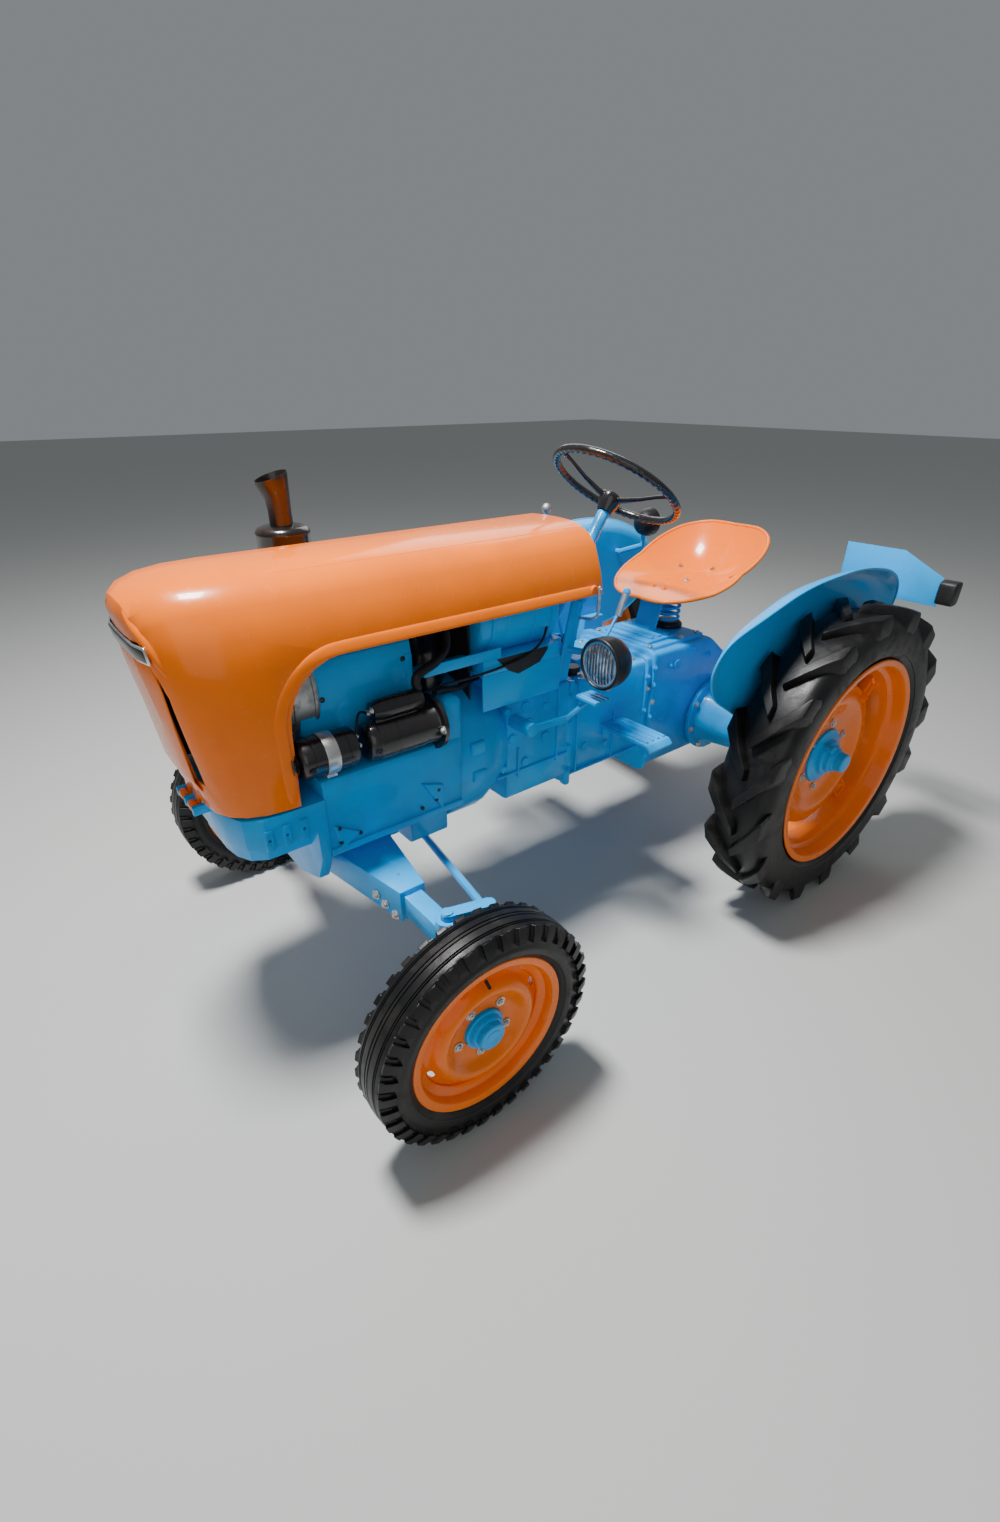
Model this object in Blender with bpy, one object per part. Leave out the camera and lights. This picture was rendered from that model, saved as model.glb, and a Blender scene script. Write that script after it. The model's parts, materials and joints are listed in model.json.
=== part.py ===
"""Small vintage farm tractor: two-cylinder engine, tilting hood, open seat, four wheels.

Metres, +X forward, +Y to the tractor's left, +Z up. Shapes are laid out from the point on
the ground under the rear axle's centre; the last section moves that layout so that the
part's origin is the middle of its footprint.
"""
from math import cos, pi, radians, sin

import bmesh
import bpy
from mathutils import Matrix, Vector

# General
GAP = 0.0003                    # between pieces that touch
OVERRUN = 0.02                  # how far a cutter runs past what it cuts
SINK = 0.004                    # how far a joined boss starts inside its wall
SMOOTH_ANGLE = radians(38)
FLATNESS = radians(0.02)        # a face bent by more is split
LEFT, RIGHT = 1, -1
SIDES = {LEFT: "left", RIGHT: "right"}

# Drive line, rear to front, each casting bolted to the next
REAR_HOUSING_BACK = 0.155       # behind the rear axle
REAR_HOUSING_FRONT = 0.395      # ahead of the rear axle
REAR_HOUSING_DECK = 0.06        # where its flat top starts, ahead of the rear axle
GEARBOX_LENGTH = 0.405
CLUTCH_HOUSING_LENGTH = 0.26
BELL_LENGTH = 0.22
ENGINE_LENGTH = 0.42
FRONT_SUPPORT_LENGTH = 0.233

X_BACK = -REAR_HOUSING_BACK
X_GEARBOX = REAR_HOUSING_FRONT
X_CLUTCH = X_GEARBOX + GEARBOX_LENGTH
X_BELL = X_CLUTCH + CLUTCH_HOUSING_LENGTH
X_ENGINE = X_BELL + BELL_LENGTH
X_SUPPORT = X_ENGINE + ENGINE_LENGTH
X_TIP = X_SUPPORT + FRONT_SUPPORT_LENGTH

# Wheels
REAR_RIM_RADIUS = 0.3556        # bead seat
REAR_TYRE_HEIGHT = 0.1894       # bead seat to the top of the bars
REAR_TYRE_RADIUS = REAR_RIM_RADIUS + REAR_TYRE_HEIGHT
REAR_TYRE_WIDTH = 0.212
REAR_TRACK = 1.358              # between the rear tyres' middles
REAR_LUG_HEIGHT = 0.029
REAR_LUG_PITCHES = 16
REAR_RIM_WIDTH = 0.186
REAR_DISC_SHARE = 0.737         # disc radius, of the bead seat's
REAR_DISC_RADIUS = REAR_RIM_RADIUS * REAR_DISC_SHARE
FRONT_TYRE_RADIUS = 0.318
FRONT_TYRE_WIDTH = 0.128
FRONT_TRACK = 1.426
FRONT_RIM_RADIUS = 0.2032
FRONT_RIM_WIDTH = 0.094
RIM_WALL = 0.005
REAR_FACETS = 26
FRONT_FACETS = 24
FRONT_AXLE_SETBACK = 0.127      # front axle behind the engine's front face

REAR_Z = REAR_TYRE_RADIUS
FRONT_Z = FRONT_TYRE_RADIUS
FRONT_X = X_SUPPORT - FRONT_AXLE_SETBACK
REAR_Y = REAR_TRACK / 2
FRONT_Y = FRONT_TRACK / 2

# Castings
HOUSING_WIDTH = 0.35
HOUSING_TOP = 0.865
HOUSING_BOTTOM = 0.415
GEARBOX_WIDTH = 0.33
GEARBOX_TOP = 0.85
GEARBOX_BOTTOM = 0.50
CLUTCH_WIDTH = 0.36
CLUTCH_TOP = 0.87
CLUTCH_BOTTOM = 0.52
FLANGE_THICKNESS = 0.022
FLANGE_RIM = 0.014              # how far a flange stands out from its casting
BELL_RADIUS = 0.235
BELL_Z = 0.715
BELL_FACETS = 24
ENGINE_WIDTH = 0.49
ENGINE_TOP = 0.845
ENGINE_RAIL_Z = 0.625           # lower edge of the crankcase walls
SUMP_BOTTOM = 0.575
SUMP_WELL_BOTTOM = 0.488
SUMP_WELL_LENGTH = 0.13
SUMP_WIDTH_SHARE = 0.66
CASTING_BEVEL = 0.018
COVER_MARGIN = 0.03
COVER_HEIGHT = 0.014
POWER_SHAFT_Z = 0.62
POWER_SHAFT_RADIUS = 0.017
POWER_SHAFT_LENGTH = 0.075
BELL_BACK_SHARE = 0.80
BELL_SHOULDER_SHARE = 0.45

# Rear axle
TRUMPET_FLANGE_RADIUS = 0.152
TRUMPET_ROOT_RADIUS = 0.118
TRUMPET_END_RADIUS = 0.078
TRUMPET_END_Y = 0.575
TRUMPET_FACETS = 20
REAR_HUB_RADIUS = 0.10           # pilot that shows in the wheel disc's hole
REAR_HUB_FLANGE_RADIUS = 0.138
REAR_HUB_DRUM_RADIUS = 0.072
REAR_HUB_CAP_RADIUS = 0.044
REAR_HUB_CAP_LENGTH = 0.062
HUB_FLANGE_THICKNESS = 0.013
HUB_PILOT_PROUD = 0.008
REAR_DISC_INSET = 0.102         # wheel disc behind the outer rim flange
FRONT_HUB_RADIUS = 0.056
FRONT_HUB_FLANGE_RADIUS = 0.085
FRONT_HUB_DRUM_RADIUS = 0.045
FRONT_HUB_CAP_RADIUS = 0.044
FRONT_HUB_CAP_LENGTH = 0.042
STUB_RADIUS = 0.018

# Front support and axle
SUPPORT_WIDTH = 0.50
SUPPORT_TOP = 0.797
SUPPORT_DEPTH = 0.085
SUPPORT_BOX_SHARE = 0.76        # the lower box's width, of the tray's
SUPPORT_BOX_DEPTH = 0.068
SUPPORT_TAB_SETS = (0.063, 0.108, 0.153)   # ahead of the engine's front
SUPPORT_TAB_WIDTH = 0.02
SUPPORT_TAB_HEIGHT = 0.055
SUPPORT_TAB_HOLE = 0.0045
AXLE_EAR_WIDTH = 0.16
AXLE_PIVOT_Z = 0.522
AXLE_BEAM_LENGTH = 0.18         # along X at the pivot
AXLE_BEAM_END_LENGTH = 0.075
AXLE_BEAM_HEIGHT = 0.095
AXLE_BEAM_END_Y = 0.43
BEAM_BEND_SHARE = 0.28
AXLE_INNER_HEIGHT = 0.062
AXLE_INNER_LENGTH = 0.052
KINGPIN_Y = 0.59
KINGPIN_RADIUS = 0.015
KINGPIN_BOSS_RADIUS = 0.031
KINGPIN_BOSS_HEIGHT = 0.11
END_CLEARANCE = 0.0008         # beside the end of a turning pin or hub
PIN_FACETS = 12
BALL_FACETS = 8
PIVOT_PIN_RADIUS = 0.016
EAR_THICKNESS = 0.03

# Steering
STEERING_LEAN = radians(33.6)
WHEEL_RIM_RADIUS = 0.215
WHEEL_GRIP_RADIUS = 0.0125
WHEEL_CENTRE_X = 0.464
WHEEL_CENTRE_Z = 1.404
WHEEL_DISH = 0.045              # hub below the rim's plane
COLUMN_RADIUS = 0.02
WHEEL_HUB_RADIUS = 0.036
WHEEL_HUB_LENGTH = 0.04
SPOKE_RADIUS = 0.006
SPOKE_TURN = radians(95)
BOX_HEIGHT = 0.10
BOX_HALF_WIDTH = 0.06
STEERING_ARM_LENGTH = 0.105     # knuckle arm, kingpin to ball
RELAY_BALL_X = X_ENGINE + 0.028     # the relay lever is as long as the knuckle arms, and parallel
RELAY_BALL_Y = 0.03
RELAY_X = RELAY_BALL_X + STEERING_ARM_LENGTH
RELAY_THICKNESS = 0.02
RELAY_HALF_WIDTH = 0.021
RELAY_HEAD_HALF_WIDTH = 0.015
RELAY_PIN_RADIUS = 0.011
BRACKET_BACK_X = X_BELL + 0.105
BRACKET_THICKNESS = 0.018
BRACKET_HALF_WIDTH = 0.027
RELAY_BRACKET_TOP = BELL_Z - BELL_RADIUS * cos(pi / BELL_FACETS) - GAP
RELAY_HIGH = RELAY_BRACKET_TOP - BRACKET_THICKNESS - END_CLEARANCE
RELAY_LOW = RELAY_HIGH - RELAY_THICKNESS
TIE_EYE_HEIGHT = 0.02
TIE_ROD_RADIUS = 0.012
TIE_EYE_RADIUS = 0.023
TIE_EYE_BORE = 0.009             # wide, because the linkage is open at that eye
BALL_PIN_RADIUS = 0.005
TIE_ROD_END_Z = 0.556
KNUCKLE_FACE_Y = KINGPIN_Y + 0.045      # where the front hub starts
STUB_END_Y = KINGPIN_Y + 0.105
KNUCKLE_ARM_THICKNESS = 0.016
KNUCKLE_ARM_HALF_WIDTH = 0.017

# Hood
HOOD_REAR_X = 0.735
HOOD_TOP = 1.34
HOOD_EDGE_Z = 1.15              # lower edge of the side panels
HOOD_SKIRT_Z = 0.804            # lower edge of the nose
HOOD_WALL = 0.004
HOOD_SKIRT_HALF_WIDTH = 0.252
HOOD_NOSE_START = 1.785
HOOD_NOSE_SKIRT_X = 1.945
HOOD_NOSE_BROW_X = 2.02
HOOD_NOSE_INSET = 0.205         # how much narrower the nose's face is, each side
HOOD_BROW_DROP = 0.075          # how much lower the face's top is
HOOD_ARCH_FRONT_X = 1.762
HOOD_ARCH_RADIUS = 0.16
SKIRT_LEAN = 0.012
ARCH_STEPS = 6
SLOT_Y = 0.10
SLOT_WIDTH = 0.016
SLOT_LOW = 0.86
SLOT_HIGH = 1.135
STRAP_THICKNESS = 0.005
TRIM_Z = 1.203
TRIM_FIRST_STATION = 3
TRIM_WIDTH_SHARE = 0.895        # the hood's width there, of its width at the skirt
TRIM_HEIGHT = 0.03
TRIM_THICKNESS = 0.008
HINGE_X = HOOD_NOSE_SKIRT_X + 0.012
HINGE_Z = HOOD_SKIRT_Z - 0.029
HINGE_PIN_RADIUS = 0.006
HINGE_SLEEVE_RADIUS = 0.0125
HINGE_Y = 0.036                 # middle of each sleeve
HINGE_LENGTH = 0.03
HINGE_LUG_THICKNESS = 0.012
HINGE_SIDE_CLEARANCE = 0.006
HINGE_STRAP_HEIGHT = 0.07

# Engine's outside pieces
DUCT_BACK_X = 1.372
DUCT_HALF_WIDTH = 0.166
DUCT_TOP = 1.14
DUCT_BEVEL = 0.05
FAN_LENGTH = 0.075
FAN_RADIUS = 0.178
FAN_INLET_RADIUS = 0.12
FAN_INLET_DEPTH = 0.03
DYNAMO_RADIUS = 0.051
DYNAMO_Y = 0.224
DYNAMO_Z = 0.909
DYNAMO_X = (1.592, 1.745)
DYNAMO_STRAP_WIDTH = 0.026
STARTER_RADIUS = 0.055
STARTER_Y = 0.226
STARTER_Z = 0.905
STARTER_X = (1.362, 1.566)
STARTER_FLANGE_THICKNESS = 0.012
SOLENOID_RADIUS = 0.029
SOLENOID_X = (1.40, 1.54)
TANK_X = (0.865, 1.165)
TANK_HALF_WIDTH = 0.192
TANK_BOTTOM = 0.985
TANK_TOP = 1.262
TANK_BEVEL = 0.135
TANK_SEAM = 0.005
MUFFLER_RADIUS = 0.075
MUFFLER_X = 1.472
MUFFLER_Y = -0.332
MUFFLER_BOTTOM = 1.12
MUFFLER_TOP = 1.348
OUTLET_RADIUS = 0.034
OUTLET_TOP = 1.478
OUTLET_LEAN = 0.012
OUTLET_FLARE_SHARE = 1.45
OUTLET_FACE = (0.3, 0.0, 0.95)
EXHAUST_PIPE_RADIUS = 0.026
EXHAUST_PIPE_Z = 1.01
HOSE_RADIUS = 0.013
FAN_Z = 1.035
TANK_SEAM_SHARES = (0.12, 0.84)
FRAME_PLATE_HALF_WIDTH = 0.205
FRAME_PLATE_WALL = 0.005
FRAME_FOOT = 0.06

# Driver's place
FRAME_X = (0.70, 0.845)         # feet ahead, top behind
FRAME_HALF_WIDTH = 0.165
FRAME_TOP = 1.128
FRAME_BAR = 0.022
FRAME_LEG_WIDTH = 0.048
FRAME_LEG_WALL = 0.008
SEAT_FRONT_X = 0.295
SEAT_BACK_X = -0.235
SEAT_HALF_WIDTH = 0.236
SEAT_PAN_Z = 1.036
SEAT_FRONT_DROP = 0.036
SEAT_SIDE_RISE = 0.085
SEAT_BACK_RISE = 0.175
SEAT_WALL = 0.006
SEAT_CAP_HEIGHT = 0.006
SEAT_LUG_X = 0.19
SEAT_LUG_HEIGHT = 0.022
SPRING_X = 0.11
SPRING_RADIUS = 0.038
SPRING_WIRE_RADIUS = 0.0065
SPRING_TURNS = 4
SPRING_BASE_HEIGHT = 0.022
SEAT_RING_SHARES = (0.3, 0.6, 0.82, 1.0)
SEAT_STEPS = 20
SEAT_SQUARE_SHARE = 0.12
SEAT_TAPER_SHARE = 0.15
STRAP_RAKE = 0.03
STRAP_FOOT = 0.06
STRAP_WALL = 0.008
STRAP_HALF_WIDTH = 0.05
BRACKET_DEPTH = 0.05
BRACKET_HALF_LENGTH = 0.06
FENDER_Y = 0.552
FENDER_WALL = 0.004
FENDER_FLARE = 0.07
FENDER_CLEARANCE = 0.097        # over the tyre
FENDER_RADIUS = REAR_TYRE_RADIUS + FENDER_CLEARANCE
LAMP_RADIUS = 0.076
LAMP_DEPTH = 0.10
LAMP_X = 0.842
LAMP_Y = 0.36
LAMP_Z = 0.992
LENS_DEPTH = 0.008
LAMP_POST_RADIUS = 0.011
WORK_LAMP_X = -FENDER_RADIUS * 0.3115
WORK_LAMP_Y = -0.40
WORK_LAMP_Z = REAR_Z + FENDER_RADIUS * 0.989
WORK_LAMP_RADIUS = 0.058
WORK_LAMP_DEPTH = 0.075
PLATE_X = -FENDER_RADIUS * 0.779
PLATE_Y = (0.335, 0.705)
PLATE_Z = (REAR_Z + FENDER_RADIUS * 0.709, REAR_Z + FENDER_RADIUS * 0.977)
PLATE_CLIP_Y = 0.55
PLATE_CLIP_Z = REAR_Z + FENDER_RADIUS * 0.8645
PLATE_WALL = 0.004
TAIL_LAMP_LENGTH = 0.055
TAIL_LAMP_SIZE = 0.062
REST_X = (0.52, 0.63)
REST_Y = (0.20, 0.385)
REST_Z = 0.665
REST_WALL = 0.012
REST_RIBS = 4
REST_RIB_HALF = 0.006
PEDAL_PIVOT_X = X_BELL - 0.025
PEDAL_PIVOT_Z = 0.80
PEDAL_PAD_X = PEDAL_PIVOT_X - 0.2
PEDAL_PAD_Z = 0.872
PEDAL_Y = 0.262
PEDAL_PAD_Y = 0.32
PEDAL_PAD_HALF = 0.042
PEDAL_BAR = 0.011
PEDAL_TEETH = 4
LEVER_RADIUS = 0.006
KNOB_RADIUS = 0.015
# Lever routes from the gearbox's top: (X, Y, height above it)
GEAR_LEVER_ROUTE = [(0.61, -0.04, GAP), (0.63, -0.07, 0.15), (0.63, -0.13, 0.35), (0.63, -0.15, 0.485)]
HAND_LEVER_ROUTE = [(0.61, 0.10, GAP), (0.575, 0.10, 0.08), (0.51, 0.10, 0.17), (0.478, 0.10, 0.237)]
DRAWBAR_REACH = 0.37            # behind the rear axle
DRAWBAR_HALF_WIDTH = 0.035
DRAWBAR_THICKNESS = 0.018
DRAWBAR_FRONT_X = 0.10
DRAWBAR_HOLE_RADIUS = 0.011

# Colours
COLOURS = {                     # name: (red, green, blue, roughness, metallic)
    "orange_paint": (0.91, 0.16, 0.015, 0.28, 0.0),
    "blue_paint": (0.004, 0.30, 0.72, 0.32, 0.0),
    "black_rubber": (0.022, 0.022, 0.024, 0.72, 0.0),
    "tyre_rubber": (0.022, 0.022, 0.024, 0.78, 0.0),
    "black_enamel": (0.012, 0.012, 0.012, 0.25, 0.0),
    "grey_metal": (0.42, 0.43, 0.43, 0.42, 0.9),
    "lens_glass": (0.75, 0.78, 0.78, 0.12, 0.0),
    "dark_plastic": (0.03, 0.03, 0.032, 0.5, 0.0),
}


def materials():
    """One Principled material for each colour."""
    made = {}
    for name, (red, green, blue, roughness, metallic) in COLOURS.items():
        material = bpy.data.materials.new(name)
        material.use_nodes = True
        shader = material.node_tree.nodes["Principled BSDF"]
        shader.inputs["Base Color"].default_value = (red, green, blue, 1)
        shader.inputs["Roughness"].default_value = roughness
        shader.inputs["Metallic"].default_value = metallic
        made[name] = material
    return made


def closed_mesh(bm):
    """A mesh with flat faces that point out, from a bmesh that it uses up."""
    bmesh.ops.connect_verts_nonplanar(bm, angle_limit=FLATNESS, faces=bm.faces)
    bmesh.ops.recalc_face_normals(bm, faces=bm.faces)
    mesh = bpy.data.meshes.new("form")
    bm.to_mesh(mesh)
    bm.free()
    return mesh


def at(axis, along, first, second):
    """A point from its place along an axis and its two places across it, in X, Y, Z order."""
    return {"X": (along, first, second), "Y": (first, along, second), "Z": (first, second, along)}[axis]


def loft(rings):
    """A solid through rings of points, closed by its first and last ring."""
    bm = bmesh.new()
    loops = [[bm.verts.new(point) for point in ring] for ring in rings]
    for low, high in zip(loops, loops[1:]):
        for index in range(len(low)):
            bm.faces.new((low[index - 1], low[index], high[index], high[index - 1]))
    bm.faces.new(loops[0])
    bm.faces.new(loops[-1])
    return closed_mesh(bm)


def prism(axis, outline, low, high):
    """An outline across an axis, extruded along it."""
    return loft([[at(axis, along, *point) for point in outline] for along in (low, high)])


def block(x, y, z):
    """A box from its low and high X, Y and Z."""
    return prism("Z", [(x[0], y[0]), (x[1], y[0]), (x[1], y[1]), (x[0], y[1])], *z)


def turned(axis, centre, profile, sides):
    """A closed profile of (along, radius) points, turned round an axis through centre."""
    bm = bmesh.new()
    rings = []
    for along, radius in profile:
        count = sides if radius else 1
        ring = []
        for index in range(count):
            angle = 2 * pi * (index + 0.5) / sides
            across = at(axis, along, radius * cos(angle), radius * sin(angle))
            ring.append(bm.verts.new(Vector(centre) + Vector(across)))
        rings.append(ring)
    for index, ring in enumerate(rings):
        before = rings[index - 1]
        if len(before) == 1 and len(ring) == 1:
            continue
        for step in range(sides):
            corners = (before[step - 1], before[step], ring[step], ring[step - 1]) \
                if len(before) > 1 and len(ring) > 1 else \
                (before[0], ring[step], ring[step - 1]) if len(ring) > 1 else \
                (before[step - 1], before[step], ring[0])
            bm.faces.new(corners)
    return closed_mesh(bm)


def rod(axis, centre, radius, low, high, sides=12):
    """A round bar along an axis."""
    return turned(axis, centre, [(low, 0), (low, radius), (high, radius), (high, 0)], sides)


def tube(route, radius, sides=8, start=None, end=None):
    """A round bar along a route; the radius is one value or one a point, the ends can be squared."""
    points = [Vector(point) for point in route]
    radii = radius if isinstance(radius, (list, tuple)) else [radius] * len(points)
    rings = []
    side = None
    for index, point in enumerate(points):
        ahead = points[min(index + 1, len(points) - 1)]
        behind = points[max(index - 1, 0)]
        heading = (ahead - behind).normalized()
        if index == 0 and start:
            heading = Vector(start)
        if index == len(points) - 1 and end:
            heading = Vector(end)
        if side is None:
            side = heading.orthogonal().normalized()
        side = (side - heading * side.dot(heading)).normalized()
        up = heading.cross(side)
        rings.append([point + (side * cos(2 * pi * step / sides) + up * sin(2 * pi * step / sides))
                      * radii[index] for step in range(sides)])
    return loft(rings)


def rounded(corners, radius, steps=3):
    """An outline whose corners are replaced by arcs."""
    outline = []
    for index, corner in enumerate(corners):
        here = Vector(corner)
        back = Vector(corners[index - 1]) - here
        ahead = Vector(corners[(index + 1) % len(corners)]) - here
        half = back.angle(ahead) / 2
        reach = min(radius / abs(sin(half) / cos(half)), back.length / 2, ahead.length / 2)
        start = here + back.normalized() * reach
        end = here + ahead.normalized() * reach
        for step in range(steps + 1):
            share = step / steps
            outline.append(tuple(start * (1 - share) ** 2 + here * 2 * share * (1 - share)
                                 + end * share ** 2))
    return outline


def rectangle(first, second, radius=0, steps=2):
    """A rectangle from its low and high places, with round corners where it has a radius."""
    corners = [(first[0], second[0]), (first[1], second[0]), (first[1], second[1]), (first[0], second[1])]
    return rounded(corners, radius, steps) if radius else corners


def clear_radius(radius, sides):
    """The radius of a faceted hole whose flats clear a round piece."""
    return radius / cos(pi / sides) + GAP


def circle(centre, radius, sides=12):
    """The points of a circle."""
    return [(centre[0] + radius * cos(2 * pi * step / sides), centre[1] + radius * sin(2 * pi * step / sides))
            for step in range(sides)]


def smooth_route(points, steps=3):
    """A Catmull-Rom curve through points."""
    knots = [Vector(point) for point in points]
    knots = [2 * knots[0] - knots[1]] + knots + [2 * knots[-1] - knots[-2]]
    route = []
    for before, start, end, after in zip(knots, knots[1:], knots[2:], knots[3:]):
        for step in range(steps):
            t = step / steps
            route.append(0.5 * (2 * start + (end - before) * t
                                + (2 * before - 5 * start + 4 * end - after) * t ** 2
                                + (3 * start - before - 3 * end + after) * t ** 3))
    route.append(knots[-2])
    return route


def moved(mesh, matrix):
    """A mesh turned, shifted or mirrored."""
    mesh.transform(matrix)
    if matrix.determinant() < 0:
        mesh.flip_normals()
    return mesh


def on_side(mesh, side):
    """A mesh made on the left, mirrored where the side is the right."""
    return mesh if side == LEFT else moved(mesh, Matrix.Scale(-1, 4, (0, 1, 0)))


def combined(mesh, others, operation):
    """A mesh with others joined to it or cut from it, one after the other."""
    base = bpy.data.objects.new("base", mesh)
    bpy.context.collection.objects.link(base)
    tools = []
    for other in others:
        tool = bpy.data.objects.new("tool", other)
        bpy.context.collection.objects.link(tool)
        tools.append(tool)
        modifier = base.modifiers.new("step", "BOOLEAN")
        modifier.operation = operation
        modifier.solver = "EXACT"
        modifier.object = tool
    graph = bpy.context.evaluated_depsgraph_get()
    result = bpy.data.meshes.new_from_object(base.evaluated_get(graph))
    for tool in [base] + tools:
        bpy.data.objects.remove(tool)
    return result


def joined(mesh, *others):
    """One solid from several that overlap."""
    return combined(mesh, others, "UNION")


def cut(mesh, *others):
    """A solid with others taken out of it."""
    return combined(mesh, others, "DIFFERENCE")


class Tractor:
    """The scene's empties and pieces, in the layout's own frame."""

    def __init__(self, shift):
        self.materials = materials()
        self.shift = Vector(shift)
        self.places = {}
        self.frames = {}
        self.frame("tractor", (0, 0, 0))

    def frame(self, name, origin, parent="tractor"):
        """An empty that carries a body's pieces, at a point on its joint's axis."""
        empty = bpy.data.objects.new(name + "_frame", None)
        bpy.context.collection.objects.link(empty)
        self.places[name] = Vector(origin)
        self.frames[name] = empty
        if name == parent:
            empty.location = self.shift
        else:
            empty.parent = self.frames[parent]
            empty.location = self.places[name] - self.places[parent]

    def piece(self, name, mesh, colour, body="tractor"):
        """One named sub-part on a body."""
        mesh.transform(Matrix.Translation(-self.places[body]))
        mesh.name = name
        mesh.materials.clear()
        mesh.materials.append(self.materials[colour])
        mesh.shade_smooth()
        mesh.set_sharp_from_angle(angle=SMOOTH_ANGLE)
        made = bpy.data.objects.new(name, mesh)
        bpy.context.collection.objects.link(made)
        made.parent = self.frames[body]
        return made


# Rim section: (half-width share, radius less the bead seat's in rim walls)
RIM_SHARES = [(1.0, 4.2), (0.90, 0.0), (0.45, 0.0), (0.33, -4.6)]
# Tyre outline above its rim, as (half-width share, radius share from the bead seat to the crown)
TYRE_SHARES = [(1.0, 0.45), (0.95, 0.80), (0.80, 0.94)]
# Lug outline from the middle to the shoulder: (half-width share, turn share)
LUG_ROW_SHARES = [(0.0, 0.0), (0.80, 1.0)]
LUG_TURN = radians(14)
LUG_WIDTH_SHARE = 0.33          # of a lug's pitch at the tyre's middle
LUG_TIP_SHARE = 0.985           # radius of a lug's outer end, of the tyre's radius
LUG_HEEL_SHARE = 0.99           # half-width of a lug's outer end, of the tyre's


def tyre_wall(half, seat, rim_width, crown):
    """A tyre's outline from its bead, inside the rim's flange, out and up to the shoulder."""
    bead = rim_width / 2 * RIM_SHARES[1][0] - GAP
    rise = seat + RIM_SHARES[0][1] * RIM_WALL
    return [(bead, seat), (bead, rise)] + [(width * half, seat + (crown - seat) * share)
                                           for width, share in TYRE_SHARES]


def lugged_tyre(side):
    """A driving tyre: a carcass whose rows follow the slanted bars, with the bars raised from it."""
    carcass = REAR_TYRE_RADIUS - REAR_LUG_HEIGHT
    half = REAR_TYRE_WIDTH / 2
    pitch = 2 * pi / REAR_LUG_PITCHES
    lug = pitch * LUG_WIDTH_SHARE
    starts = []
    for index in range(REAR_LUG_PITCHES):
        for shift in (0, lug, pitch / 2, pitch / 2 + lug):
            starts.append(index * pitch + shift)
    heel = carcass - (carcass - REAR_RIM_RADIUS) * (1 - TYRE_SHARES[-1][1]) * 2
    seat = clear_radius(REAR_RIM_RADIUS, 2 * pi / max(lug, pitch / 2 - lug))
    rows = []                   # (y, radius, turn), from the inner bead round to the outer one
    walls = [(y, radius, LUG_TURN) for y, radius in
             tyre_wall(half, seat, REAR_RIM_WIDTH, carcass)]
    treads = [(width * half, carcass, turn * LUG_TURN) for width, turn in LUG_ROW_SHARES[:-1]]
    rows += [(-y, radius, turn) for y, radius, turn in walls]
    rows += [(-y, radius, turn) for y, radius, turn in reversed(treads)]
    rows += treads[1:]
    rows += list(reversed(walls))
    bm = bmesh.new()
    grid = []
    for y, radius, turn in rows:
        grid.append([bm.verts.new((radius * cos(start + turn), y, radius * sin(start + turn)))
                     for start in starts])
    faces = {}
    columns = len(starts)
    for row in range(len(rows)):
        following = (row + 1) % len(rows)
        for column in range(columns):
            beside = (column + 1) % columns
            faces[row, column] = bm.faces.new((grid[row][column], grid[row][beside],
                                               grid[following][beside], grid[following][column]))
    middle = len(walls) + len(treads) - 1
    reach = len(treads) + 1
    for index in range(REAR_LUG_PITCHES):
        for rows_up, column in ((range(middle - reach, middle), index * 4),
                                (range(middle, middle + reach), index * 4 + 2)):
            raised = [faces[row, column] for row in rows_up]
            top = bmesh.ops.extrude_face_region(bm, geom=raised)
            bmesh.ops.delete(bm, geom=raised, context="FACES_ONLY")
            for vert in (item for item in top["geom"] if isinstance(item, bmesh.types.BMVert)):
                radius = Vector((vert.co.x, vert.co.z)).length
                if radius < heel:
                    vert.co.y = half * (1 if vert.co.y > 0 else -1)
                    continue
                wide = abs(vert.co.y) > half / 2
                grown = REAR_TYRE_RADIUS * (LUG_TIP_SHARE if wide else 1) / radius
                vert.co.x *= grown
                vert.co.z *= grown
                if wide:
                    vert.co.y *= LUG_HEEL_SHARE / TYRE_SHARES[-1][0]
    mesh = closed_mesh(bm)
    return moved(mesh, Matrix.Translation((0, side * REAR_Y, REAR_Z)))


# Road tyre's crown: (half-width share, drop share)
CROWN_DROP = 0.008
CROWN_SHARES = [(0.62, 0.3), (0.24, 0.0)]


def road_tyre(side):
    """A steered tyre, without its tread."""
    half = FRONT_TYRE_WIDTH / 2
    wall = tyre_wall(half, FRONT_RIM_RADIUS + GAP, FRONT_RIM_WIDTH, FRONT_TYRE_RADIUS - CROWN_DROP)
    crown = [(width * half, FRONT_TYRE_RADIUS - drop * CROWN_DROP) for width, drop in CROWN_SHARES]
    outer = wall + crown
    profile = [(-y, radius) for y, radius in outer] + [(y, radius) for y, radius in reversed(outer)]
    return turned("Y", (FRONT_X, side * FRONT_Y, FRONT_Z), profile, FRONT_FACETS)


def rim_profile(seat, width):
    """A drop-centre rim: the tyre's side, and the same line one wall further in."""
    half = width / 2
    outside = [(half * share, seat + depth * RIM_WALL - GAP) for share, depth in RIM_SHARES]
    line = [(-y, radius) for y, radius in outside] + [(y, radius) for y, radius in reversed(outside)]
    inside = [(y * (1 - RIM_WALL / half * (abs(y) < half * RIM_SHARES[1][0])), radius - RIM_WALL)
              for y, radius in line]
    return line + list(reversed(inside))


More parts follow.
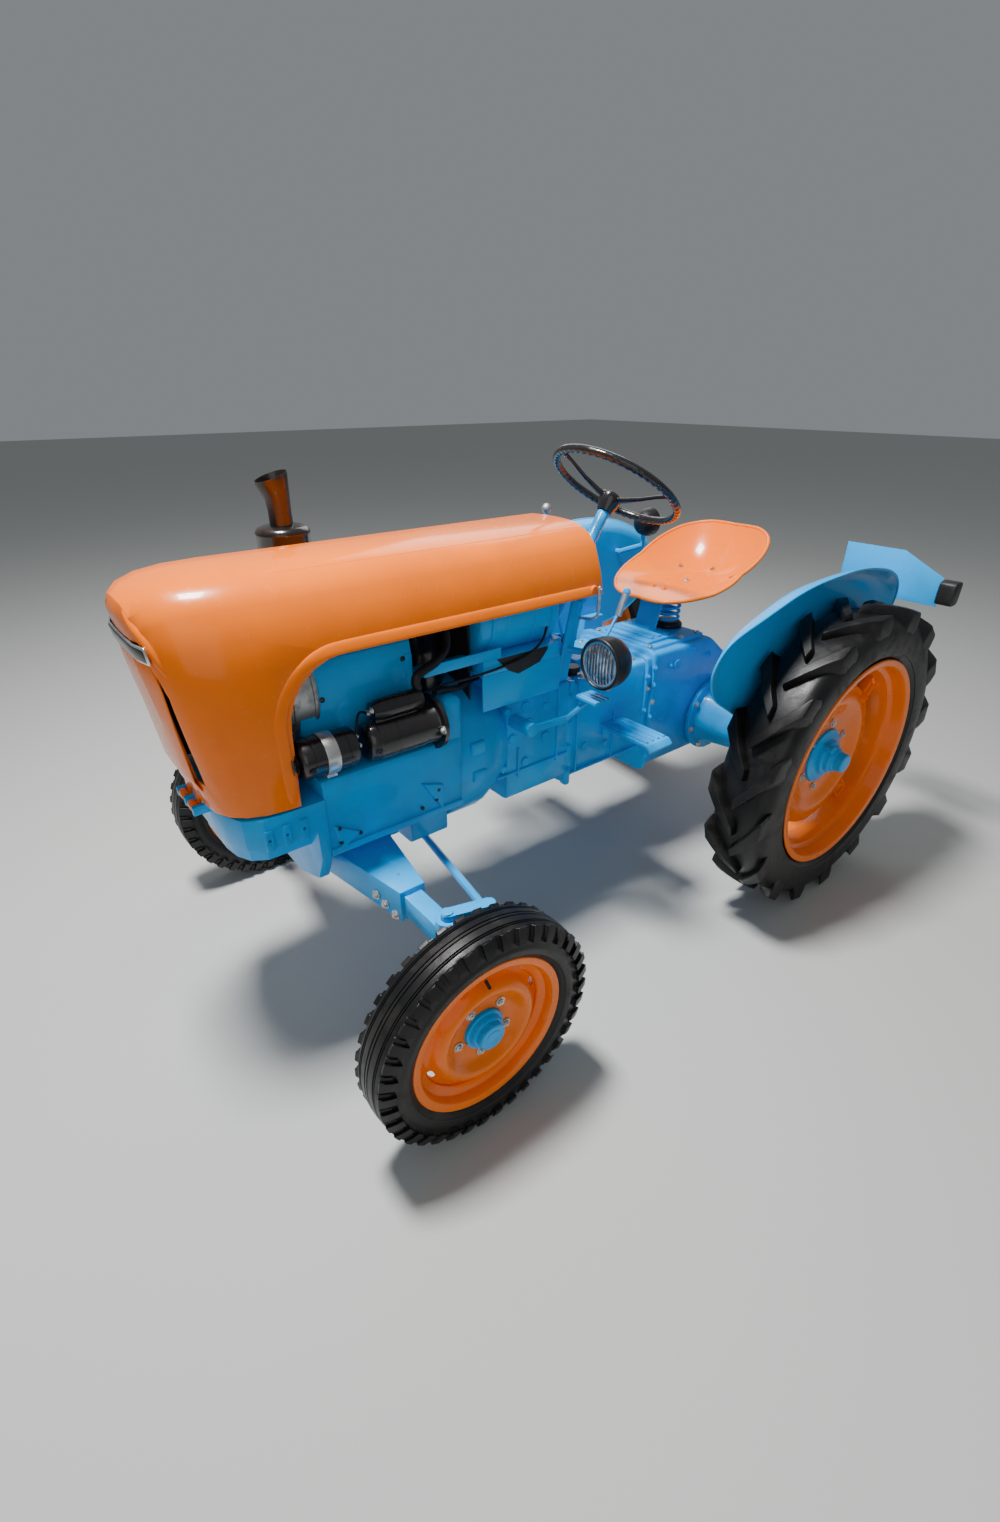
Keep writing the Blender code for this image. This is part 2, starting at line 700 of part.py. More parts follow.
# Disc outline outside its hole: (radius share, bulge share)
DISC_LINE_SHARES = [(0.57, 0.0), (0.83, 1.0), (1.0, 0.45)]
REAR_DISC_DISH = 0.022
REAR_LUG_BRACKETS = 4
REAR_BRACKET_WIDTH = 0.06
REAR_BRACKET_DEPTH = 0.026


def rear_wheel(side):
    """Deep rim with a dished disc, held in it by four welded brackets."""
    face = REAR_RIM_WIDTH / 2 - REAR_DISC_INSET
    line = [(face, clear_radius(REAR_HUB_RADIUS, REAR_FACETS))]
    line += [(face + REAR_DISC_DISH * rise, REAR_DISC_RADIUS * share)
             for share, rise in DISC_LINE_SHARES]
    disc = turned("Y", (0, 0, 0), line + [(y - RIM_WALL, radius) for y, radius in reversed(line)], REAR_FACETS)
    rim = turned("Y", (0, 0, 0), rim_profile(REAR_RIM_RADIUS, REAR_RIM_WIDTH), REAR_FACETS)
    well = REAR_RIM_RADIUS + RIM_SHARES[-1][1] * RIM_WALL - RIM_WALL / 2
    brackets = []
    for index in range(REAR_LUG_BRACKETS):
        arm = block((REAR_DISC_RADIUS - REAR_BRACKET_DEPTH, well),
                    (-REAR_BRACKET_WIDTH / 2, REAR_BRACKET_WIDTH / 2),
                    (-REAR_BRACKET_DEPTH / 2, REAR_BRACKET_DEPTH / 2))
        arm.transform(Matrix.Rotation(pi / 2, 4, "X"))
        arm.transform(Matrix.Translation((0, face + REAR_DISC_DISH / 2, 0)))
        turn = 2 * pi * (index + 0.5) / REAR_LUG_BRACKETS
        brackets.append(moved(arm, Matrix.Rotation(turn, 4, "Y")))
    mesh = joined(rim, disc, *brackets)
    return moved(on_side(mesh, side), Matrix.Translation((0, side * REAR_Y, REAR_Z)))


FRONT_DISC_SHARES = [(0.52, 0.0), (0.74, 0.9), (1.0, -0.3)]
FRONT_DISC_DISH = 0.03
FRONT_DISC_INSET = 0.032        # disc's face behind the outer rim flange


def front_wheel(side):
    """Pressed wheel whose disc is welded inside its rim."""
    face = FRONT_RIM_WIDTH / 2 - FRONT_DISC_INSET
    reach = FRONT_RIM_RADIUS + RIM_SHARES[-1][1] * RIM_WALL - RIM_WALL / 2
    line = [(face, clear_radius(FRONT_HUB_RADIUS, FRONT_FACETS))]
    line += [(face + FRONT_DISC_DISH * rise, reach * share) for share, rise in FRONT_DISC_SHARES]
    disc = turned("Y", (0, 0, 0), line + [(y - RIM_WALL, radius) for y, radius in reversed(line)], FRONT_FACETS)
    rim = turned("Y", (0, 0, 0), rim_profile(FRONT_RIM_RADIUS, FRONT_RIM_WIDTH), FRONT_FACETS)
    mesh = joined(rim, disc)
    return moved(on_side(mesh, side), Matrix.Translation((FRONT_X, side * FRONT_Y, FRONT_Z)))


# Rear hub outline: (place, radius) pairs are worked out from the wheel disc's two faces
def rear_hub(side):
    """Hub that clamps the disc from behind and shows through its hole."""
    face = REAR_RIM_WIDTH / 2 - REAR_DISC_INSET
    back = face - RIM_WALL - GAP
    inner = TRUMPET_END_Y + END_CLEARANCE - REAR_Y
    profile = [
        (inner, 0), (inner, REAR_HUB_DRUM_RADIUS),
        (back - HUB_FLANGE_THICKNESS, REAR_HUB_DRUM_RADIUS),
        (back - HUB_FLANGE_THICKNESS, REAR_HUB_FLANGE_RADIUS), (back, REAR_HUB_FLANGE_RADIUS),
        (back, REAR_HUB_RADIUS), (face + HUB_PILOT_PROUD, REAR_HUB_RADIUS),
        (face + HUB_PILOT_PROUD, REAR_HUB_CAP_RADIUS),
        (face + REAR_HUB_CAP_LENGTH, REAR_HUB_CAP_RADIUS),
        (face + REAR_HUB_CAP_LENGTH, 0),
    ]
    mesh = turned("Y", (0, 0, 0), profile, 12)
    return moved(on_side(mesh, side), Matrix.Translation((0, side * REAR_Y, REAR_Z)))


def front_hub(side):
    """Hub that runs on the knuckle's stub axle, with a stepped cap."""
    face = FRONT_RIM_WIDTH / 2 - FRONT_DISC_INSET
    back = face - RIM_WALL - GAP
    inner = KNUCKLE_FACE_Y + END_CLEARANCE - FRONT_Y
    socket = STUB_END_Y + END_CLEARANCE - FRONT_Y
    bore = clear_radius(STUB_RADIUS, PIN_FACETS)
    profile = [
        (inner, bore), (inner, FRONT_HUB_DRUM_RADIUS),
        (back - HUB_FLANGE_THICKNESS, FRONT_HUB_DRUM_RADIUS),
        (back - HUB_FLANGE_THICKNESS, FRONT_HUB_FLANGE_RADIUS), (back, FRONT_HUB_FLANGE_RADIUS),
        (back, FRONT_HUB_RADIUS), (face + HUB_PILOT_PROUD, FRONT_HUB_RADIUS),
        (face + HUB_PILOT_PROUD, FRONT_HUB_CAP_RADIUS),
        (face + FRONT_HUB_CAP_LENGTH, FRONT_HUB_CAP_RADIUS),
        (face + FRONT_HUB_CAP_LENGTH, 0), (socket, 0), (socket, bore),
    ]
    mesh = turned("Y", (0, 0, 0), profile, 12)
    return moved(on_side(mesh, side), Matrix.Translation((FRONT_X, side * FRONT_Y, FRONT_Z)))


def casting(x, half_width, bottom, top, bevel=CASTING_BEVEL):
    """A casting's barrel with rounded long edges, from its low and high X."""
    return prism("X", rectangle((-half_width, half_width), (bottom, top), bevel), *x)


def flange(x, half_width, bottom, top):
    """A joint flange that stands out all round a casting."""
    return casting(x, half_width + FLANGE_RIM, bottom - FLANGE_RIM, top + FLANGE_RIM, 2 * CASTING_BEVEL)


def rear_housing():
    """Final drive casting with its top cover, side faces for the trumpets and the power shaft."""
    half = HOUSING_WIDTH / 2
    body = casting((X_BACK, X_GEARBOX - FLANGE_THICKNESS / 2), half, HOUSING_BOTTOM, HOUSING_TOP)
    front = flange((X_GEARBOX - FLANGE_THICKNESS, X_GEARBOX - GAP), half, HOUSING_BOTTOM, HOUSING_TOP)
    slope = prism("Y", [(X_BACK - OVERRUN, REAR_Z + TRUMPET_FLANGE_RADIUS),
                        (X_BACK, REAR_Z + TRUMPET_FLANGE_RADIUS), (REAR_HOUSING_DECK, HOUSING_TOP),
                        (REAR_HOUSING_DECK, HOUSING_TOP + OVERRUN),
                        (X_BACK - OVERRUN, HOUSING_TOP + OVERRUN)], -half - OVERRUN, half + OVERRUN)
    cover = block((REAR_HOUSING_DECK + COVER_MARGIN / 2, X_GEARBOX - COVER_MARGIN),
                  (-half + COVER_MARGIN, half - COVER_MARGIN),
                  (HOUSING_TOP - SINK, HOUSING_TOP + COVER_HEIGHT))
    shaft = rod("X", (0, 0, POWER_SHAFT_Z), POWER_SHAFT_RADIUS, X_BACK - POWER_SHAFT_LENGTH,
                X_BACK + SINK, 12)
    collar = rod("X", (0, 0, POWER_SHAFT_Z), 2 * POWER_SHAFT_RADIUS, X_BACK - COVER_HEIGHT,
                 X_BACK + SINK, 16)
    return joined(cut(body, slope), front, cover, collar, shaft)


def axle_trumpet(side):
    """Tapered axle housing, with a bolted root flange, ribs on top and a boss below its end."""
    half = HOUSING_WIDTH / 2
    profile = [
        (half + GAP, 0), (half + GAP, TRUMPET_FLANGE_RADIUS),
        (half + FLANGE_THICKNESS, TRUMPET_FLANGE_RADIUS),
        (half + FLANGE_THICKNESS, TRUMPET_ROOT_RADIUS),
        (TRUMPET_END_Y, TRUMPET_END_RADIUS), (TRUMPET_END_Y, 0),
    ]
    mesh = turned("Y", (0, 0, REAR_Z), profile, TRUMPET_FACETS)
    return on_side(mesh, side)


def gearbox():
    """Gearbox casting between its two flanges."""
    half = GEARBOX_WIDTH / 2
    body = casting((X_GEARBOX + GAP, X_CLUTCH - GAP), half, GEARBOX_BOTTOM, GEARBOX_TOP)
    back = flange((X_GEARBOX + GAP, X_GEARBOX + FLANGE_THICKNESS), half, GEARBOX_BOTTOM, GEARBOX_TOP)
    front = flange((X_CLUTCH - FLANGE_THICKNESS, X_CLUTCH - GAP), half, GEARBOX_BOTTOM, GEARBOX_TOP)
    return joined(body, back, front)


def clutch_housing():
    """Housing between gearbox and bell, which carries the steering box."""
    half = CLUTCH_WIDTH / 2
    body = casting((X_CLUTCH + GAP, X_BELL - GAP), half, CLUTCH_BOTTOM, CLUTCH_TOP)
    return body


def bell_housing():
    """Flywheel housing: a drum that meets the engine's wider back."""
    profile = [
        (X_BELL + GAP, 0), (X_BELL + GAP, BELL_RADIUS * BELL_BACK_SHARE),
        (X_BELL + BELL_LENGTH * BELL_SHOULDER_SHARE, BELL_RADIUS),
        (X_ENGINE - GAP, BELL_RADIUS), (X_ENGINE - GAP, 0),
    ]
    drum = turned("X", (0, 0, BELL_Z), profile, BELL_FACETS)
    return drum


RAIL_PROUD = 0.009
RAIL_HEIGHT = 0.02
# Three-cornered bosses on the engine's side: (length share, height share) of each corner
BOSS_SHARES = [((0.965, 0.40), (0.80, 0.20), (0.93, 0.05)), ((0.32, 0.52), (0.16, 0.42), (0.17, 0.05))]


def engine_block():
    """Crankcase with a bottom rail, a shallow front sump and a deeper well at the back."""
    half = ENGINE_WIDTH / 2
    x = (X_ENGINE + GAP, X_SUPPORT - GAP)
    case = casting(x, half, ENGINE_RAIL_Z, ENGINE_TOP)
    sump = casting((x[0], x[1]), half * SUMP_WIDTH_SHARE, SUMP_BOTTOM, ENGINE_RAIL_Z + CASTING_BEVEL * 2)
    well = casting((x[0], x[0] + SUMP_WELL_LENGTH), half * SUMP_WIDTH_SHARE, SUMP_WELL_BOTTOM,
                   ENGINE_RAIL_Z + CASTING_BEVEL * 2)
    rail = block(x, (-half - RAIL_PROUD, half + RAIL_PROUD),
                 (ENGINE_RAIL_Z, ENGINE_RAIL_Z + RAIL_HEIGHT))
    bosses = []
    for side in SIDES:
        for corners in BOSS_SHARES:
            outline = [(X_ENGINE + ENGINE_LENGTH * along,
                        ENGINE_RAIL_Z + (ENGINE_TOP - ENGINE_RAIL_Z) * rise) for along, rise in corners]
            bosses.append(prism("Y", outline, *sorted((side * (half - SINK), side * (half + RAIL_PROUD)))))
    return joined(case, rail, sump, well, *bosses)


# Front support in plan: (length share, half-width share)
SUPPORT_PLAN_SHARES = [(0.0, 1.0), (0.68, 1.0), (0.86, 0.88), (0.96, 0.66), (1.0, 0.38)]
EAR_SHOULDER_SHARE = 0.82


def support_plan(half, tip):
    """The front support's rounded outline from above."""
    edge = [(X_SUPPORT + GAP + (tip - X_SUPPORT - GAP) * length, half * width)
            for length, width in SUPPORT_PLAN_SHARES]
    return edge + [(x, -y) for x, y in reversed(edge)]


def front_support():
    """Nose casting: a tray with tabs over a box, the hinge lugs, and the ear of the axle pivot."""
    half = SUPPORT_WIDTH / 2
    low = SUPPORT_TOP - SUPPORT_DEPTH
    tray = prism("Z", support_plan(half, X_TIP), low, SUPPORT_TOP)
    box = prism("Z", support_plan(half * SUPPORT_BOX_SHARE, X_TIP - SUPPORT_TAB_WIDTH),
                low - SUPPORT_BOX_DEPTH, low + SINK)
    drop = AXLE_PIVOT_Z - 2 * PIVOT_PIN_RADIUS
    ear_half = AXLE_EAR_WIDTH / 2
    outline = [(ear_half, drop), (half * EAR_SHOULDER_SHARE, AXLE_PIVOT_Z + PIVOT_PIN_RADIUS),
               (half, ENGINE_RAIL_Z), (half, low + SINK)]
    ear = prism("X", outline + [(-y, z) for y, z in reversed(outline)], X_SUPPORT + GAP,
                X_SUPPORT + EAR_THICKNESS)
    tabs = []
    holes = []
    for side in SIDES:
        for ahead in SUPPORT_TAB_SETS:
            x = X_SUPPORT + ahead
            y = sorted((side * (half - 2 * SUPPORT_TAB_WIDTH), side * (half + SUPPORT_TAB_HOLE)))
            width = SUPPORT_TAB_WIDTH / 2
            tabs.append(block((x - width, x + width), y, (low - SINK, low + SUPPORT_TAB_HEIGHT)))
            holes.append(rod("Y", (x, side * half, low + SUPPORT_TAB_HEIGHT / 2), SUPPORT_TAB_HOLE,
                             -SUPPORT_TAB_WIDTH / 2, SUPPORT_TAB_WIDTH / 2, BALL_FACETS))
    pin = rod("X", (0, 0, AXLE_PIVOT_Z), PIVOT_PIN_RADIUS, FRONT_X - AXLE_BEAM_LENGTH / 2 - END_CLEARANCE,
              X_SUPPORT + SINK, PIN_FACETS)
    reach = HINGE_Y + HINGE_LENGTH / 2 + HINGE_SIDE_CLEARANCE + HINGE_LUG_THICKNESS / 2
    lugs = []
    for middle in (-reach, 0, reach):
        lugs.append(block((X_TIP - SINK, HINGE_X + 2 * HINGE_PIN_RADIUS),
                          (middle - HINGE_LUG_THICKNESS / 2, middle + HINGE_LUG_THICKNESS / 2),
                          (HINGE_Z - 2 * HINGE_PIN_RADIUS, HINGE_Z + 2 * HINGE_PIN_RADIUS)))
    hinge = rod("Y", (HINGE_X, 0, HINGE_Z), HINGE_PIN_RADIUS, -reach, reach, PIN_FACETS)
    return cut(joined(tray, box, ear, pin, *lugs, *tabs, hinge), *holes)


def front_axle():
    """Pressed beam that tapers outwards from its pivot, with an inner bar and a kingpin boss."""
    top = AXLE_PIVOT_Z + AXLE_BEAM_HEIGHT / 2
    bottom = AXLE_PIVOT_Z - AXLE_BEAM_HEIGHT / 2
    wide = AXLE_BEAM_LENGTH / 2
    narrow = AXLE_BEAM_END_LENGTH / 2
    bend = AXLE_BEAM_END_Y * BEAM_BEND_SHARE
    plan = [(FRONT_X - wide, -bend), (FRONT_X - wide, bend), (FRONT_X - narrow, AXLE_BEAM_END_Y),
            (FRONT_X + narrow, AXLE_BEAM_END_Y), (FRONT_X + wide, bend), (FRONT_X + wide, -bend),
            (FRONT_X + narrow, -AXLE_BEAM_END_Y), (FRONT_X - narrow, -AXLE_BEAM_END_Y)]
    beam = prism("Z", plan, bottom, top)
    inner = AXLE_INNER_HEIGHT / 2
    bar = block((FRONT_X - AXLE_INNER_LENGTH / 2, FRONT_X + AXLE_INNER_LENGTH / 2),
                (-KINGPIN_Y, KINGPIN_Y), (AXLE_PIVOT_Z - inner, AXLE_PIVOT_Z + inner))
    bosses = []
    bores = [rod("X", (0, 0, AXLE_PIVOT_Z), clear_radius(PIVOT_PIN_RADIUS, PIN_FACETS),
                 FRONT_X - wide - OVERRUN, FRONT_X + wide + OVERRUN, PIN_FACETS)]
    for side in SIDES:
        centre = (FRONT_X, side * KINGPIN_Y, AXLE_PIVOT_Z)
        half = KINGPIN_BOSS_HEIGHT / 2
        bosses.append(rod("Z", centre, KINGPIN_BOSS_RADIUS, -half, half, 12))
        bores.append(rod("Z", centre, clear_radius(KINGPIN_RADIUS, PIN_FACETS), -half - OVERRUN,
                         half + OVERRUN, PIN_FACETS))
    return cut(joined(beam, bar, *bosses), *bores)


def arm(axis, start, end, half_width, low, high, sides=4):
    """A flat bar with round ends between two points of a plane."""
    start = Vector(start)
    end = Vector(end)
    heading = (end - start).normalized()
    across = Vector((-heading[1], heading[0]))
    outline = []
    for centre, turn in ((end, -pi / 2), (start, pi / 2)):
        for step in range(sides + 1):
            angle = turn + pi * step / sides
            outline.append(centre + half_width * (heading * cos(angle) + across * sin(angle)))
    return prism(axis, [tuple(point) for point in outline], low, high)


def knuckle(side):
    """Kingpin, stub axle and the arm that steers them."""
    centre = (FRONT_X, KINGPIN_Y, 0)
    boss_low = AXLE_PIVOT_Z - KINGPIN_BOSS_HEIGHT / 2
    boss_high = AXLE_PIVOT_Z + KINGPIN_BOSS_HEIGHT / 2
    arm_low = boss_high + END_CLEARANCE
    arm_high = arm_low + KNUCKLE_ARM_THICKNESS
    stem = KINGPIN_BOSS_RADIUS * 0.9
    pin = turned("Z", centre, [
        (FRONT_Z - stem, 0), (FRONT_Z - stem, stem), (boss_low - END_CLEARANCE, stem),
        (boss_low - END_CLEARANCE, KINGPIN_RADIUS), (arm_high + SINK, KINGPIN_RADIUS),
        (arm_high + SINK, 0)], PIN_FACETS)
    stub = rod("Y", (FRONT_X, 0, FRONT_Z), STUB_RADIUS, KINGPIN_Y, STUB_END_Y, PIN_FACETS)
    shoulder = rod("Y", (FRONT_X, 0, FRONT_Z), FRONT_HUB_DRUM_RADIUS * 0.8, KINGPIN_Y, KNUCKLE_FACE_Y, 10)
    eye = (FRONT_X - STEERING_ARM_LENGTH, KINGPIN_Y + RELAY_BALL_Y)
    lever = arm("Z", centre[:2], eye, KNUCKLE_ARM_HALF_WIDTH, arm_low, arm_high)
    ball = rod("Z", (*eye, 0), BALL_PIN_RADIUS, TIE_ROD_END_Z - TIE_EYE_RADIUS / 2, arm_low + SINK,
               BALL_FACETS)
    return on_side(joined(pin, stub, shoulder, lever, ball), side)


def relay_bracket():
    """Flat arm from under the bell housing that carries the relay lever's pin."""
    low = RELAY_BRACKET_TOP - BRACKET_THICKNESS
    plate = arm("Z", (BRACKET_BACK_X, 0), (RELAY_X, 0), BRACKET_HALF_WIDTH, low, RELAY_BRACKET_TOP)
    bore = rod("Z", (RELAY_X, 0, 0), clear_radius(RELAY_PIN_RADIUS, PIN_FACETS), low - OVERRUN,
               RELAY_BRACKET_TOP + OVERRUN, PIN_FACETS)
    return cut(plate, bore)


def relay_lever():
    """Steering lever under its bracket, with a ball pin for each tie rod at its rear end."""
    pin = rod("Z", (RELAY_X, 0, 0), RELAY_PIN_RADIUS, RELAY_LOW, RELAY_BRACKET_TOP, PIN_FACETS)
    lever = arm("Z", (RELAY_X, 0), (RELAY_BALL_X, 0), RELAY_HALF_WIDTH, RELAY_LOW, RELAY_HIGH)
    head = arm("Z", (RELAY_BALL_X, -RELAY_BALL_Y), (RELAY_BALL_X, RELAY_BALL_Y), RELAY_HEAD_HALF_WIDTH,
               RELAY_LOW, RELAY_HIGH)
    balls = []
    for side in SIDES:
        balls.append(rod("Z", (RELAY_BALL_X, side * RELAY_BALL_Y, 0), BALL_PIN_RADIUS,
                         RELAY_LOW - TIE_EYE_HEIGHT - 2 * END_CLEARANCE, RELAY_LOW + SINK, BALL_FACETS))
    return joined(pin, lever, head, *balls)


def tie_rod(side):
    """Rod from the relay lever's ball to the knuckle arm's, with an eye at each end."""
    inner = Vector((RELAY_BALL_X, RELAY_BALL_Y, RELAY_LOW - END_CLEARANCE - TIE_EYE_HEIGHT / 2))
    outer = Vector((FRONT_X - STEERING_ARM_LENGTH, KINGPIN_Y + RELAY_BALL_Y, TIE_ROD_END_Z))
    along = (outer - inner).normalized()
    eyes = []
    bores = []
    for end in (inner, outer):
        bore = clear_radius(BALL_PIN_RADIUS, BALL_FACETS) if end is inner else TIE_EYE_BORE
        half = TIE_EYE_HEIGHT / 2
        eyes.append(rod("Z", end, TIE_EYE_RADIUS, -half, half, 10))
        bores.append(rod("Z", end, bore, -half - OVERRUN, half + OVERRUN, BALL_FACETS))
    bar = tube([inner + along * TIE_EYE_RADIUS * 0.8, outer - along * TIE_EYE_RADIUS * 0.8],
               TIE_ROD_RADIUS, 6)
    return on_side(cut(joined(bar, *eyes), *bores), side)


def hood_section(spread, top, drop, x_low, x_high, wall):
    """One cross-section of the hood, as points from the right lower edge over to the left one."""
    ring = []
    half = []
    for width, rise in HOOD_SECTION_SHARES:
        z = HOOD_SKIRT_Z + (top - HOOD_SKIRT_Z) * rise
        y = spread * width - wall * (1 - rise)
        half.append((y, z - wall * rise))
    half[0] = (half[0][0], HOOD_SKIRT_Z - drop)
    points = [(-y, z) for y, z in half] + [(y, z) for y, z in reversed(half)]
    for y, z in points:
        share = (z - HOOD_SKIRT_Z) / (HOOD_TOP - HOOD_SKIRT_Z)
        ring.append((x_low + (x_high - x_low) * share, y, z))
    return ring


def hood_form(wall, overrun):
    """The hood as a solid: its outside, or its inside where a wall is taken off."""
    rings = []
    for x in (HOOD_REAR_X - overrun, HOOD_NOSE_START):
        rings.append(hood_section(HOOD_SKIRT_HALF_WIDTH, HOOD_TOP, overrun, x, x, wall))
    for length, inset, brow in HOOD_NOSE_SHARES:
        low = HOOD_NOSE_START + (HOOD_NOSE_SKIRT_X - wall - HOOD_NOSE_START) * length
        high = HOOD_NOSE_START + (HOOD_NOSE_BROW_X - wall - HOOD_NOSE_START) * length
        rings.append(hood_section(HOOD_SKIRT_HALF_WIDTH - HOOD_NOSE_INSET * inset,
                                  HOOD_TOP - HOOD_BROW_DROP * brow, overrun, low, high, wall))
    return loft(rings)


# Half section of the hood, from its skirt up: (half-width share, height share)
HOOD_SECTION_SHARES = [(1.0, 0.0), (0.925, 0.645), (0.86, 0.765), (0.75, 0.89), (0.616, 0.952),
                       (0.397, 0.993), (0.129, 1.0)]
# Nose's rounding in plan, from its side to its face: (length share, inset share, brow share)
HOOD_NOSE_SHARES = [(0.36, 0.04, 0.03), (0.62, 0.13, 0.12), (0.82, 0.27, 0.30), (0.94, 0.46, 0.55),
                    (0.99, 0.70, 0.85), (1.0, 1.0, 1.0)]


def hood():
    """Thin shell with a wheel-arch cut in each side, an open back and slots in its face."""
    outside = hood_form(0, 0)
    inside = hood_form(HOOD_WALL, OVERRUN)
    corner = (HOOD_ARCH_FRONT_X - SKIRT_LEAN, HOOD_EDGE_Z)
    arch = [(HOOD_REAR_X - OVERRUN, HOOD_SKIRT_Z - OVERRUN), (HOOD_ARCH_FRONT_X, HOOD_SKIRT_Z - OVERRUN)]
    for step in range(ARCH_STEPS + 1):
        turn = pi / 2 * step / ARCH_STEPS
        arch.append((corner[0] - HOOD_ARCH_RADIUS * (1 - cos(turn)),
                     corner[1] - HOOD_ARCH_RADIUS * (1 - sin(turn))))
    arch.append((HOOD_REAR_X - OVERRUN, HOOD_EDGE_Z))
    wide = HOOD_SKIRT_HALF_WIDTH + OVERRUN
    slots = []
    for side in SIDES:
        slots.append(block((HOOD_NOSE_START, HOOD_NOSE_BROW_X + OVERRUN),
                           (side * SLOT_Y - SLOT_WIDTH / 2, side * SLOT_Y + SLOT_WIDTH / 2),
                           (SLOT_LOW, SLOT_HIGH)))
    shell = cut(outside, inside, prism("Y", arch, -wide, wide), *slots)
    sleeves = []
    bores = []
    for side in SIDES:
        centre = (HINGE_X, side * HINGE_Y, HINGE_Z)
        half = HINGE_LENGTH / 2
        sleeves.append(rod("Y", centre, HINGE_SLEEVE_RADIUS, -half, half, 12))
        sleeves.append(block((HOOD_NOSE_SKIRT_X - STRAP_THICKNESS, HOOD_NOSE_SKIRT_X + SINK / 2),
                             (side * HINGE_Y - half, side * HINGE_Y + half),
                             (HINGE_Z, HINGE_Z + HINGE_STRAP_HEIGHT)))
        bores.append(rod("Y", centre, clear_radius(HINGE_PIN_RADIUS, PIN_FACETS), -half - SINK,
                         half + SINK, PIN_FACETS))
    return cut(joined(shell, *sleeves), *bores)


def nose_x(z):
    """Where the nose's face is at a height."""
    share = (z - HOOD_SKIRT_Z) / (HOOD_TOP - HOOD_SKIRT_Z)
    return HOOD_NOSE_SKIRT_X + (HOOD_NOSE_BROW_X - HOOD_NOSE_SKIRT_X) * share


def nose_trim():
    """Plain bright strip across the nose that follows its curve."""
    rings = []
    for z in (TRIM_Z - TRIM_HEIGHT / 2, TRIM_Z + TRIM_HEIGHT / 2):
        ring = []
        for off in (2 * GAP, TRIM_THICKNESS):
            half = []
            for length, inset, _ in HOOD_NOSE_SHARES[TRIM_FIRST_STATION:]:
                x = HOOD_NOSE_START + (nose_x(z) - HOOD_NOSE_START) * length
                y = (HOOD_SKIRT_HALF_WIDTH - HOOD_NOSE_INSET * inset) * TRIM_WIDTH_SHARE
                half.append((x + off, y + off * (1 - inset), z))
            line = [(x, -y, z) for x, y, z in half] + [(x, y, z) for x, y, z in reversed(half)]
            ring += line if off < TRIM_THICKNESS else list(reversed(line))
        rings.append(ring)
    return loft(rings)


def air_duct():
    """Sheet cowl round the two cylinders."""
    section = rectangle((-DUCT_HALF_WIDTH, DUCT_HALF_WIDTH), (ENGINE_TOP + GAP, DUCT_TOP), 0)
    section = [section[0], section[1]] + rounded(section, DUCT_BEVEL, 3)[8:]
    return prism("X", section, DUCT_BACK_X, X_SUPPORT)


def fan_housing():
    """Cast fan drum with an open inlet in front."""
    back = X_SUPPORT + GAP
    front = back + FAN_LENGTH
    profile = [(back, 0), (back, FAN_RADIUS), (front, FAN_RADIUS * 0.92),
               (front, FAN_INLET_RADIUS), (front - FAN_INLET_DEPTH, FAN_INLET_RADIUS),
               (front - FAN_INLET_DEPTH, FAN_INLET_RADIUS * 0.3),
               (front, FAN_INLET_RADIUS * 0.3), (front, 0)]
    return turned("X", (0, 0, FAN_Z), profile, 20)


def dynamo():
    """Dynamo on the left of the engine, with its strap and the saddle it lies on."""
    body = rod("X", (0, DYNAMO_Y, DYNAMO_Z), DYNAMO_RADIUS, *DYNAMO_X, 14)
    middle = sum(DYNAMO_X) / 2
    strap = rod("X", (0, DYNAMO_Y, DYNAMO_Z), DYNAMO_RADIUS + RIM_WALL, middle - DYNAMO_STRAP_WIDTH / 2,
                middle + DYNAMO_STRAP_WIDTH / 2, 14)
    shaft = rod("X", (0, DYNAMO_Y, DYNAMO_Z), DYNAMO_RADIUS / 4, DYNAMO_X[1] - SINK,
                DYNAMO_X[1] + SINK * 3, 8)
    saddle = block((middle - DYNAMO_STRAP_WIDTH, middle + DYNAMO_STRAP_WIDTH),
                   (DYNAMO_Y - DYNAMO_RADIUS / 2, DYNAMO_Y + DYNAMO_RADIUS / 3),
                   (ENGINE_TOP + GAP, DYNAMO_Z - DYNAMO_RADIUS / 2))
    return joined(body, strap, shaft, saddle)


def starter():
    """Starter motor bolted to the bell housing, with its solenoid above."""
    body = rod("X", (0, STARTER_Y, STARTER_Z), STARTER_RADIUS, *STARTER_X, 14)
    solenoid = rod("X", (0, STARTER_Y, STARTER_Z + STARTER_RADIUS + SOLENOID_RADIUS * 0.8),
                   SOLENOID_RADIUS, *SOLENOID_X, 10)
    plate = rod("X", (0, STARTER_Y, STARTER_Z), STARTER_Z - ENGINE_TOP - GAP,
                STARTER_X[0] - STARTER_FLANGE_THICKNESS, STARTER_X[0] + SINK, 16)
    neck = block((SOLENOID_X[0] + SINK, SOLENOID_X[1] - SINK),
                 (STARTER_Y - SOLENOID_RADIUS / 2, STARTER_Y + SOLENOID_RADIUS / 2),
                 (STARTER_Z + STARTER_RADIUS / 2, STARTER_Z + STARTER_RADIUS + SOLENOID_RADIUS))
    foot = block((STARTER_X[0], STARTER_X[0] + STARTER_RADIUS),
                 (STARTER_Y - STARTER_RADIUS / 2, STARTER_Y + STARTER_RADIUS / 3),
                 (ENGINE_TOP + GAP, STARTER_Z - STARTER_RADIUS / 2))
    return joined(body, plate, solenoid, neck, foot)


